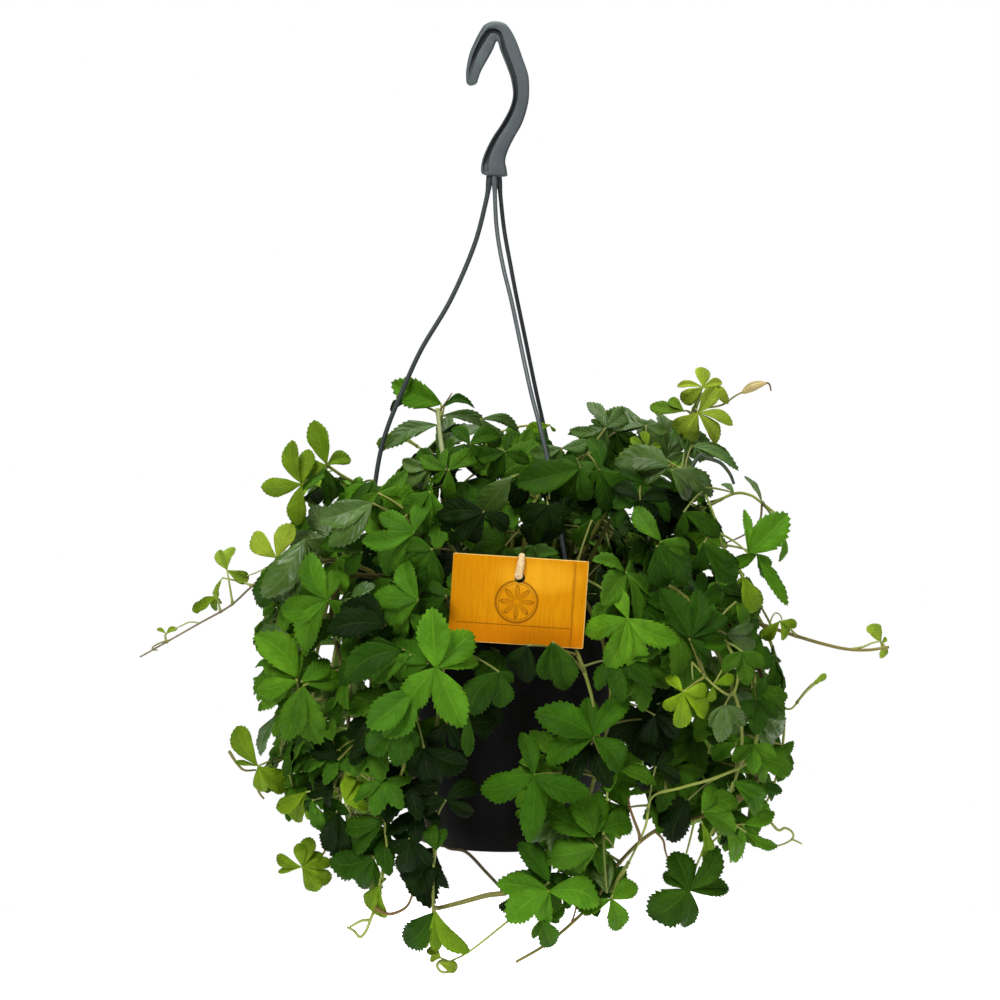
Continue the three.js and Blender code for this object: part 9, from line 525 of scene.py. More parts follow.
    ("back_10","M",0,(-91.4,73.5,-492.8),(-94.2,92,-501.9),(-0.91,0.29,0.28),[(-95.3,105.6,-531.8,0.25,0),(-104.1,81.3,-529.3,0.21,-0.05),(-80.1,116.8,-511.7,0.24,0),(-96.8,67.8,-510.2,0.25,-0.1),(-77.7,108.5,-492.9,0.22,-0.1)]),
    ("back_10","B",0,(-91.9,74.6,-490.1),(-99.9,70.6,-508.2),(-0.67,0.19,0.72),[(-107.6,53.5,-515.8,0.23,0),(-104.6,82.5,-520.9,0.26,0.05),(-94.7,55.9,-505.9,0.23,0),(-96.2,83.8,-511.3,0.21,-0.1)]),
    ("back_11","K",0,(-80.1,54.3,-326.1),(-72.9,33.7,-332.7),(-0.66,0.28,0.7),[(-93.4,25.6,-353.6,0.24,0.1),(-82.7,4.9,-342.5,0.22,0.1),(-81.2,46.4,-358.8,0.22,0),(-66.3,14.9,-322.4,0.22,0.1),(-66.7,55.8,-338.3,0.26,-0.05)]),
    ("back_11","Y",0,(-95.1,67.1,-354.1),(-101.7,59.2,-334.4),(-0.79,0.29,0.54),[(-111,64,-369.7,0.23,-0.1),(-115.2,36.3,-356.1,0.21,-0.1),(-93,85.6,-354.1,0.26,0.1),(-105.2,32.8,-334.8,0.24,0.05),(-87.7,80.5,-329.6,0.24,0.1)]),
    ("back_11","M",0,(-104.7,77.8,-385.6),(-98.3,90.6,-368.9),(-0.4,0.56,0.73),[(-92.9,110.5,-395.5,0.23,0),(-73.4,107.6,-380.5,0.22,0.05),(-118.7,75.6,-377.3,0.26,-0.05),(-72.9,88.4,-361.4,0.24,0.05)]),
    ("back_11","B",0,(-107.7,83,-403.4),(-119.5,72.8,-388.6),(-0.48,0.47,0.74),[(-139.6,77.8,-407.6,0.21,-0.05),(-141.5,57.7,-395.3,0.24,-0.05),(-122.4,89.9,-405.6,0.26,-0.1),(-121.7,55.2,-380.3,0.22,0.1)]),
    ("back_11","K",0,(-67.2,45.4,-326.8),(-67.9,64.6,-321.6),(-0.75,-0.08,0.65),[(-72.9,89.3,-333.3,0.26,0.1),(-78.8,71.2,-342.7,0.18,-0.05),(-57.7,88.1,-318.2,0.21,-0.1),(-72.3,50.3,-336.6,0.25,0.05),(-52.5,70.2,-310.3,0.21,0.05)]),
    ("back_11","D",0,(-109,87.2,-421.6),(-111.7,108.9,-418.1),(-0.42,0.83,0.36),[(-115.5,113,-446.2,0.26,-0.05),(-130.1,98.7,-438.3,0.21,-0.05),(-95.2,121.7,-437.4,0.25,0.1),(-128.1,93.4,-418.4,0.24,0.05),(-90.4,114,-420.2,0.24,-0.1)]),
    ("back_11","O",0,(-109.1,86.8,-418.5),(-127,88.5,-427.3),(-0.59,0.62,0.53),[(-141.9,85.5,-459.6,0.24,0),(-128.3,107.4,-454.6,0.24,-0.05),(-133.2,69.1,-414.6,0.24,-0.05),(-108.4,102,-432.9,0.26,0.1)]),
    ("back_11","B",0,(-104.3,91.1,-461.9),(-110.4,104,-447.9),(-0.45,0.76,0.46),[(-127.7,108.7,-477.3,0.26,0),(-135.7,91.3,-457.1,0.22,0.05),(-99.9,119,-473.1,0.23,0),(-126.8,86.6,-439.1,0.22,-0.1),(-90.5,116.2,-452.7,0.2,0.1)]),
    ("back_11","Y",0,(-107.3,89.9,-443.3),(-112.5,97.2,-461.6),(-0.49,0.7,0.53),[(-116.7,103.9,-483.1,0.23,-0.1),(-126.3,90.7,-476.3,0.23,0),(-101,109,-473.2,0.22,-0.1),(-121.7,85.6,-462.9,0.23,0.1),(-97.9,104,-459.9,0.21,-0.05)]),
    ("back_12","M",0,(-87,29.1,-314.2),(-82.6,15.2,-332),(-0.69,0.07,0.72),[(-100.5,8.8,-355.8,0.2,0.1),(-90.9,-7.7,-341.4,0.22,0.05),(-94.8,30.9,-351.3,0.25,0.05),(-72.7,-3.4,-327.4,0.25,0.1),(-76.2,34.6,-333.2,0.21,-0.1)]),
    ("back_12","D",0,(-64.1,21.1,-318),(-70.1,35.7,-304.2),(-0.71,0.1,0.7),[(-64.3,61.1,-310.5,0.21,0.1),(-79.8,54.5,-321.4,0.21,0),(-51.6,55.7,-299,0.26,0.1),(-81.4,29.2,-318.8,0.26,0),(-54.6,27.5,-294.1,0.2,0)]),
    ("back_12","O",0,(-101.7,34.9,-334.4),(-107.4,22.6,-317.3),(-0.75,0.03,0.66),[(-121.5,28,-341.6,0.19,-0.05),(-104.6,4.6,-315.8,0.21,0),(-95.3,35.7,-312.7,0.25,0.05)]),
    ("back_12","O",0,(-105.8,36.6,-345.1),(-106.6,47.6,-324),(-0.87,0.13,0.48),[(-111.3,52.2,-354.1,0.24,0),(-114.6,31.4,-345,0.21,0.1),(-105.9,71.9,-343,0.25,0.05),(-102.1,24.6,-324,0.22,0),(-94.1,64,-317.3,0.24,0)]),
    ("back_12","B",0,(-112,39.8,-370.3),(-127.2,25.1,-368.9),(-0.82,0.05,0.57),[(-133.8,12.1,-391.7,0.24,-0.05),(-129.4,-1.6,-372.9,0.24,0),(-135.2,32.2,-392.4,0.25,0.05),(-118.4,10.7,-361.3,0.23,0.1),(-128.5,43,-376.4,0.21,0.05)]),
    ("back_12","M",0,(-114.2,41.3,-381.6),(-128,68.5,-374.3),(-0.54,0.38,0.75),[(-143.4,80.6,-395.6,0.21,-0.05),(-145.4,59.7,-390,0.23,0.1),(-125.8,88.6,-389.5,0.26,0.05),(-134.8,48.5,-376.8,0.23,0.05),(-111.6,80.1,-376.4,0.25,-0.05)]),
    ("back_12","D",0,(-117.3,44.3,-404.4),(-130.5,29.5,-402),(-0.94,0.1,0.33),[(-135.2,10.2,-418.8,0.22,0.1),(-128.8,2.9,-402,0.23,0.05),(-136.6,28.1,-426.3,0.26,0.05),(-122.8,22.1,-386.2,0.22,0.05),(-127.8,46.5,-410.4,0.24,-0.1)]),
    ("back_12","B",0,(-117.2,48,-444.8),(-124.3,60.2,-430.3),(-0.73,-0.03,0.68),[(-128.5,91.9,-441.1,0.24,0),(-138.6,74,-450.5,0.25,-0.1),(-111.8,87.8,-426.8,0.26,-0.1),(-136.6,48.6,-446.2,0.23,0.1),(-103.7,62.9,-418.4,0.22,0.1)]),
    ("back_12","B",0,(-113.5,48.4,-467.7),(-129,49.8,-454.5),(-0.76,0.07,0.65),[(-132.1,76.5,-467.5,0.23,-0.05),(-126.6,26,-461.6,0.23,-0.05),(-119.4,69.7,-447.8,0.25,-0.05)]),
    ("back_12","D",0,(-105.7,48.2,-498.7),(-120.2,50.5,-485),(-0.6,0.03,0.8),[(-126.2,69.5,-495.8,0.22,0.05),(-119.3,33.1,-488.3,0.26,-0.1),(-110.9,66.3,-485.2,0.25,-0.05)]),
    ("back_12","Y",0,(-104.5,48.1,-501.3),(-95.2,52.5,-518),(-0.35,0.47,0.81),[(-91.7,66.5,-530,0.24,-0.1),(-103.5,57.6,-530.2,0.23,0.1),(-81.2,60.4,-520.8,0.21,-0.05),(-106.8,50.4,-523.7,0.23,-0.1),(-83.1,52.4,-515.5,0.25,-0.1)]),
    ("crown_back_left","B",0,(-24.5,30.2,-300.8),(-36.4,26.1,-319.3),(-0.39,0.6,0.7),[(-63.2,25,-337.8,0.23,0.1),(-57.2,7.8,-319.7,0.21,-0.05),(-43.8,38.9,-344.6,0.26,0.05),(-38.9,4.4,-312,0.24,-0.1),(-26,38.5,-333.8,0.23,0.1)]),
    ("crown_back_left","M",0,(-32,35.8,-278.6),(-25.3,49.2,-295.2),(-0.35,0.03,0.94),[(-47.1,59.1,-311.7,0.25,0.05),(-47,36.7,-307.5,0.26,0.05),(-31.6,72.6,-302.7,0.23,0.1),(-26.2,28,-301.5,0.26,0.05),(-14,68.4,-298.5,0.26,-0.1)]),
    ("crown_back_left","D",0,(-38.8,40.5,-266.1),(-59,44,-280),(-0.54,0.24,0.81),[(-70.4,67.5,-302.1,0.24,-0.1),(-81,43.8,-298.3,0.25,0.05),(-50.1,69.8,-289.2,0.22,0.05),(-73.2,25.3,-287.1,0.24,-0.1),(-39.7,56,-277.8,0.26,0)]),
    ("crown_back_left","Y",0,(-43.7,43.9,-259.7),(-49.4,64.2,-261),(-0.59,0.14,0.8),[(-45.4,92.1,-267.3,0.22,-0.05),(-64,80.2,-281.2,0.23,-0.05),(-27.3,82.8,-254.6,0.24,-0.1),(-63.5,55.5,-275.3,0.25,0),(-31,56.7,-252.9,0.24,0)]),
    ("crown_back_left","Y",0,(-50.4,48.2,-255.5),(-65.8,56.1,-245.6),(-0.36,0.2,0.91),[(-73.7,71.3,-258.8,0.24,-0.05),(-58.5,75.8,-248.7,0.22,-0.05),(-73.6,42.8,-250.5,0.2,-0.05)]),
    ("crown_back_mid","D",0,(9.4,31.4,-318),(-3.7,40,-333.2),(0.17,0.53,0.83),[(-24.1,51.7,-347.1,0.23,0),(-26.7,38.8,-331.9,0.22,-0.05),(-3.4,59.6,-347.7,0.24,0.05),(-14.7,26.3,-328.4,0.27,0.05),(10.8,44.8,-345.7,0.22,-0.1)]),
    ("crown_back_mid","B",0,(10.5,34.7,-304.2),(28.8,39.1,-292.2),(-0.2,0.38,0.9),[(61.3,52.1,-299.2,0.21,0.05),(37.1,65.9,-308.3,0.26,0.1),(53.9,25.7,-285.8,0.24,0.05),(18.7,52.7,-307.6,0.21,0.05),(38.7,17.7,-287.7,0.23,0.1)]),
    ("crown_back_mid","D",0,(13.2,43.2,-283.3),(-9.6,65,-293.6),(0.41,0.56,0.72),[(-27.6,86.5,-304.3,0.24,-0.05),(-36.8,70.8,-290.6,0.25,-0.05),(-8.9,82.8,-313.4,0.22,0.05),(-24.4,54.8,-281.3,0.25,-0.05),(4.4,66.9,-309.4,0.23,0.05)]),
    ("crown_back_mid","D",0,(19.2,60,-266.4),(34.3,74.6,-266.2),(0.27,0.22,0.94),[(50.1,93.5,-284,0.23,0.05),(32.2,99.3,-275.2,0.24,-0.1),(56,76.1,-279.8,0.24,-0.1),(17.6,84.6,-270.4,0.25,0.05),(47.4,59.5,-273,0.26,-0.1)]),
    ("crown_back_mid","O",0,(20.2,62.6,-265.6),(25.3,81.2,-257.4),(0,0.54,0.84),[(12.8,92.2,-270.8,0.26,0.1),(7.7,79.4,-261.8,0.24,-0.1),(30,93.8,-270.1,0.2,0.05),(15.8,69,-254.4,0.25,0.05),(38.4,82.9,-263.6,0.24,-0.1)]),
    ("crown_back_right","B",0,(42.3,35.8,-294),(44.8,48.2,-277.3),(0.48,-0.03,0.88),[(64.4,72.7,-295.2,0.25,0.05),(40.7,81.2,-284.2,0.24,-0.1),(67.7,46.9,-300.2,0.26,-0.05),(25.4,62.6,-274.7,0.24,0.1),(53.6,29.7,-290.1,0.2,-0.05)]),
    ("crown_back_right","B",0,(51.2,46.8,-275.6),(69.5,48.1,-263),(0.57,0.1,0.81),[(88.9,59.6,-284.3,0.23,0.05),(72.7,74.6,-279.8,0.25,0.1),(89.4,36.3,-283.8,0.17,-0.05),(53.6,64.7,-260.4,0.2,0.05),(68.9,24.6,-264.8,0.21,-0.05)]),
    ("crown_back_right","M",0,(68.8,70.4,-268),(70.3,89.6,-255.4),(0.56,0.2,0.8),[(81.3,113.2,-281.4,0.24,0.05),(58.5,119,-268.4,0.26,-0.1),(89.9,89.3,-280.5,0.26,0.05),(46.3,100.9,-250.1,0.25,-0.1),(85,69.5,-262.5,0.25,0)]),
    ("crown_back_right","B",0,(63.6,63.2,-267.9),(75.7,80.4,-268.1),(0.39,0.1,0.92),[(83.6,98,-280.2,0.26,0),(70.5,99.6,-271,0.22,0),(92.9,86.2,-281.3,0.22,0.05),(60.1,86.7,-264.8,0.25,-0.1),(87.5,69.8,-274.4,0.23,0)]),
    ("crown_back_right","S",0,(37.8,30.3,-310.4),(40.2,31.3,-330),(0.54,0.15,0.83),[(48.1,49.5,-347.6,0.22,0),(31.2,53.4,-334,0.24,0),(58.1,28.7,-343.7,0.21,0.05),(22.6,36.3,-325.1,0.25,0.1),(46.5,13.4,-335.4,0.26,0.05)]),
    ("crown_back_right","M",0,(39.8,32.7,-302),(58.8,22.7,-305.2),(0.56,0.11,0.82),[(80.6,17.9,-321.5,0.21,-0.1),(70.9,39.6,-319,0.23,0.1),(69.6,-1.6,-311.7,0.23,0.1),(50.9,41.6,-310.4,0.26,0),(48.6,6.5,-299.9,0.23,0)]),
    ("crown_left","K",0,(-74.8,-3.1,-280.1),(-91.5,-12.4,-290.6),(-0.24,0.16,0.96),[(-117.3,-34.5,-304.1,0.26,0),(-92.2,-44.2,-296.2,0.23,-0.05),(-121.9,-4.6,-307.1,0.24,-0.1),(-74.3,-31.6,-287.9,0.21,0),(-104.8,7.7,-302.1,0.21,-0.05)]),
    ("crown_left","B",0,(-101.7,-6.6,-277.3),(-91.4,4.5,-274.7),(-0.32,0.12,0.94),[(-118,0.4,-294.2,0.21,-0.1),(-106.8,-18.9,-286,0.24,-0.1),(-108.6,20.8,-292.3,0.23,0.1),(-87.2,-18.2,-276,0.24,0),(-87.9,28,-280,0.25,0)]),
    ("crown_left","B",0,(-93.1,-5.3,-276.2),(-111.5,8.2,-275.8),(-0.35,0.3,0.89),[(-117.8,29.7,-292.2,0.23,0.1),(-130.7,12.8,-290.1,0.26,0.1),(-98.8,28.7,-285.4,0.25,0.1),(-123.6,-5.5,-280.9,0.24,-0.1),(-92.5,7.9,-272.9,0.23,-0.1)]),
    ("crown_left","Y",0,(-93.1,-5.3,-276.2),(-113.3,-11.9,-270.2),(-0.59,-0.1,0.8),[(-122.1,-27.6,-283.6,0.26,-0.1),(-106.2,-30.9,-273.8,0.25,-0.05),(-126.2,-7.5,-286.1,0.19,-0.05),(-100.6,-19.2,-264.1,0.17,0.1),(-120.8,-0.2,-276.4,0.23,-0.05)]),
    ("crown_left","D",0,(-46.2,2.8,-311.8),(-51.6,-6.9,-328.2),(-0.68,0.56,0.46),[(-63.2,-35.6,-325.8,0.26,-0.05),(-49.5,-25.1,-308.2,0.21,-0.1),(-66.3,-22.5,-344.7,0.25,0.1),(-35.2,-6.7,-316.1,0.23,-0.1),(-54.8,0.5,-347.6,0.26,0.1)]),
    ("crown_left","M",0,(-45.1,3,-314.5),(-71.3,18.3,-322.5),(-0.76,-0.24,0.6),[(-85.8,23.2,-355.2,0.24,0),(-76.9,-2.8,-346,0.24,0),(-85.5,46.1,-332.8,0.21,-0.05),(-62.6,-4.7,-325.8,0.24,0),(-69.9,42.4,-314.6,0.23,0.05)]),
    ("crown_right","M",0,(69.3,6.2,-303.8),(70.6,-11.4,-316.7),(0.9,-0.06,0.44),[(76.7,-13.1,-344.1,0.23,0.05),(72.8,5.5,-335.3,0.22,0.1),(69.1,-30.7,-335.2,0.25,-0.1),(66.2,10.4,-316.5,0.26,0),(67.2,-30.7,-314.8,0.24,-0.05)]),
    ("crown_right","M",0,(79.1,6.3,-289.6),(92,16.4,-275.8),(0.27,-0.33,0.9),[(119.1,20.5,-289.3,0.22,0),(105,39.8,-280.2,0.23,0.05),(106.5,-3.6,-292.2,0.24,-0.1),(85.8,37.8,-271.1,0.27,0),(87.6,-3,-284.6,0.23,0.1)]),
    ("crown_right","D",0,(86.8,6,-286),(101.4,-10.8,-282),(0.68,0.32,0.66),[(119.9,-23.8,-304.4,0.22,0.05),(111.7,-0.1,-305.8,0.21,-0.05),(113,-36.3,-283.9,0.23,-0.1),(95.5,8.9,-291.6,0.23,0.05),(93.2,-27,-269.8,0.22,0.05)]),
    ("crown_right","D",0,(120.9,4,-288),(125.1,32.1,-295.3),(0.48,0.37,0.8),[(132.2,56,-313.2,0.26,0.05),(113.2,54,-304,0.22,-0.05),(143.5,35.4,-317.4,0.22,-0.05),(106,38.8,-292,0.22,0.05),(142.2,21.9,-304.1,0.22,0)]),
    ("crown_right","K",0,(62.6,6.2,-316.5),(73.1,28,-321.4),(0.66,-0.35,0.66),[(89.8,50,-331.6,0.25,0),(73.4,55.6,-311.9,0.23,0.1),(90.9,26.6,-344.3,0.25,0),(60.3,38,-306.6,0.21,-0.1),(73.1,11.5,-337.1,0.21,-0.1)]),
    ("crown_right","B",0,(107.6,5.1,-283),(126,4.9,-289.2),(0.44,-0.14,0.88),[(138.7,15.4,-299.9,0.23,-0.05),(130.2,-13.9,-297.2,0.23,0.05),(127.8,21.9,-289.8,0.21,0.05),(116.8,-7.1,-290.8,0.21,-0.05)]),
]
# tendrils and bare twigs: shoot, radius, colour, points
TENDRILS = [
    ("left_vine",0.55,"olive",[(-202.2,-28,-368.9),(-208.3,-29,-370.6),(-212.6,-30,-373),(-212.6,-30,-374.8),(-209.6,-29,-375)]),
    ("left_vine",0.5,"pale",[(-137,-28,-323.5),(-143.1,-29,-324.6),(-149.2,-30,-327),(-154.1,-31,-328.7)]),
    ("left_vine",0.5,"pale",[(-183.6,-28,-358.3),(-189.8,-28,-357.7),(-195.3,-29,-360),(-199.5,-30,-361.8)]),
    ("right_vine",0.55,"pale",[(169.4,-22,-361.5),(170,-21,-357.3),(172.6,-20,-353.1),(175.7,-20,-354.3),(176.9,-21,-357.3)]),
    ("left_crown",1.75,"sage",[(-30.8,-58,-263.5),(-32.8,-52,-252.4),(-34.8,-40,-241),(-36.5,-14,-227.9)]),
    ("lime_crown",0.8,"olive",[(119.7,-12,-231.1),(127,-13,-226.7),(139.3,-14,-224.1),(147.3,-15,-218.5),(153.4,-15,-215.4)]),
    ("right_crown",1.3,"dark",[(122.5,-58,-252.6),(126.8,-58,-253.8),(131.7,-57,-255.1),(136.6,-56,-257.6),(141.5,-56,-263.7),(143.9,-57,-269.7)]),
    ("left_front",1.1,"pale",[(-73.9,-80,-508.6),(-73.8,-84,-523.2),(-76.2,-84,-531.1),(-79.3,-84,-539.1),(-83,-83,-543.1),(-86.6,-82,-539.6),(-90.9,-82,-537.1)]),
    ("left_front",1,"pale",[(-77.4,-84,-532.4),(-82.2,-86,-532.5),(-88.9,-86,-536.2)]),
    ("centre_left",1,"brown",[(-71.1,-92,-525.1),(-65.6,-92,-526.9),(-58.4,-92,-525.1),(-53.6,-91,-521.6),(-50.6,-88,-514.9)]),
    ("under_pot",1.9,"olive",[(3.7,-86,-513.5),(4.3,-88,-512.5),(4.9,-90,-514.5),(-5.3,-88,-516.2),(-16.2,-87,-519.4),(-25.3,-86,-522.1),(-35.6,-84,-525),(-38.5,-91,-522.3)]),
    ("centre_right",0.95,"pale",[(-28.9,-90,-556.8),(-33.7,-91,-556),(-36.1,-92,-558.8),(-33.1,-93,-562.3),(-27.1,-93,-561.6),(-24.1,-92,-558.2)]),
    ("left_outer",0.95,"olive",[(-164.9,-44,-435.6),(-160.6,-44,-442.5),(-155.6,-45,-447.3),(-148.2,-46,-447.1)]),
    ("left_outer",0.9,"olive",[(-147.6,-46,-447.1),(-148.2,-46,-453.3),(-146.5,-45,-461),(-143.5,-45,-465.3)]),
    ("right_outer",0.85,"pale",[(163.3,-14.2,-480),(169.5,-15.6,-483.5),(175.7,-17,-490.1),(180.2,-16,-489),(184.6,-16,-491.5),(185.2,-16,-495.3),(180.8,-17,-498.3),(173.2,-18,-500.6)]),
    ("right_outer",0.7,"pale",[(184,-16,-496),(187.1,-16,-497.2),(190.9,-16,-499.1)]),
    ("right_low",1,"brown",[(89.1,-94,-484.4),(85.3,-96,-476.7),(82.3,-97,-468.6),(79.8,-98,-461.1),(78.6,-98,-454.4)]),
    ("right_brown",0.8,"brown",[(96,-74,-479.7),(100.9,-74,-485.2),(102.2,-74,-491.4),(104,-74,-497.6)]),
    ("right_front",0.55,"pale",[(114.5,-112,-370.4),(115.6,-113,-375.6),(116.2,-114,-381.4)]),
    ("left_lime",1.2,"pale",[(-115.7,-70,-400),(-94.1,-90,-397),(-84.4,-92,-396.1),(-74.7,-94,-397)]),
    ("left_mid",1.1,"pale",[(-86.7,-92,-377.3),(-87.9,-93,-387.5),(-88,-93,-396.5),(-87.4,-93,-406.2)]),
    ("right_brown",0.7,"brown",[(45.9,-94,-531.4),(45.5,-95.5,-529.6),(45.2,-97,-530.7),(47,-97,-524.6),(48.2,-96,-518.7)]),
    ("lime_crown",3.6,"bud",[(151.6,-15,-216.7),(156.5,-15,-213.6),(161.4,-15,-211.7),(167,-15,-210.5)]),
    ("lime_crown",0.7,"brown",[(165.1,-15,-211.1),(167.6,-15,-210.5),(168.9,-15,-212.3),(169.5,-15,-215.4)]),
    ("right_arch",0.7,"brown",[(163.7,-24,-284.2),(162.4,-25,-294.6),(156.2,-26,-301.3),(148.8,-27,-305.6),(140.7,-28,-308.6)]),
    ("right_arch",0.8,"olive",[(171.6,-26,-290.2),(168.6,-26,-300.7),(161.2,-26,-310.6)]),
    ("left_crown",0.6,"brown",[(-35,5,-229.6),(-31.8,5,-223.4),(-28.1,5,-217.7)]),
    ("right_vine",0.75,"pale",[(217.9,-22,-375.9),(226.7,-21,-374.2),(233,-20,-371.8),(237.9,-20,-370.6)]),
]
STRANDS = {
    "left": [(-4.9,0,-79.5), (-4.9,0,-87), (-7.03,0,-99.57), (-14.24,0,-126.14), (-28.81,0,-159.6), (-47.27,0,-190.68), (-59.17,0,-216.84), (-68.34,0,-239.32), (-73.96,0,-260.58), (-79.08,0,-296.95), (-81.61,0,-322.11)],
    "front": [(-1.5,-2.7,-79.5), (-1.5,-2.7,-87), (-0.2,-7.49,-114.38), (3.63,-15.53,-137.69), (8.84,-25.08,-158.98), (15.31,-41.96,-188.37), (21.43,-53.37,-213.98), (26.81,-61.46,-234.12), (31.22,-67.06,-255.52), (38.07,-72.28,-296.23), (42.89,-74.55,-323.26)],
    "back": [(1.5,2.7,-79.5), (1.5,2.7,-87), (4.27,7.49,-114.41), (8.47,15.53,-138.12), (12.73,25.08,-160.23), (19.57,41.89,-191.61), (25.96,53.37,-219.7), (30.83,61.46,-242.01), (35.2,67.06,-265.65), (41.43,72,-306.96), (45.4,73.99,-329.98)],
}

# ------------------------------------------------------------------ dimensions
POT_X = 5.0
RIM_Z = -351.7
BASE_Z = -496.3
RIM_R = 91.0
WALL_TOP_R = 83.0
BASE_R = 57.5
SOIL_Z = RIM_Z - 14
CLIP_R = 86.2
CLIP_ANGLES = {"left": 180, "front": -60, "back": 60}


# ------------------------------------------------------------------ small tools
def unit(v):
    n = np.linalg.norm(v, axis=-1, keepdims=True)
    return v / np.maximum(n, 1e-9)


def catmull(points, per):
    """A smooth curve through the points, `per` samples a span."""
    p = [np.array(q, float) for q in points]
    if len(p) == 2:
        return np.array([p[0] + (p[1] - p[0]) * i / per for i in range(per + 1)])
    p = [2 * p[0] - p[1]] + p + [2 * p[-1] - p[-2]]
    out = []
    for i in range(len(p) - 3):
        a, b, c, d = p[i:i + 4]
        for j in range(per):
            t = j / per
            out.append(0.5 * (2 * b + (c - a) * t + (2 * a - 5 * b + 4 * c - d) * t * t + (3 * b - a - 3 * c + d) * t ** 3))
    out.append(p[-2])
    return np.array(out)


class Builder:
    """Collects parts of one mesh: vertices, faces, a colour and a UV for each
    vertex, and a material index for each face."""

    def __init__(self):
        self.v, self.f, self.c, self.uv, self.m = [], [], [], [], []
        self.n = 0

    def add(self, verts, faces, colour, uv=None, mat=0):
        verts = np.asarray(verts, float)
        k = len(verts)
        self.v.append(verts)
        self.f.extend([tuple(int(i) + self.n for i in f) for f in faces])
        colour = np.asarray(colour, float)
        if colour.ndim == 1:
            colour = np.repeat(colour[None, :], k, 0)
        self.c.append(colour)
        self.uv.append(np.zeros((k, 2)) if uv is None else np.asarray(uv, float))
        if isinstance(mat, int):
            self.m.extend([mat] * len(faces))
        else:
            self.m.extend(mat)
        self.n += k

    def build(self, name, materials, smooth=True, replaces=()):
        mesh = bpy.data.meshes.new(name)
        v = np.concatenate(self.v) * MM
        mesh.from_pydata(v.tolist(), [], self.f)
        mesh.update()
        c = np.concatenate(self.c)
        attr = mesh.color_attributes.new("tint", "FLOAT_COLOR", "POINT")
        attr.data.foreach_set("color", np.concatenate([c, np.ones((len(c), 1))], 1).astype(np.float32).ravel())
        uv = np.concatenate(self.uv)
        layer = mesh.uv_layers.new(name="UVMap")
        idx = np.zeros(len(mesh.loops), np.int32)
        mesh.loops.foreach_get("vertex_index", idx)
        layer.data.foreach_set("uv", uv[idx].astype(np.float32).ravel())
        for m in materials:
            mesh.materials.append(m)
        mesh.polygons.foreach_set("material_index", np.array(self.m, np.int32))
        mesh.polygons.foreach_set("use_smooth", np.full(len(mesh.polygons), smooth))
        mesh.update()
        obj = bpy.data.objects.new(name, mesh)
        bpy.context.scene.collection.objects.link(obj)
        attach(obj, "root")
        if replaces:
            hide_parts(*replaces)
        return obj


def frames(path):
    """Tangent, side and up at each point of a path, turning as little as it can."""
    t = np.gradient(path, axis=0)
    t = unit(t)
    up = np.array([0.0, 0.0, 1.0]) if abs(t[0][2]) < 0.8 else np.array([1.0, 0.0, 0.0])
    s = unit(np.cross(t[0], up))
    S = [s]
    for i in range(1, len(path)):
        s = S[-1] - t[i] * np.dot(S[-1], t[i])
        S.append(unit(s))
    S = np.array(S)
    return t, S, np.cross(S, t)


def tube(b, path, radius, sides, colour, closed=False, cap=True, mat=0, v_scale=1.0, u0=0.0):
    """A round tube along a path. radius and colour may be given for each point."""
    path = np.asarray(path, float)
    n = len(path)
    r = np.full(n, radius, float) if np.isscalar(radius) else np.asarray(radius, float)
    if closed:
        ring = np.vstack([path[-1], path, path[0]])
        t = unit(ring[2:] - ring[:-2])
        S = [unit(np.cross(t[0], [0.3, 0.2, 0.93]))]
        for i in range(1, n):
            S.append(unit(S[-1] - t[i] * np.dot(S[-1], t[i])))
        S = np.array(S)
        U = np.cross(S, t)
    else:
        t, S, U = frames(path)
    a = 2 * math.pi * np.arange(sides) / sides
    v = path[:, None, :] + r[:, None, None] * (np.cos(a)[None, :, None] * S[:, None, :] + np.sin(a)[None, :, None] * U[:, None, :])
    v = v.reshape(-1, 3)
    arc = np.concatenate([[0], np.cumsum(np.linalg.norm(np.diff(path, axis=0), axis=1))]) + u0
    uv = np.stack([np.repeat(arc * 0.01, sides), np.tile(np.arange(sides) / sides, n)], 1)
    colour = np.asarray(colour, float)
    if colour.ndim == 2:
        colour = np.repeat(colour, sides, 0)
    faces = []
    m = n if closed else n - 1
    for i in range(m):
        p, q = i * sides, ((i + 1) % n) * sides
        for j in range(sides):
            k = (j + 1) % sides
            faces.append((p + j, q + j, q + k, p + k))
    if cap and not closed:
        faces.append(tuple(range(sides)))
        faces.append(tuple(reversed(range((n - 1) * sides, n * sides))))
    b.add(v, faces, colour, uv, mat)


def lathe(b, profile, segments, colour, x=0.0, y=0.0, mat=0):
    """A body of revolution about a vertical axis, from a closed profile."""
    a = 2 * math.pi * np.arange(segments) / segments
    P = np.array(profile, float)
    n = len(P)
    v = np.stack([P[:, None, 0] * np.cos(a)[None] + x, P[:, None, 0] * np.sin(a)[None] + y, np.repeat(P[:, 1:2], segments, 1)], 2).reshape(-1, 3)
    uv = np.stack([np.tile(a / (2 * math.pi), n), np.repeat(np.linspace(0, 1, n), segments)], 1)
    faces = []
    for i in range(n):
        k = (i + 1) % n
        if P[i][0] < 1e-6 and P[k][0] < 1e-6:
            continue
        for j in range(segments):
            q = (j + 1) % segments
            faces.append((i * segments + j, i * segments + q, k * segments + q, k * segments + j))
    b.add(v, faces, colour, uv, mat)


def clean(obj, dist=1e-6):
    """Welds what coincides and turns the faces outwards."""
    bm = bmesh.new()
    bm.from_mesh(obj.data)
    bmesh.ops.remove_doubles(bm, verts=bm.verts, dist=dist)
    bmesh.ops.dissolve_degenerate(bm, edges=bm.edges, dist=1e-7)
    bmesh.ops.recalc_face_normals(bm, faces=bm.faces)
    bm.to_mesh(obj.data)
    bm.free()


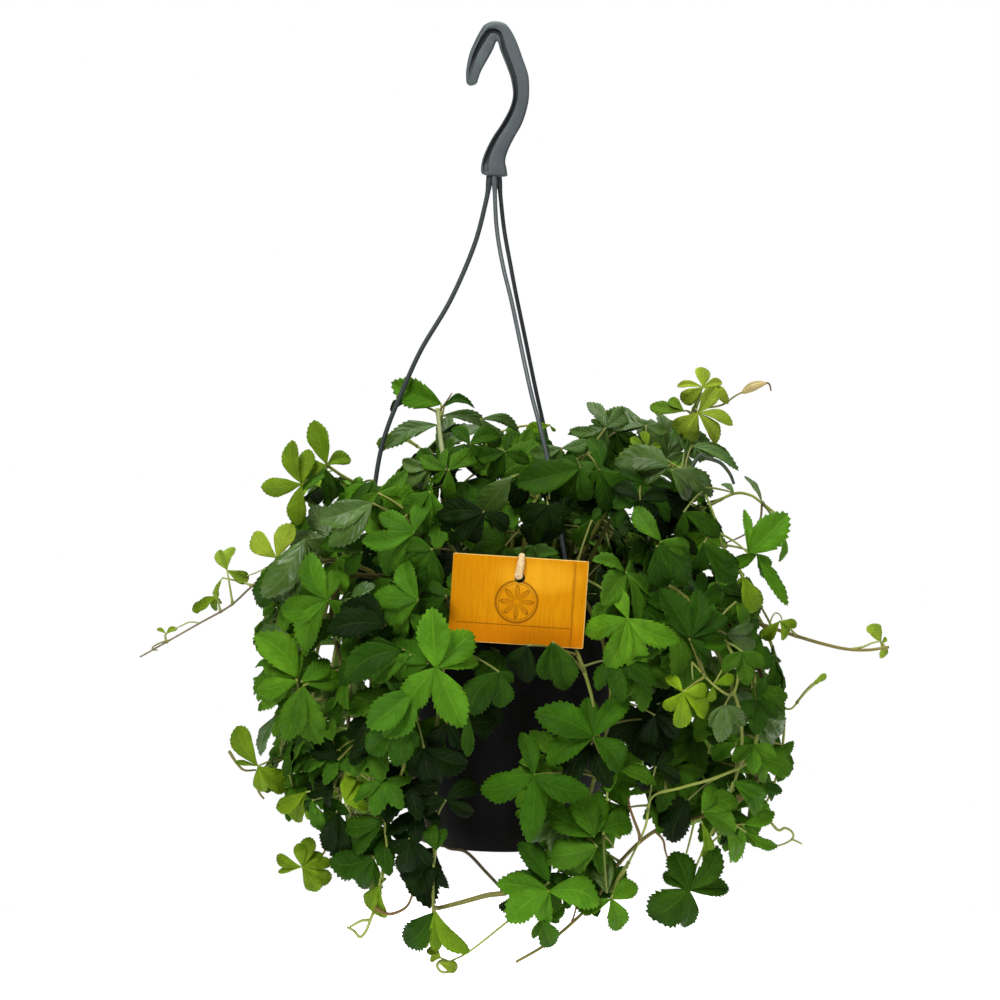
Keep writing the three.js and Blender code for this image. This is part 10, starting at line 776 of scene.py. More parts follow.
def sharp_by_angle(obj, degrees):
    bm = bmesh.new()
    bm.from_mesh(obj.data)
    lim = math.radians(degrees)
    for e in bm.edges:
        if len(e.link_faces) == 2 and e.calc_face_angle(0) > lim:
            e.smooth = False
    bm.to_mesh(obj.data)
    bm.free()


# ------------------------------------------------------------------ materials
def srgb(r, g, b):
    f = lambda c: c / 12.92 if c <= 0.04045 else ((c + 0.055) / 1.055) ** 2.4
    return (f(r / 255), f(g / 255), f(b / 255))


class Nodes:
    def __init__(self, name):
        self.mat = bpy.data.materials.new(name)
        self.mat.use_nodes = True
        self.t = self.mat.node_tree
        self.bsdf = self.t.nodes["Principled BSDF"]

    def new(self, kind, **kw):
        n = self.t.nodes.new(kind)
        for k, v in kw.items():
            setattr(n, k, v)
        return n

    def link(self, a, b):
        self.t.links.new(a, b)

    def val(self, x, sock):
        if isinstance(x, (int, float)):
            sock.default_value = x
        elif isinstance(x, tuple):
            sock.default_value = (*x, 1.0) if len(x) == 3 and len(sock.default_value) == 4 else x
        else:
            self.link(x, sock)

    def math(self, op, a, b=None, c=None, clamp=False):
        n = self.new("ShaderNodeMath", operation=op, use_clamp=clamp)
        self.val(a, n.inputs[0])
        if b is not None:
            self.val(b, n.inputs[1])
        if c is not None:
            self.val(c, n.inputs[2])
        return n.outputs[0]

    def mix(self, fac, a, b, blend="MIX"):
        n = self.new("ShaderNodeMix", data_type="RGBA", blend_type=blend)
        self.val(fac, n.inputs[0])
        self.val(a, n.inputs[6])
        self.val(b, n.inputs[7])
        return n.outputs[2]

    def ramp(self, x, lo, hi, a=0.0, b=1.0, smooth=True):
        n = self.new("ShaderNodeMapRange", interpolation_type="SMOOTHSTEP" if smooth else "LINEAR")
        self.val(x, n.inputs[0])
        for i, q in zip((1, 2, 3, 4), (lo, hi, a, b)):
            self.val(q, n.inputs[i])
        return n.outputs[0]

    def noise(self, vec, scale, detail=2.0, rough=0.5, dim="3D"):
        n = self.new("ShaderNodeTexNoise", noise_dimensions=dim)
        if vec is not None:
            self.link(vec, n.inputs["Vector"])
        n.inputs["Scale"].default_value = scale
        n.inputs["Detail"].default_value = detail
        n.inputs["Roughness"].default_value = rough
        return n.outputs[0]

    def position(self):
        return self.new("ShaderNodeTexCoord").outputs["Object"]

    def uv(self):
        s = self.new("ShaderNodeSeparateXYZ")
        self.link(self.new("ShaderNodeUVMap", uv_map="UVMap").outputs[0], s.inputs[0])
        return s.outputs[0], s.outputs[1]

    def tint(self):
        return self.new("ShaderNodeVertexColor", layer_name="tint").outputs[0]

    def bump(self, height, strength, distance, normal=None):
        n = self.new("ShaderNodeBump")
        n.inputs["Strength"].default_value = strength
        n.inputs["Distance"].default_value = distance
        self.link(height, n.inputs["Height"])
        if normal is not None:
            self.link(normal, n.inputs["Normal"])
        return n.outputs[0]

    def out(self, colour=None, rough=None, normal=None, **sockets):
        if colour is not None:
            self.val(colour, self.bsdf.inputs["Base Color"])
        if rough is not None:
            self.val(rough, self.bsdf.inputs["Roughness"])
        if normal is not None:
            self.link(normal, self.bsdf.inputs["Normal"])
        for k, v in sockets.items():
            self.bsdf.inputs[k.replace("_", " ")].default_value = v
        return self.mat


def leaf_material(name, under, sheen=False):
    n = Nodes(name)
    u, v = n.uv()
    x = n.math("ABSOLUTE", n.math("MULTIPLY_ADD", v, 2.0, -1.0))
    mid = n.ramp(x, 0.012, 0.075, 1.0, 0.0)
    mid = n.math("MULTIPLY", mid, n.ramp(u, 0.75, 1.0, 1.0, 0.35))
    # side veins leave the midrib forwards and bend towards the edge
    run = n.math("SUBTRACT", n.math("MULTIPLY", u, 6.4), n.math("MULTIPLY", n.math("POWER", x, 1.25), 1.8))
    d = n.math("ABSOLUTE", n.math("SUBTRACT", n.math("FRACT", run), 0.5))
    side = n.ramp(d, 0.0, 0.10, 1.0, 0.0)
    side = n.math("MULTIPLY", side, n.ramp(x, 0.60, 0.95, 1.0, 0.0))
    pos = n.position()
    fine = n.new("ShaderNodeTexVoronoi", feature="DISTANCE_TO_EDGE")
    n.link(pos, fine.inputs["Vector"])
    fine.inputs["Scale"].default_value = 700.0
    net = n.ramp(fine.outputs["Distance"], 0.0, 0.14, 1.0, 0.0)
    blotch = n.noise(pos, 60.0, 3.0, 0.6)
    veins = n.math("MAXIMUM", mid, n.math("MULTIPLY", side, 0.46))
    tint = n.tint()
    if under:
        base = n.mix(0.34, tint, srgb(112, 140, 62))
        col = n.mix(n.math("MULTIPLY", veins, 0.40), base, srgb(160, 180, 92))
    else:
        dark = n.mix(1.0, tint, (0.66, 0.73, 0.60), "MULTIPLY")
        base = n.mix(n.ramp(blotch, 0.35, 0.68), dark, tint)
        base = n.mix(n.math("MULTIPLY", n.ramp(n.noise(pos, 210.0, 3.0, 0.6), 0.50, 0.72), 0.35), base, n.mix(1.0, tint, (1.35, 1.25, 1.25), "MULTIPLY"))
        base = n.mix(n.math("MULTIPLY", net, 0.07), base, n.mix(1.0, tint, (1.5, 1.4, 1.3), "MULTIPLY"))
        pale = n.mix(0.15, n.mix(1.0, tint, (2.2, 1.75, 1.7), "MULTIPLY"), srgb(140, 168, 62))
        col = n.mix(n.math("MULTIPLY", veins, 0.40), base, pale)
        # painted shade: the blade darkens beside the midrib, in the valley of the fold; the margin is a little lighter
        col = n.mix(n.math("MULTIPLY", n.ramp(x, 0.10, 0.60, 1.0, 0.0), 0.26), col, n.mix(1.0, tint, (0.62, 0.68, 0.60), "MULTIPLY"))
        col = n.mix(n.math("MULTIPLY", n.ramp(x, 0.86, 1.0), 0.42), col, n.mix(1.0, tint, (1.45, 1.28, 1.2), "MULTIPLY"))
    # quilted between the side veins
    pillow = n.ramp(d, 0.0, 0.5, 0.0, 1.0)
    h = n.math("MULTIPLY", pillow, n.ramp(x, 0.0, 0.2, 0.25, 1.0))
    h = n.math("SUBTRACT", h, n.math("MULTIPLY", mid, 0.9))
    h = n.math("ADD", h, n.math("MULTIPLY", n.noise(pos, 420.0, 3.0), 0.55))
    if under:
        h = n.math("MULTIPLY", h, -0.8)
    lo = 0.36 if sheen else 0.66 if under else 0.50
    rough = n.ramp(blotch, 0.3, 0.7, lo, lo + 0.14)
    nrm = n.bump(h, 0.34, 0.0005)
    return n.out(col, rough, nrm, Subsurface_Weight=0.08, Subsurface_Radius=(0.5, 0.8, 0.08), Subsurface_Scale=0.0012, Specular_IOR_Level=0.36 if sheen else 0.06)


def stem_material():
    n = Nodes("stem_green")
    pos = n.position()
    u, v = n.uv()
    streak = n.new("ShaderNodeCombineXYZ")
    n.link(n.math("MULTIPLY", u, 6.0), streak.inputs[0])
    n.link(n.math("MULTIPLY", v, 14.0), streak.inputs[1])
    s = n.noise(streak.outputs[0], 2.0, 3.0, 0.6)
    tint = n.tint()
    col = n.mix(n.ramp(s, 0.35, 0.7), n.mix(1.0, tint, (0.78, 0.74, 0.66), "MULTIPLY"), n.mix(1.0, tint, (1.15, 1.12, 1.05), "MULTIPLY"))
    col = n.mix(n.math("MULTIPLY", n.ramp(n.noise(pos, 150.0, 3.0), 0.50, 0.75), 0.22), col, srgb(104, 82, 46))
    nrm = n.bump(n.math("ADD", s, n.math("MULTIPLY", n.noise(pos, 1200.0, 2.0), 0.4)), 0.3, 0.0003)
    return n.out(col, n.ramp(s, 0.3, 0.7, 0.48, 0.66), nrm, Subsurface_Weight=0.06, Subsurface_Radius=(0.6, 0.8, 0.2), Subsurface_Scale=0.001, Specular_IOR_Level=0.3)


def hook_material():
    n = Nodes("hook_plastic")
    pos = n.position()
    big = n.noise(pos, 28.0, 3.0, 0.55)
    fine = n.noise(pos, 1500.0, 2.0, 0.6)
    col = n.mix(n.ramp(big, 0.3, 0.7), srgb(73, 81, 84), srgb(89, 97, 100))
    scuff = n.ramp(n.noise(pos, 420.0, 4.0, 0.7), 0.60, 0.72)
    col = n.mix(n.math("MULTIPLY", scuff, 0.22), col, srgb(116, 124, 127))
    # multiplied by the vertex colour, which holds painted shade in the channel
    col = n.mix(1.0, col, n.tint(), "MULTIPLY")
    nrm = n.bump(fine, 0.25, 0.00015)
    return n.out(col, n.ramp(fine, 0.3, 0.7, 0.38, 0.52), nrm, Specular_IOR_Level=0.4)


def strand_material():
    n = Nodes("strand_plastic")
    pos = n.position()
    fine = n.noise(pos, 1300.0, 2.0, 0.6)
    long = n.noise(pos, 22.0, 2.0, 0.5)
    tint = n.tint()
    col = n.mix(n.ramp(long, 0.3, 0.7), n.mix(1.0, tint, (0.85, 0.85, 0.86), "MULTIPLY"), n.mix(1.0, tint, (1.12, 1.12, 1.12), "MULTIPLY"))
    col = n.mix(n.math("MULTIPLY", n.ramp(n.noise(pos, 500.0, 3.0, 0.7), 0.6, 0.75), 0.25), col, srgb(120, 128, 130))
    return n.out(col, n.ramp(fine, 0.3, 0.7, 0.34, 0.48), n.bump(fine, 0.25, 0.00012), Specular_IOR_Level=0.45)


def pot_material():
    n = Nodes("pot_plastic")
    pos = n.position()
    s = n.new("ShaderNodeMapping")
    n.link(pos, s.inputs["Vector"])
    s.inputs["Scale"].default_value = (1.0, 1.0, 0.12)
    streak = n.noise(s.outputs[0], 160.0, 3.0, 0.6)
    fine = n.noise(pos, 1400.0, 2.0, 0.6)
    dust = n.ramp(n.noise(pos, 55.0, 4.0, 0.65), 0.5, 0.75)
    col = n.mix(n.ramp(streak, 0.3, 0.7), srgb(5, 4, 4), srgb(9, 8, 7))
    col = n.mix(n.math("MULTIPLY", dust, 0.25), col, srgb(24, 21, 18))
    nrm = n.bump(n.math("ADD", n.math("MULTIPLY", streak, 0.6), fine), 0.22, 0.0002)
    return n.out(col, n.ramp(dust, 0.0, 1.0, 0.50, 0.68), nrm, Specular_IOR_Level=0.07)


def soil_material():
    n = Nodes("soil_crumbs")
    pos = n.position()
    a = n.noise(pos, 120.0, 4.0, 0.7)
    b = n.noise(pos, 700.0, 3.0, 0.6)
    tint = n.tint()
    col = n.mix(n.ramp(a, 0.35, 0.65), n.mix(1.0, tint, (0.6, 0.58, 0.55), "MULTIPLY"), n.mix(1.0, tint, (1.25, 1.2, 1.1), "MULTIPLY"))
    col = n.mix(n.math("MULTIPLY", n.ramp(b, 0.66, 0.74), 0.5), col, srgb(150, 118, 82))
    return n.out(col, 0.92, n.bump(n.math("ADD", a, n.math("MULTIPLY", b, 0.6)), 0.9, 0.0012), Specular_IOR_Level=0.2)


def wood_material():
    n = Nodes("label_wood")
    u, v = n.uv()                     # millimetres from the board's centre, over 100
    X = n.math("MULTIPLY", u, 100.0)
    Z = n.math("MULTIPLY", v, 100.0)
    # grain runs up and down the board
    g = n.new("ShaderNodeCombineXYZ")
    n.link(n.math("MULTIPLY", X, 1.0), g.inputs[0])
    n.link(n.math("MULTIPLY", Z, 0.055), g.inputs[1])
    grain = n.noise(g.outputs[0], 0.9, 6.0, 0.62)
    fibre = n.noise(g.outputs[0], 6.0, 3.0, 0.7)
    flow = n.noise(g.outputs[0], 0.16, 2.0, 0.5)
    col = n.mix(n.ramp(grain, 0.30, 0.70), srgb(198, 124, 2), srgb(214, 144, 5))
    col = n.mix(n.math("MULTIPLY", n.ramp(fibre, 0.5, 0.72), 0.18), col, srgb(184, 108, 2))
    # paler wood above the middle, towards the right
    bx = n.math("MULTIPLY", n.math("SUBTRACT", X, 11.0), 0.036)
    bz = n.math("MULTIPLY", n.math("SUBTRACT", Z, 15.0), 0.085)
    pale = n.math("ADD", n.math("MULTIPLY", bx, bx), n.math("MULTIPLY", bz, bz))
    pale = n.math("MULTIPLY", n.ramp(pale, 0.0, 1.2, 1.0, 0.0), n.ramp(flow, 0.3, 0.7, 0.65, 1.0))
    col = n.mix(n.math("MULTIPLY", pale, 0.80), col, srgb(234, 170, 34))
    # the foot of the board is a deeper orange, below a thin rule
    low = n.ramp(Z, -21.0, -8.0, 1.0, 0.0)
    col = n.mix(n.math("MULTIPLY", low, 0.60), col, srgb(196, 106, 0))
    left = n.ramp(X, -40.0, -20.0, 1.0, 0.0)
    col = n.mix(n.math("MULTIPLY", left, 0.30), col, srgb(190, 118, 0))
    edge = n.math("ABSOLUTE", n.math("ADD", Z, 14.6))
    inside = n.ramp(n.math("ABSOLUTE", n.math("ADD", X, 2.0)), 33.0, 34.0, 1.0, 0.0)
    rule = n.math("MULTIPLY", n.ramp(edge, 0.12, 0.45, 1.0, 0.0), inside)
    # one dark streak in the grain near the right end, from top to bottom
    sx = n.math("ABSOLUTE", n.math("SUBTRACT", X, n.math("MULTIPLY_ADD", n.noise(g.outputs[0], 0.5, 2.0), 1.6, 31.4)))
    streak = n.math("MULTIPLY", n.ramp(sx, 0.2, 1.3, 1.0, 0.0), n.ramp(n.noise(g.outputs[0], 2.5, 3.0), 0.30, 0.60, 0.35, 1.0))
    col = n.mix(n.math("MULTIPLY", streak, 0.65), col, srgb(142, 84, 8))
    # a plain round ornament: a ring round a rosette of eight petals
    cx = n.math("SUBTRACT", X, -1.0)
    cz = n.math("SUBTRACT", Z, -0.6)
    r = n.math("SQRT", n.math("ADD", n.math("MULTIPLY", cx, cx), n.math("MULTIPLY", cz, cz)))
    a = n.math("ARCTAN2", cz, cx)
    ring1 = n.ramp(n.math("ABSOLUTE", n.math("SUBTRACT", r, 12.3)), 0.45, 0.95, 1.0, 0.0)
    ring2 = n.ramp(n.math("ABSOLUTE", n.math("SUBTRACT", r, 10.7)), 0.1, 0.4, 0.8, 0.0)
    petal = n.math("MULTIPLY", n.math("ABSOLUTE", n.math("COSINE", n.math("MULTIPLY", a, 4.0))), 9.6)
    rose = n.ramp(n.math("ABSOLUTE", n.math("SUBTRACT", r, petal)), 0.3, 0.9, 1.0, 0.0)
    body = n.ramp(n.math("SUBTRACT", petal, r), 0.0, 0.5, 0.0, 0.45)
    rose = n.math("MULTIPLY", n.math("MAXIMUM", rose, body), n.ramp(r, 1.2, 2.0))
    mark = n.math("MAXIMUM", n.math("MAXIMUM", ring1, ring2), rose)
    wear = n.ramp(n.noise(g.outputs[0], 5.0, 3.0, 0.6), 0.30, 0.55, 0.55, 1.0)
    ink = n.math("MULTIPLY", n.math("MAXIMUM", mark, rule), wear)
    col = n.mix(n.math("MULTIPLY", ink, 0.70), col, srgb(96, 46, 4))
    # the sawn edge shows as a pale line along the top, the right and the foot
    brd = n.math("MAXIMUM", n.ramp(n.math("ABSOLUTE", Z), 25.45, 25.75), n.ramp(X, 39.35, 39.7))
    col = n.mix(n.math("MULTIPLY", brd, 0.65), col, srgb(240, 204, 120))
    h = n.math("ADD", n.math("MULTIPLY", grain, 0.6), n.math("MULTIPLY", fibre, 0.5))
    h = n.math("SUBTRACT", h, n.math("MULTIPLY", ink, 0.35))
    return n.out(col, n.ramp(fibre, 0.3, 0.7, 0.55, 0.70), n.bump(h, 0.22, 0.0002), Specular_IOR_Level=0.05)


def wood_edge_material():
    n = Nodes("label_wood_edge")
    pos = n.position()
    s = n.new("ShaderNodeMapping")
    n.link(pos, s.inputs["Vector"])
    s.inputs["Scale"].default_value = (1.0, 6.0, 1.0)
    a = n.noise(s.outputs[0], 300.0, 4.0, 0.6)
    col = n.mix(n.ramp(a, 0.35, 0.65), srgb(214, 176, 92), srgb(246, 224, 158))
    return n.out(col, 0.7, n.bump(a, 0.3, 0.0002))


def cord_material():
    n = Nodes("cord_fibre")
    pos = n.position()
    fib = n.new("ShaderNodeMapping")
    n.link(pos, fib.inputs["Vector"])
    fib.inputs["Rotation"].default_value = (0.6, 0.2, 0.0)
    fib.inputs["Scale"].default_value = (1.0, 1.0, 0.2)
    a = n.noise(fib.outputs[0], 2200.0, 3.0, 0.6)
    b = n.noise(pos, 240.0, 2.0, 0.5)
    col = n.mix(n.ramp(a, 0.3, 0.7), srgb(204, 166, 112), srgb(242, 212, 158))
    # painted highlight: pale patches where the cord seems to catch the light
    col = n.mix(n.math("MULTIPLY", n.ramp(b, 0.45, 0.7), 0.3), col, srgb(252, 230, 188))
    return n.out(col, 0.85, n.bump(a, 0.6, 0.0003), Sheen_Weight=0.3)


M_TOP = leaf_material("leaf_upper", False)
M_SHEEN = leaf_material("leaf_upper_glossy", False, True)
M_UNDER = leaf_material("leaf_underside", True)
M_STEM = stem_material()
M_HOOK = hook_material()
M_STRAND = strand_material()
M_POT = pot_material()
M_SOIL = soil_material()
M_WOOD = wood_material()
M_EDGE = wood_edge_material()
M_CORD = cord_material()

# upper-side colours of the leaves, from old to young; the darkest, K, is partly painted shade, and S is partly a
# painted sheen
CLASS = {
    # K: darkest green, the leaves' age together with painted shade for leaves deep in the foliage
    "K": srgb(15, 33, 4),
    "D": srgb(42, 75, 9),
    # S: paler grey-green, a painted sheen on the glossy leaves
    "S": srgb(68, 97, 37),
    "G": srgb(49, 88, 9),
    "M": srgb(64, 104, 20),
    "B": srgb(76, 120, 21),
    "O": srgb(97, 126, 22),
    "Y": srgb(110, 145, 25),
    "L": srgb(128, 150, 44),
}


# ------------------------------------------------------------------ leaves
ROWS_FINE = [0.0, 0.07, 0.15, 0.24, 0.33, 0.41, 0.435, 0.505, 0.53, 0.60, 0.625, 0.695, 0.72, 0.785, 0.81, 0.87, 0.893, 0.945, 0.96, 1.0]
TIP_FINE = {5: 1, 6: -1, 7: 1, 8: -1, 9: 1, 10: -1, 11: 1, 12: -1, 13: 1, 14: -1, 15: 1, 16: -1, 17: 1, 18: -1}
COLS_FINE = [-1.0, -0.66, -0.32, 0.0, 0.32, 0.66, 1.0]
ROWS_LOW = [0.0, 0.14, 0.30, 0.46, 0.50, 0.61, 0.65, 0.76, 0.80, 0.90, 1.0]
TIP_LOW = {3: 1, 4: -1, 5: 1, 6: -1, 7: 1, 8: -1, 9: 0.6}
COLS_LOW = [-1.0, -0.5, 0.0, 0.5, 1.0]
WIDTH_T = [0.0, 0.06, 0.14, 0.25, 0.36, 0.48, 0.58, 0.66, 0.76, 0.85, 0.93, 1.0]
WIDTH_W = [0.05, 0.22, 0.43, 0.67, 0.86, 0.98, 1.0, 0.95, 0.80, 0.57, 0.32, 0.02]
WIDTH_YOUNG = [0.04, 0.14, 0.30, 0.52, 0.73, 0.91, 0.99, 1.0, 0.94, 0.76, 0.48, 0.06]


def leaflet(b, J, T, N, colour, rng, fine=True, young=False, glossy=False, wide=0.23, lean=0.0):
    """One leaflet: cuneate at the base, widest beyond the middle, toothed
    towards the tip, folded a little along the midrib, with a real underside."""
    J, T, N = (np.asarray(q, float) for q in (J, T, N))
    rows = ROWS_FINE if fine else ROWS_LOW
    teeth = TIP_FINE if fine else TIP_LOW
    cols = np.array(COLS_FINE if fine else COLS_LOW)
    L = np.linalg.norm(T - J)
    if L < 1.0:
        return
    l = (T - J) / L
    n = unit(N - l * np.dot(N, l))
    s = np.cross(l, n)
    t = np.array(rows)
    half = L * wide * rng.uniform(0.97, 1.03)
    w = half * np.interp(t, WIDTH_T, WIDTH_YOUNG if young else WIDTH_W)
    arch = rng.uniform(0.05, 0.14) * L
    bend = (lean + rng.uniform(-0.012, 0.012)) * L
    fold = rng.uniform(0.26, 0.60)
    curl = rng.uniform(0.10, 0.34)
    twist = rng.uniform(-0.30, 0.30)
    ripple = rng.uniform(0.010, 0.028) * L
    phase = rng.uniform(0, 6.28)
    skew = rng.uniform(-0.06, 0.06)
    mid = J[None, :] + (T - J)[None, :] * t[:, None] + n[None, :] * (arch * np.sin(np.pi * t ** 0.9))[:, None] + s[None, :] * (bend * np.sin(np.pi * t))[:, None]
    ang = twist * t
    s_t = s[None, :] * np.cos(ang)[:, None] + n[None, :] * np.sin(ang)[:, None]
    n_t = n[None, :] * np.cos(ang)[:, None] - s[None, :] * np.sin(ang)[:, None]
    R, C = len(rows), len(cols)
    W = np.repeat(w[:, None], C, 1)
    along = np.zeros((R, C))
    for i, sign in teeth.items():
        amp = (0.085 if sign > 0 else -0.060) * (0.4 if young else 1.0) * half
        for j in (0, C - 1):
            W[i, j] = max(0.25 * W[i, j], W[i, j] + amp * rng.uniform(0.7, 1.3))
            if sign > 0:
                along[i, j] = 0.022 * rng.uniform(0.4, 1.3)
    for j, side in ((0, 1 - skew), (C - 1, 1 + skew)):
        W[:, j] *= side
    v = cols[None, :]
    h = fold * np.abs(v) * w[:, None] - curl * v * v * w[:, None]
    h = h + ripple * np.abs(v) * np.sin(2 * np.pi * (t[:, None] * 2.6) + phase + (v > 0) * 1.7) * np.sin(np.pi * np.clip(t[:, None], 0, 1))
    top = mid[:, None, :] + s_t[:, None, :] * (v * W)[:, :, None] + n_t[:, None, :] * h[:, :, None] + l[None, None, :] * (along * L)[:, :, None]
    thick = 0.34 * np.minimum(1.0, np.array([0.9] * R))
    under = top - n_t[:, None, :] * thick[:, None, None]
    P = np.concatenate([top.reshape(-1, 3), under.reshape(-1, 3)])
    uv1 = np.stack([np.repeat(t, C), np.tile((cols + 1) / 2, R)], 1)
    uv = np.concatenate([uv1, uv1])
    # colour: a little lighter towards the base of the leaflet
    k = 1.0 + 0.10 * (1 - t) * (1 if not young else 1.6)
    # and, as painted light and shade, one half of the blade a little lighter than the other, as if the fold were lit
    # from one side
    d = rng.choice((-1, 1)) * rng.uniform(0.04, 0.17)
    side = 1.0 + d * np.sign(cols) * np.minimum(1.0, np.abs(cols) * 3)
    col = (colour[None, None, :] * k[:, None, None] * side[None, :, None]).reshape(-1, 3)
    col = np.concatenate([col, col])
    o = R * C
    F, M = [], []
    for i in range(R - 1):
        for j in range(C - 1):
            a, c, d, e = i * C + j, (i + 1) * C + j, (i + 1) * C + j + 1, i * C + j + 1
            F.append((a, e, d, c)); M.append(2 if glossy else 0)
            F.append((o + a, o + c, o + d, o + e)); M.append(1)
    rim = [(i * C, (i + 1) * C) for i in range(R - 1)]
    rim += [((R - 1) * C + j, (R - 1) * C + j + 1) for j in range(C - 1)]
    rim += [((i + 1) * C + C - 1, i * C + C - 1) for i in range(R - 2, -1, -1)]
    rim += [(j + 1, j) for j in range(C - 2, -1, -1)]
    for a, c in rim:
        F.append((a, c, o + c, o + a)); M.append(0)
    b.add(P, F, col, uv, M)


def leaf_colour(cls, rng):
    c = np.array(CLASS[cls])
    k = rng.uniform(0.86, 1.16)
    warm = rng.uniform(-0.07, 0.07)
    return np.clip(c * np.array([k * (1 + warm), k, k * (1 - warm)]), 0, 1)


def petiole(b, A, J, N, rng, cls, tip_r=0.55):
    A, J, N = (np.asarray(q, float) for q in (A, J, N))
    d = J - A
    L = np.linalg.norm(d)
    sag = rng.uniform(0.04, 0.12) * L
    side = unit(np.cross(d, [0, 0, 1.0])) if abs(d[2]) < 0.95 * L else np.array([1.0, 0, 0])
    c = A + d * 0.5 + np.array([0, 0, sag]) + side * rng.uniform(-0.05, 0.05) * L
    t = np.linspace(0, 1, 8)[:, None]
    path = (1 - t) ** 2 * A + 2 * t * (1 - t) * c + t * t * J
    r = np.linspace(0.85, tip_r, 8)
    r[0] = 1.25
    r[-1] = tip_r * 1.35
    green = np.array(srgb(*{"L": (168, 188, 98), "Y": (162, 182, 84), "O": (148, 166, 78), "B": (142, 162, 74), "M": (130, 150, 70)}.get(cls, (112, 130, 62))))
    brown = np.array(srgb(116, 92, 44))
    k = rng.uniform(0.0, 0.45)
    colour = green * (1 - k) + brown * k
    tube(b, path, r, 6, np.repeat(colour[None, :], 8, 0) * np.linspace(0.85, 1.1, 8)[:, None])


# radius of a stem at its foot and at its tip, where it isn't the usual one
STEM_SIZE = {"lime_crown": (1.9, 1.45), "left_crown": (1.9, 1.6), "right_arch": (1.4, 0.8), "left_vine": (0.95, 0.5), "left_lime": (1.5, 1.0),
             "right_vine": (1.5, 0.9), "right_tip": (1.2, 0.55), "under_pot": (1.5, 0.95), "right_brown": (1.7, 0.85)}


def make_shoot(name, points, leaves, rng):
    """The stem, petioles and tendrils as one piece, the leaves as another."""
    path = catmull(points, 9)
    arc = np.concatenate([[0], np.cumsum(np.linalg.norm(np.diff(path, axis=0), axis=1))])
    f = arc / arc[-1]
    big, small = STEM_SIZE.get(name, (1.50, 0.58))
    r = small + (big - small) * (1 - f) ** 0.8
    sb = Builder()
    nodes = []
    for lf in leaves:
        k = int(np.argmin(np.linalg.norm(path - np.array(lf[2], float), axis=1)))
        nodes.append(k)
    for k in nodes:
        r[max(0, k - 1):k + 2] += 0.0
        r[k] += 0.38 * (1 - 0.5 * f[k])
    old = np.array(srgb(104, 88, 46))
    mid = np.array(srgb(122, 132, 58))
    young = np.array(srgb(156, 174, 82))
    if name in BROWN_STEMS:
        mid = np.array(srgb(108, 98, 50)); young = np.array(srgb(132, 126, 60))
    if name == "under_pot":
        mid = np.array(srgb(62, 50, 34)); young = np.array(srgb(66, 56, 34))
    if name == "left_vine":
        mid = np.array(srgb(112, 98, 84)); young = np.array(srgb(132, 122, 98))
    col = np.where(f[:, None] < 0.45, old + (mid - old) * (f[:, None] / 0.45), mid + (young - mid) * ((f[:, None] - 0.45) / 0.55))
    tube(sb, path, r, 8, col)
    lb = Builder()
    for (lf, k) in zip(leaves, nodes):
        cls, fine, A, J, N, tips = lf
        start = path[k]
        petiole(sb, start, J, N, rng, cls, 0.5 if cls in "YLO" else 0.58)
        base = leaf_colour(cls, rng)
        for T in tips:
            c = base * rng.uniform(0.92, 1.08)
            leaflet(lb, J, T[:3], N, c, rng, fine=bool(fine), young=cls in "YLO", glossy=cls == "S", wide=T[3], lean=T[4])
    for shoot, rad, kind, pts in TENDRILS:
        if shoot != name:
            continue
        p = catmull(pts, 6)
        k = int(np.argmin(np.linalg.norm(path - p[0], axis=1)))
        if kind != "bud" and np.linalg.norm(path[k] - p[0]) < 14:
            p = catmull([tuple(path[k])] + [tuple(q) for q in pts[(1 if np.linalg.norm(path[k] - p[0]) < 5 else 0):]], 6)
        cc = {"olive": srgb(128, 128, 62), "pale": srgb(160, 172, 96), "brown": srgb(118, 94, 50), "bud": srgb(190, 174, 120), "sage": srgb(146, 158, 112), "dark": srgb(58, 74, 56)}[kind]
        rr = np.linspace(rad * 1.15, rad * 0.7, len(p))
        if kind == "bud":
            # a young leaf still folded up: a spindle with ridges along it
            p = catmull(pts, 6)
            g = np.linspace(0, 1, len(p))
            rr = 0.5 + (rad - 0.5) * np.sin(np.pi * g ** 0.8) ** 0.8
            for turn in range(4):
                a = turn * 1.7
                q = p + np.outer(np.sin(np.pi * g), [0, 0.9 * math.cos(a), 0.9 * math.sin(a)])
                tube(sb, q, rr * (0.78, 0.66, 0.72, 0.6)[turn], 10, np.array(cc) * (1.0, 0.8, 1.12, 0.9)[turn])
        else:
            tube(sb, p, rr, 6, cc)
    stem = sb.build("stem_" + name, [M_STEM])
    made = [stem]
    if lb.n:
        made.append(lb.build("leaves_" + name, [M_TOP, M_UNDER, M_SHEEN]))
    for o in made:
        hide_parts("shoot_" + name)
    return made


for i, (name, points) in enumerate(SHOOTS.items()):
    rng = random.Random(1000 + i)
    mine = [lf[1:] for lf in LEAVES if lf[0] == name]
    make_shoot(name, points, mine, rng)


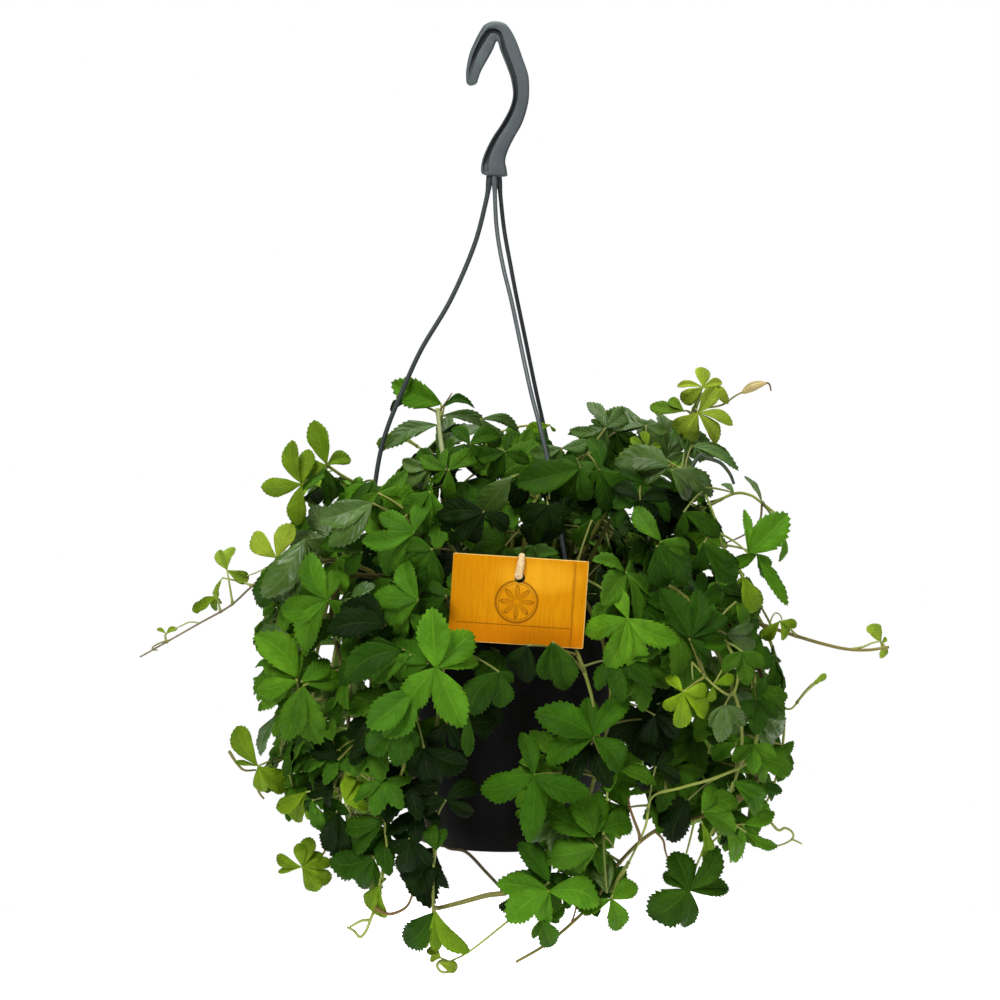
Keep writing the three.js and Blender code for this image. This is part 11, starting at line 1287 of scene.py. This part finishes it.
# ------------------------------------------------------------------ hook
def make_hook():
    outer = np.array([(-19.0, -24.6), (-19.0, -18.0), (-17.0, -8.0), (-13.6, 0.0), (-10.4, 6.0), (-7.4, 10.0), (-2.0, 12.0), (4.2, 11.0), (8.0, 7.4), (12.0, 0.0), (16.1, -11.1), (19.5, -21.6), (19.9, -33.4), (18.4, -42.2), (15.4, -51.0), (11.1, -58.6), (7.2, -66.4), (5.2, -73.2), (5.9, -78.0), (6.6, -82.6)])
    inner = np.array([(-11.8, -24.0), (-9.6, -18.0), (-5.6, -10.9), (-2.5, -5.3), (-0.9, -1.4), (0.0, 0.0), (0.3, -0.1), (0.9, -1.4), (1.9, -5.0), (3.8, -10.0), (6.5, -16.8), (8.7, -23.6), (9.9, -32.8), (7.8, -41.5), (2.8, -50.8), (-2.8, -59.2), (-7.1, -67.6), (-9.4, -74.4), (-9.9, -79.0), (-9.6, -80.9)])
    per = 6
    def curve(p):
        return catmull([(x, 0, z) for x, z in p], per)
    O, I = curve(outer), curve(inner)
    n = len(O)
    # where the channel runs: beside the outer rib on the short leg, beside the
    # inner rib on the shank
    s = np.linspace(0, 1, n)
    g = np.interp(s, [0, 0.12, 0.26, 0.36, 0.46, 0.9, 1.0], [0.30, 0.30, 0.42, 0.60, 0.80, 0.82, 0.80])
    gh = np.interp(s, [0, 0.06, 0.2, 0.5, 0.9, 0.97, 1.0], [0.02, 0.13, 0.15, 0.13, 0.12, 0.10, 0.02])
    depth = np.interp(s, [0, 0.05, 0.1, 0.9, 0.97, 1.0], [0.0, 1.2, 3.2, 3.0, 1.0, 0.0])
    T = np.interp(s, [0, 0.03, 0.08, 0.85, 0.95, 1.0], [3.2, 4.4, 5.0, 5.1, 5.4, 5.45])
    b = Builder()
    V = []
    shade = []
    for i in range(n):
        c, q, d, tt = g[i], gh[i], depth[i], T[i]
        w = [0.0, 0.035, 0.09, 0.18, c - q - 0.05, c - q, c - q * 0.7, c, c + q * 0.7, c + q, c + q + 0.05, 0.91, 0.965, 1.0]
        w = np.maximum.accumulate(np.clip(w, 0, 1))
        y = [0.42, 0.74, 0.93, 1.0, 1.0, 0.965, 0, 0, 0, 0.965, 1.0, 0.94, 0.76, 0.42]
        y = np.array(y) * tt
        for m in (6, 7, 8):
            y[m] = tt - d
        ring = []
        # painted shade: the floor of the channel is darkened in the vertex colour
        channel_shade_row = [1, 1, 1, 1, 1, 1, 0.42, 0.36, 0.42, 1, 1, 1, 1, 1]
        shade.append(channel_shade_row + channel_shade_row[::-1])
        for wi, yi in zip(w, y):
            p = O[i] + (I[i] - O[i]) * wi
            ring.append((p[0], -yi, p[2]))
        for wi, yi in zip(w[::-1], y[::-1]):
            p = O[i] + (I[i] - O[i]) * wi
            ring.append((p[0], yi, p[2]))
        V.append(ring)
    V = np.array(V)
    k = V.shape[1]
    F = []
    for i in range(n - 1):
        for j in range(k):
            F.append((i * k + j, i * k + (j + 1) % k, (i + 1) * k + (j + 1) % k, (i + 1) * k + j))
    verts = V.reshape(-1, 3)
    # rounded ends
    start = V[0].mean(0) + np.array([0.3, 0, -3.1])
    end = V[-1].mean(0) + np.array([0.0, 0, -1.6])
    def cap(ring, tip, base, rev):
        pts = []
        for f in (0.35, 0.62, 0.82, 0.95):
            rad = math.sqrt(1 - f * f)
            pts.append(tip * f + ring.mean(0) * (1 - f) + (ring - ring.mean(0)) * rad)
        return pts
    allv = [verts]
    off = len(verts)
    for ring, tip, first, rev in ((V[0], start, 0, True), (V[-1], end, (n - 1) * k, False)):
        prev = first
        for p in cap(ring, tip, None, None):
            allv.append(p)
            for j in range(k):
                q = (prev + j, prev + (j + 1) % k, off + (j + 1) % k, off + j)
                F.append(tuple(reversed(q)) if rev else q)
            prev = off
            off += k
        allv.append(tip[None, :])
        for j in range(k):
            q = (prev + j, prev + (j + 1) % k, off)
            F.append(tuple(reversed(q)) if rev else q)
        off += 1
    allv = np.concatenate(allv)
    channel_painted_shade = np.ones(len(allv))
    # painted shade, stronger where the channel is deep
    channel_painted_shade[:n * k] = (1 - (1 - np.array(shade)) * np.minimum(1, depth / 1.5)[:, None]).reshape(-1)
    b.add(allv, F, np.repeat(channel_painted_shade[:, None], 3, 1))
    o = b.build("hook_moulded", [M_HOOK], replaces=("hanger_hook",))
    clean(o, 2e-6)
    sharp_by_angle(o, 50)
    return o


make_hook()


# ------------------------------------------------------------------ strands
def make_strand(name, node, colour):
    a = math.radians(CLIP_ANGLES[name])
    x, y = POT_X + CLIP_R * math.cos(a), CLIP_R * math.sin(a)
    pts = [tuple(p) for p in STRANDS[name]] + [(x, y, RIM_Z + 4), (x, y, RIM_Z - 6)]
    path = catmull(pts, 10)
    b = Builder()
    z = path[:, 2]
    r = np.full(len(path), 1.46 if name == "left" else 1.3)
    if name != "left":      # the two on the right bow a little towards the left
        path = path.copy()
        path[:, 0] -= 0.9 * np.exp(-((z + 226) / 34.0) ** 2)
    r += 0.55 * np.exp(-((z + 86) / 5.0) ** 2)            # thicker where it leaves the hook
    r += 0.25 * np.exp(-((z - RIM_Z - 8) / 6.0) ** 2)
    tube(b, path, r, 12, srgb(*colour))
    lathe(b, [(0.01, RIM_Z + 0.3), (3.3, RIM_Z + 0.3), (3.45, RIM_Z + 0.55), (3.45, RIM_Z + 1.1), (3.1, RIM_Z + 1.5), (1.7, RIM_Z + 2.6), (1.3, RIM_Z + 3.4), (0.01, RIM_Z + 3.4)], 20, srgb(*colour), x, y)
    lathe(b, [(0.01, RIM_Z - 8.2), (0.7, RIM_Z - 8.1), (1.2, RIM_Z - 7.4), (2.7, RIM_Z - 3.4), (2.8, RIM_Z - 2.9), (2.6, RIM_Z - 2.5), (0.01, RIM_Z - 2.4)], 20, srgb(*colour), x, y)
    o = b.build("strand_" + name, [M_STRAND], replaces=(node,))
    clean(o)
    sharp_by_angle(o, 45)


# one grey plastic: the front strand's lighter grey is painted light and the back strand's darker grey painted shade
make_strand("left", "hanger_strand_left", (60, 66, 68))
make_strand("front", "hanger_strand_front_right", (78, 86, 88))
make_strand("back", "hanger_strand_back_right", (54, 60, 62))


# ------------------------------------------------------------------ pot
def make_pot():
    fz = BASE_Z + 3
    wall = lambda z: BASE_R + (WALL_TOP_R - BASE_R) * (z - BASE_Z) / (RIM_Z - 6 - BASE_Z)
    prof = [(0.0, fz), (BASE_R - 11.5, fz), (BASE_R - 10.4, fz - 0.4), (BASE_R - 9.4, BASE_Z + 0.5), (BASE_R - 8.4, BASE_Z),
            (BASE_R - 1.4, BASE_Z), (BASE_R - 0.5, BASE_Z + 0.3), (BASE_R, BASE_Z + 1.0)]
    for i in range(1, 13):
        z = BASE_Z + 1.0 + (RIM_Z - 6 - BASE_Z - 1.0) * i / 12
        prof.append((wall(z), z))
    prof += [(WALL_TOP_R, RIM_Z - 3.0), (WALL_TOP_R + 0.6, RIM_Z - 2.1), (WALL_TOP_R + 1.4, RIM_Z - 2.0), (RIM_R - 2.2, RIM_Z - 2.0), (RIM_R - 1.6, RIM_Z - 2.6), (RIM_R - 1.6, RIM_Z - 6.6),
             (RIM_R - 1.2, RIM_Z - 7.0), (RIM_R - 0.4, RIM_Z - 7.0), (RIM_R, RIM_Z - 6.5), (RIM_R, RIM_Z - 1.2), (RIM_R - 0.35, RIM_Z - 0.4), (RIM_R - 1.2, RIM_Z),
             (WALL_TOP_R - 0.6, RIM_Z), (WALL_TOP_R - 1.4, RIM_Z - 0.4), (WALL_TOP_R - 1.6, RIM_Z - 1.4)]
    for i in range(0, 10):
        z = RIM_Z - 8 + (BASE_Z + 8 - RIM_Z + 8) * i / 9
        prof.append((wall(z) - 1.7, z))
    prof += [(BASE_R - 3.2, fz + 3.4), (BASE_R - 4.6, fz + 2.0), (0.0, fz + 2.0)]
    b = Builder()
    lathe(b, prof, 120, (1, 1, 1), POT_X, 0)
    o = b.build("pot_moulded", [M_POT], replaces=("pot_shell",))
    clean(o, 1e-5)
    # clip holes in the flange and drain holes in the floor
    bm = bmesh.new()
    def drill(x, y, z0, z1, r, seg):
        bmesh.ops.create_cone(bm, cap_ends=True, segments=seg, radius1=r * MM, radius2=r * MM, depth=(z1 - z0) * MM,
                              matrix=Matrix.Translation((x * MM, y * MM, (z0 + z1) / 2 * MM)))
    for a in CLIP_ANGLES.values():
        a = math.radians(a)
        drill(POT_X + CLIP_R * math.cos(a), CLIP_R * math.sin(a), RIM_Z - 4, RIM_Z + 2, 2.2, 20)
    for i in range(6):
        a = math.radians(30 + 60 * i)
        drill(POT_X + 36 * math.cos(a), 36 * math.sin(a), fz - 2, fz + 4, 3.6, 20)
    drill(POT_X, 0, fz - 2, fz + 4, 3.6, 20)
    me = bpy.data.meshes.new("pot_drill")
    bm.to_mesh(me)
    bm.free()
    cutter = bpy.data.objects.new("pot_drill", me)
    bpy.context.scene.collection.objects.link(cutter)
    mod = o.modifiers.new("holes", "BOOLEAN")
    mod.operation = "DIFFERENCE"
    mod.solver = "EXACT"
    mod.object = cutter
    dg = bpy.context.evaluated_depsgraph_get()
    new = bpy.data.meshes.new_from_object(o.evaluated_get(dg))
    o.modifiers.remove(mod)
    o.data = new
    bpy.data.objects.remove(cutter)
    for p in new.polygons:
        p.use_smooth = True
    sharp_by_angle(o, 40)


make_pot()


# ------------------------------------------------------------------ soil
def make_soil():
    b = Builder()
    rng = random.Random(5)
    wall = lambda z: BASE_R - 2.0 + (WALL_TOP_R - BASE_R) * (z - BASE_Z) / (RIM_Z - 6 - BASE_Z) - 1.0
    R, S = 34, 110
    rmax = wall(SOIL_Z) - 0.2
    V, C = [], []
    brown = np.array(srgb(66, 46, 30))
    for i in range(R + 1):
        for j in range(S):
            a = 2 * math.pi * j / S
            r = rmax * i / R
            x, y = r * math.cos(a), r * math.sin(a)
            base = SOIL_Z + 3.5 - 3.5 * (r / rmax) ** 1.5
            h = noise.fractal(Vector((x * 0.06, y * 0.06, 3.1)), 1.0, 2.0, 4) * 2.0 + noise.noise(Vector((x * 0.45, y * 0.45, 9.0))) * 0.9
            fade = min(1.0, (rmax - r) / 8.0)
            V.append((POT_X + x, y, base + h * fade - 0.6))
            C.append(brown * (1 + 0.3 * noise.noise(Vector((x * 0.12, y * 0.12, 1.0)))))
    F = [(i * S + j, (i + 1) * S + j, (i + 1) * S + (j + 1) % S, i * S + (j + 1) % S) for i in range(R) for j in range(S)]
    top = (R) * S
    zs = [SOIL_Z - 6, -400, -440, BASE_Z + 12, BASE_Z + 5.6]
    off = len(V)
    for q, z in enumerate(zs):
        for j in range(S):
            a = 2 * math.pi * j / S
            r = wall(z) if q < 4 else wall(z) - 5
            V.append((POT_X + r * math.cos(a), r * math.sin(a), z))
            C.append(brown)
    ring = top
    for q in range(len(zs)):
        nxt = off + q * S
        F += [(ring + j, nxt + j, nxt + (j + 1) % S, ring + (j + 1) % S) for j in range(S)]
        ring = nxt
    V.append((POT_X, 0, BASE_Z + 5.6)); C.append(brown)
    F += [(ring + j, len(V) - 1, ring + (j + 1) % S) for j in range(S)]
    b.add(np.array(V), F, np.array(C))
    # crumbs of bark and peat on the surface
    for q in range(520):
        a, r = rng.uniform(0, 2 * math.pi), rmax * math.sqrt(rng.uniform(0, 0.95))
        x, y = r * math.cos(a), r * math.sin(a)
        z = SOIL_Z + 3.5 - 3.5 * (r / rmax) ** 1.5 - 0.1
        size = rng.uniform(0.6, 2.0)
        bark = rng.random() < 0.25
        sc = (rng.uniform(1.0, 2.2), rng.uniform(0.6, 1.1), rng.uniform(0.35, 0.8)) if bark else (1, rng.uniform(0.7, 1.1), rng.uniform(0.6, 1.0))
        th = rng.uniform(0, math.pi)
        pts = []
        for (u, v2, w) in ((1, 0, 0), (-1, 0, 0), (0, 1, 0), (0, -1, 0), (0, 0, 1), (0, 0, -1), (.6, .6, .6), (-.6, .6, .6), (.6, -.6, .6), (-.6, -.6, .6)):
            k = size * rng.uniform(0.8, 1.15)
            u, v2, w = u * sc[0] * k, v2 * sc[1] * k, w * sc[2] * k
            pts.append((POT_X + x + u * math.cos(th) - v2 * math.sin(th), y + u * math.sin(th) + v2 * math.cos(th), z + w))
        faces = [(4, 6, 7), (4, 8, 6), (4, 9, 8), (4, 7, 9), (0, 6, 8), (1, 9, 7), (2, 7, 6), (3, 8, 9), (0, 2, 6), (2, 1, 7), (1, 3, 9), (3, 0, 8), (5, 2, 0), (5, 1, 2), (5, 3, 1), (5, 0, 3)]
        col = np.array(srgb(96, 66, 40)) if bark else brown * rng.uniform(0.7, 1.5)
        b.add(np.array(pts), faces, col)
    o = b.build("soil_surface", [M_SOIL], replaces=("soil",))
    clean(o, 1e-6)


make_soil()


# ------------------------------------------------------------------ label
LABEL_POS = np.array([12.7, -118.0, -333.75])
TILT = math.radians(-3.8)
LU = np.array([math.cos(TILT), 0, math.sin(TILT)])
LW = np.array([-math.sin(TILT), 0, math.cos(TILT)])


def make_label():
    W, H, T = 80.0, 52.0, 1.2
    hole_w, hole_r = H / 2 - 12.3, 3.1
    bm = bmesh.new()
    # outline with slightly rounded corners, and the hole
    out = []
    rc = 0.9
    for cx, cy, a0 in ((W / 2 - rc, H / 2 - rc, 0), (-W / 2 + rc, H / 2 - rc, 90), (-W / 2 + rc, -H / 2 + rc, 180), (W / 2 - rc, -H / 2 + rc, 270)):
        for q in range(5):
            a = math.radians(a0 + 90 * q / 4)
            out.append((cx + rc * math.cos(a), cy + rc * math.sin(a)))
    hole = [(hole_r * math.cos(2 * math.pi * q / 28), hole_w + hole_r * math.sin(2 * math.pi * q / 28)) for q in range(28)]
    vo = [bm.verts.new((x, 0, z)) for x, z in out]
    vh = [bm.verts.new((x, 0, z)) for x, z in hole]
    eo = [bm.edges.new((vo[i], vo[(i + 1) % len(vo)])) for i in range(len(vo))]
    eh = [bm.edges.new((vh[i], vh[(i + 1) % len(vh)])) for i in range(len(vh))]
    bmesh.ops.triangle_fill(bm, use_beauty=True, use_dissolve=False, edges=eo + eh, normal=(0, -1, 0))
    bm.normal_update()
    faces = list(bm.faces)
    for f in faces:
        if f.normal.y > 0:
            f.normal_flip()
    for v in bm.verts:
        v.co.y = -T / 2
    ext = bmesh.ops.extrude_face_region(bm, geom=faces)
    # the extruded copy becomes the back
    newv = [g for g in ext["geom"] if isinstance(g, bmesh.types.BMVert)]
    for v in newv:
        v.co.y = -T / 2
    for v in bm.verts:
        if v not in newv:
            v.co.y = T / 2
    bmesh.ops.recalc_face_normals(bm, faces=bm.faces)
    rim = [e for e in bm.edges if len(e.link_faces) == 2 and abs(e.link_faces[0].normal.dot(e.link_faces[1].normal)) < 0.3]
    bmesh.ops.bevel(bm, geom=rim, offset=0.16, segments=2, affect="EDGES", profile=0.5)
    me = bpy.data.meshes.new("label_board_wood")
    uvl = bm.loops.layers.uv.new("UVMap")
    for f in bm.faces:
        f.material_index = 0 if abs(f.normal.y) > 0.9 else 1
        for lp in f.loops:
            s = 1 if f.normal.y < 0 else -1
            lp[uvl].uv = (lp.vert.co.x * 0.01 * s if s > 0 else lp.vert.co.x * 0.01 + 3.0, lp.vert.co.z * 0.01 + (0 if s > 0 else 2.0))
    for v in bm.verts:
        p = LABEL_POS + LU * v.co.x + LW * v.co.z + np.array([0, v.co.y, 0])
        # the board has dried with the slightest bow
        p = p + np.array([0, 0.22 * (v.co.x / 40.0) ** 2, 0])
        v.co = Vector(p * MM)
    bm.to_mesh(me)
    bm.free()
    me.materials.append(M_WOOD)
    me.materials.append(M_EDGE)
    o = bpy.data.objects.new("label_board_wood", me)
    bpy.context.scene.collection.objects.link(o)
    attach(o, "root")
    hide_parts("label_board")


make_label()


def make_cord():
    hx, hz = LABEL_POS[0] + LW[0] * 13.7, LABEL_POS[2] + LW[2] * 13.7
    top, y = hz + 12.3, LABEL_POS[1]
    f = y - 0.6 - 2.4
    loop = [(-0.2, f, hz + 4.5), (0.8, f, top - 2.5), (1.2, f + 1.1, top + 0.5), (1.3, y + 0.1, top + 1.15), (1.2, y + 3.6, top + 0.2), (1.0, y + 8.4, top - 2.4), (0.7, y + 10.6, top - 6), (0.2, y + 10.2, hz + 5),
            (-0.3, y + 7.8, hz + 1.9), (-0.6, y + 4, hz + 1.1), (-0.7, y - 0.4, hz + 1.1), (-0.6, f + 0.7, hz + 2.0)]
    pts = [(hx + q, a, b) for q, a, b in loop]
    ext = pts[-2:] + pts + pts[:3]
    dense = catmull(ext, 14)[14 * 2:14 * (2 + len(pts))]
    arc = np.concatenate([[0], np.cumsum(np.linalg.norm(np.diff(dense, axis=0), axis=1))])
    n = len(dense)
    b = Builder()
    total = arc[-1] + np.linalg.norm(dense[0] - dense[-1])
    turns = 8
    t = unit(np.roll(dense, -1, 0) - np.roll(dense, 1, 0))
    side = np.array([1.0, 0, 0])
    up = np.cross(t, side)
    # pressed flat where it is pulled over the board's top edge, full where it
    # comes out of the hole
    flat = np.exp(-((dense[:, 2] - top - 1.0) / 3.2) ** 2 - ((dense[:, 1] - y) / 4.0) ** 2)
    full = np.clip((top - dense[:, 2]) / 10.0, 0, 1)
    wide, deep = 0.98 + 0.30 * full, 0.95 - 0.62 * flat
    for ply in range(3):
        ph = 2 * math.pi * (arc / total * turns + ply / 3)
        p = dense + (wide * np.cos(ph))[:, None] * side[None, :] + (deep * np.sin(ph))[:, None] * up
        tube(b, p, 1.16 - 0.42 * flat + 0.08 * full, 10, (1, 1, 1), closed=True)
    o = b.build("label_cord_twisted", [M_CORD], replaces=("label_cord",))
    return o


make_cord()

# ------------------------------------------------------------------ stage
WORLD_LOW, WORLD_HIGH = 0.04, 0.32
def make_floor():
    """A round pale studio floor that brightens evenly towards its edge."""
    me = bpy.data.meshes.new("floor")
    z, r, k = -0.72, 0.9, 96
    me.from_pydata([(r * math.cos(2 * math.pi * i / k), r * math.sin(2 * math.pi * i / k), z) for i in range(k)], [], [tuple(range(k))])
    o = bpy.data.objects.new("floor", me)
    bpy.context.scene.collection.objects.link(o)
    n = Nodes("floor_pale")
    pos = n.position()
    ln = n.new("ShaderNodeVectorMath", operation="LENGTH")
    fl = n.new("ShaderNodeVectorMath", operation="MULTIPLY")
    n.link(pos, fl.inputs[0])
    fl.inputs[1].default_value = (1, 1, 0)
    n.link(fl.outputs[0], ln.inputs[0])
    n.link(n.ramp(ln.outputs["Value"], 0.05, 0.44, 0.25, 1.0), n.bsdf.inputs["Emission Strength"])
    n.out(n.mix(n.ramp(n.noise(pos, 3.0, 2.0), 0.3, 0.7), (0.80, 0.80, 0.80), (0.83, 0.83, 0.83)), 0.9, None, Specular_IOR_Level=0.1, Emission_Color=(1, 1, 1, 1))
    me.materials.append(n.mat)


make_floor()

world = bpy.data.worlds.new("studio")
bpy.context.scene.world = world
world.use_nodes = True
wt = world.node_tree
for nd in list(wt.nodes):
    wt.nodes.remove(nd)
wo = wt.nodes.new("ShaderNodeOutputWorld")
lp = wt.nodes.new("ShaderNodeLightPath")
mixs = wt.nodes.new("ShaderNodeMixShader")
bg1 = wt.nodes.new("ShaderNodeBackground")
bg2 = wt.nodes.new("ShaderNodeBackground")
bg2.inputs[0].default_value = (1, 1, 1, 1)
bg2.inputs[1].default_value = 1.0
tc = wt.nodes.new("ShaderNodeTexCoord")
sep = wt.nodes.new("ShaderNodeSeparateXYZ")
wt.links.new(tc.outputs["Generated"], sep.inputs[0])
rampn = wt.nodes.new("ShaderNodeMapRange")
rampn.interpolation_type = "SMOOTHSTEP"
for i, q in zip((1, 2, 3, 4), (-0.5, 0.9, WORLD_LOW, WORLD_HIGH)):
    rampn.inputs[i].default_value = q
wt.links.new(sep.outputs[2], rampn.inputs[0])
bg1.inputs[0].default_value = (1.0, 0.99, 0.96, 1)
wt.links.new(rampn.outputs[0], bg1.inputs[1])
wt.links.new(lp.outputs["Is Camera Ray"], mixs.inputs[0])
wt.links.new(bg1.outputs[0], mixs.inputs[1])
wt.links.new(bg2.outputs[0], mixs.inputs[2])
wt.links.new(mixs.outputs[0], wo.inputs[0])


def area(name, loc, target, size, power, colour=(1, 1, 1)):
    li = bpy.data.lights.new(name, "AREA")
    li.shape = "SQUARE"
    li.size = size
    li.energy = power
    li.color = colour
    o = bpy.data.objects.new(name, li)
    o.location = loc
    o.rotation_euler = (Vector(target) - Vector(loc)).to_track_quat("-Z", "Y").to_euler()
    bpy.context.scene.collection.objects.link(o)


area("key", (-0.7, -1.6, 1.1), (0, 0, -0.38), 0.7, 36)
area("fill", (1.4, -1.7, 0.1), (0, 0, -0.38), 1.2, 8)
area("top", (0.1, 0.1, 0.95), (0, 0, -0.3), 1.0, 13)
area("rear", (0.4, 1.9, 0.6), (0, 0, -0.35), 1.4, 6)

cam = bpy.data.cameras.new("camera")
cam.sensor_fit = "HORIZONTAL"
cam.sensor_width = 36.0
cam.lens = 115.2
cam.clip_start = 0.05
cam.clip_end = 60
cam_o = bpy.data.objects.new("camera", cam)
cam_o.location = (0.0019, -1.992389, -0.110089)
cam_o.rotation_euler = (math.radians(85.0), 0, 0)
bpy.context.scene.collection.objects.link(cam_o)
bpy.context.scene.camera = cam_o

vs = bpy.context.scene.view_settings
vs.view_transform = "Standard"
vs.look = "None"
vs.exposure = 0.0
vs.gamma = 1.0

bpy.context.view_layer.update()
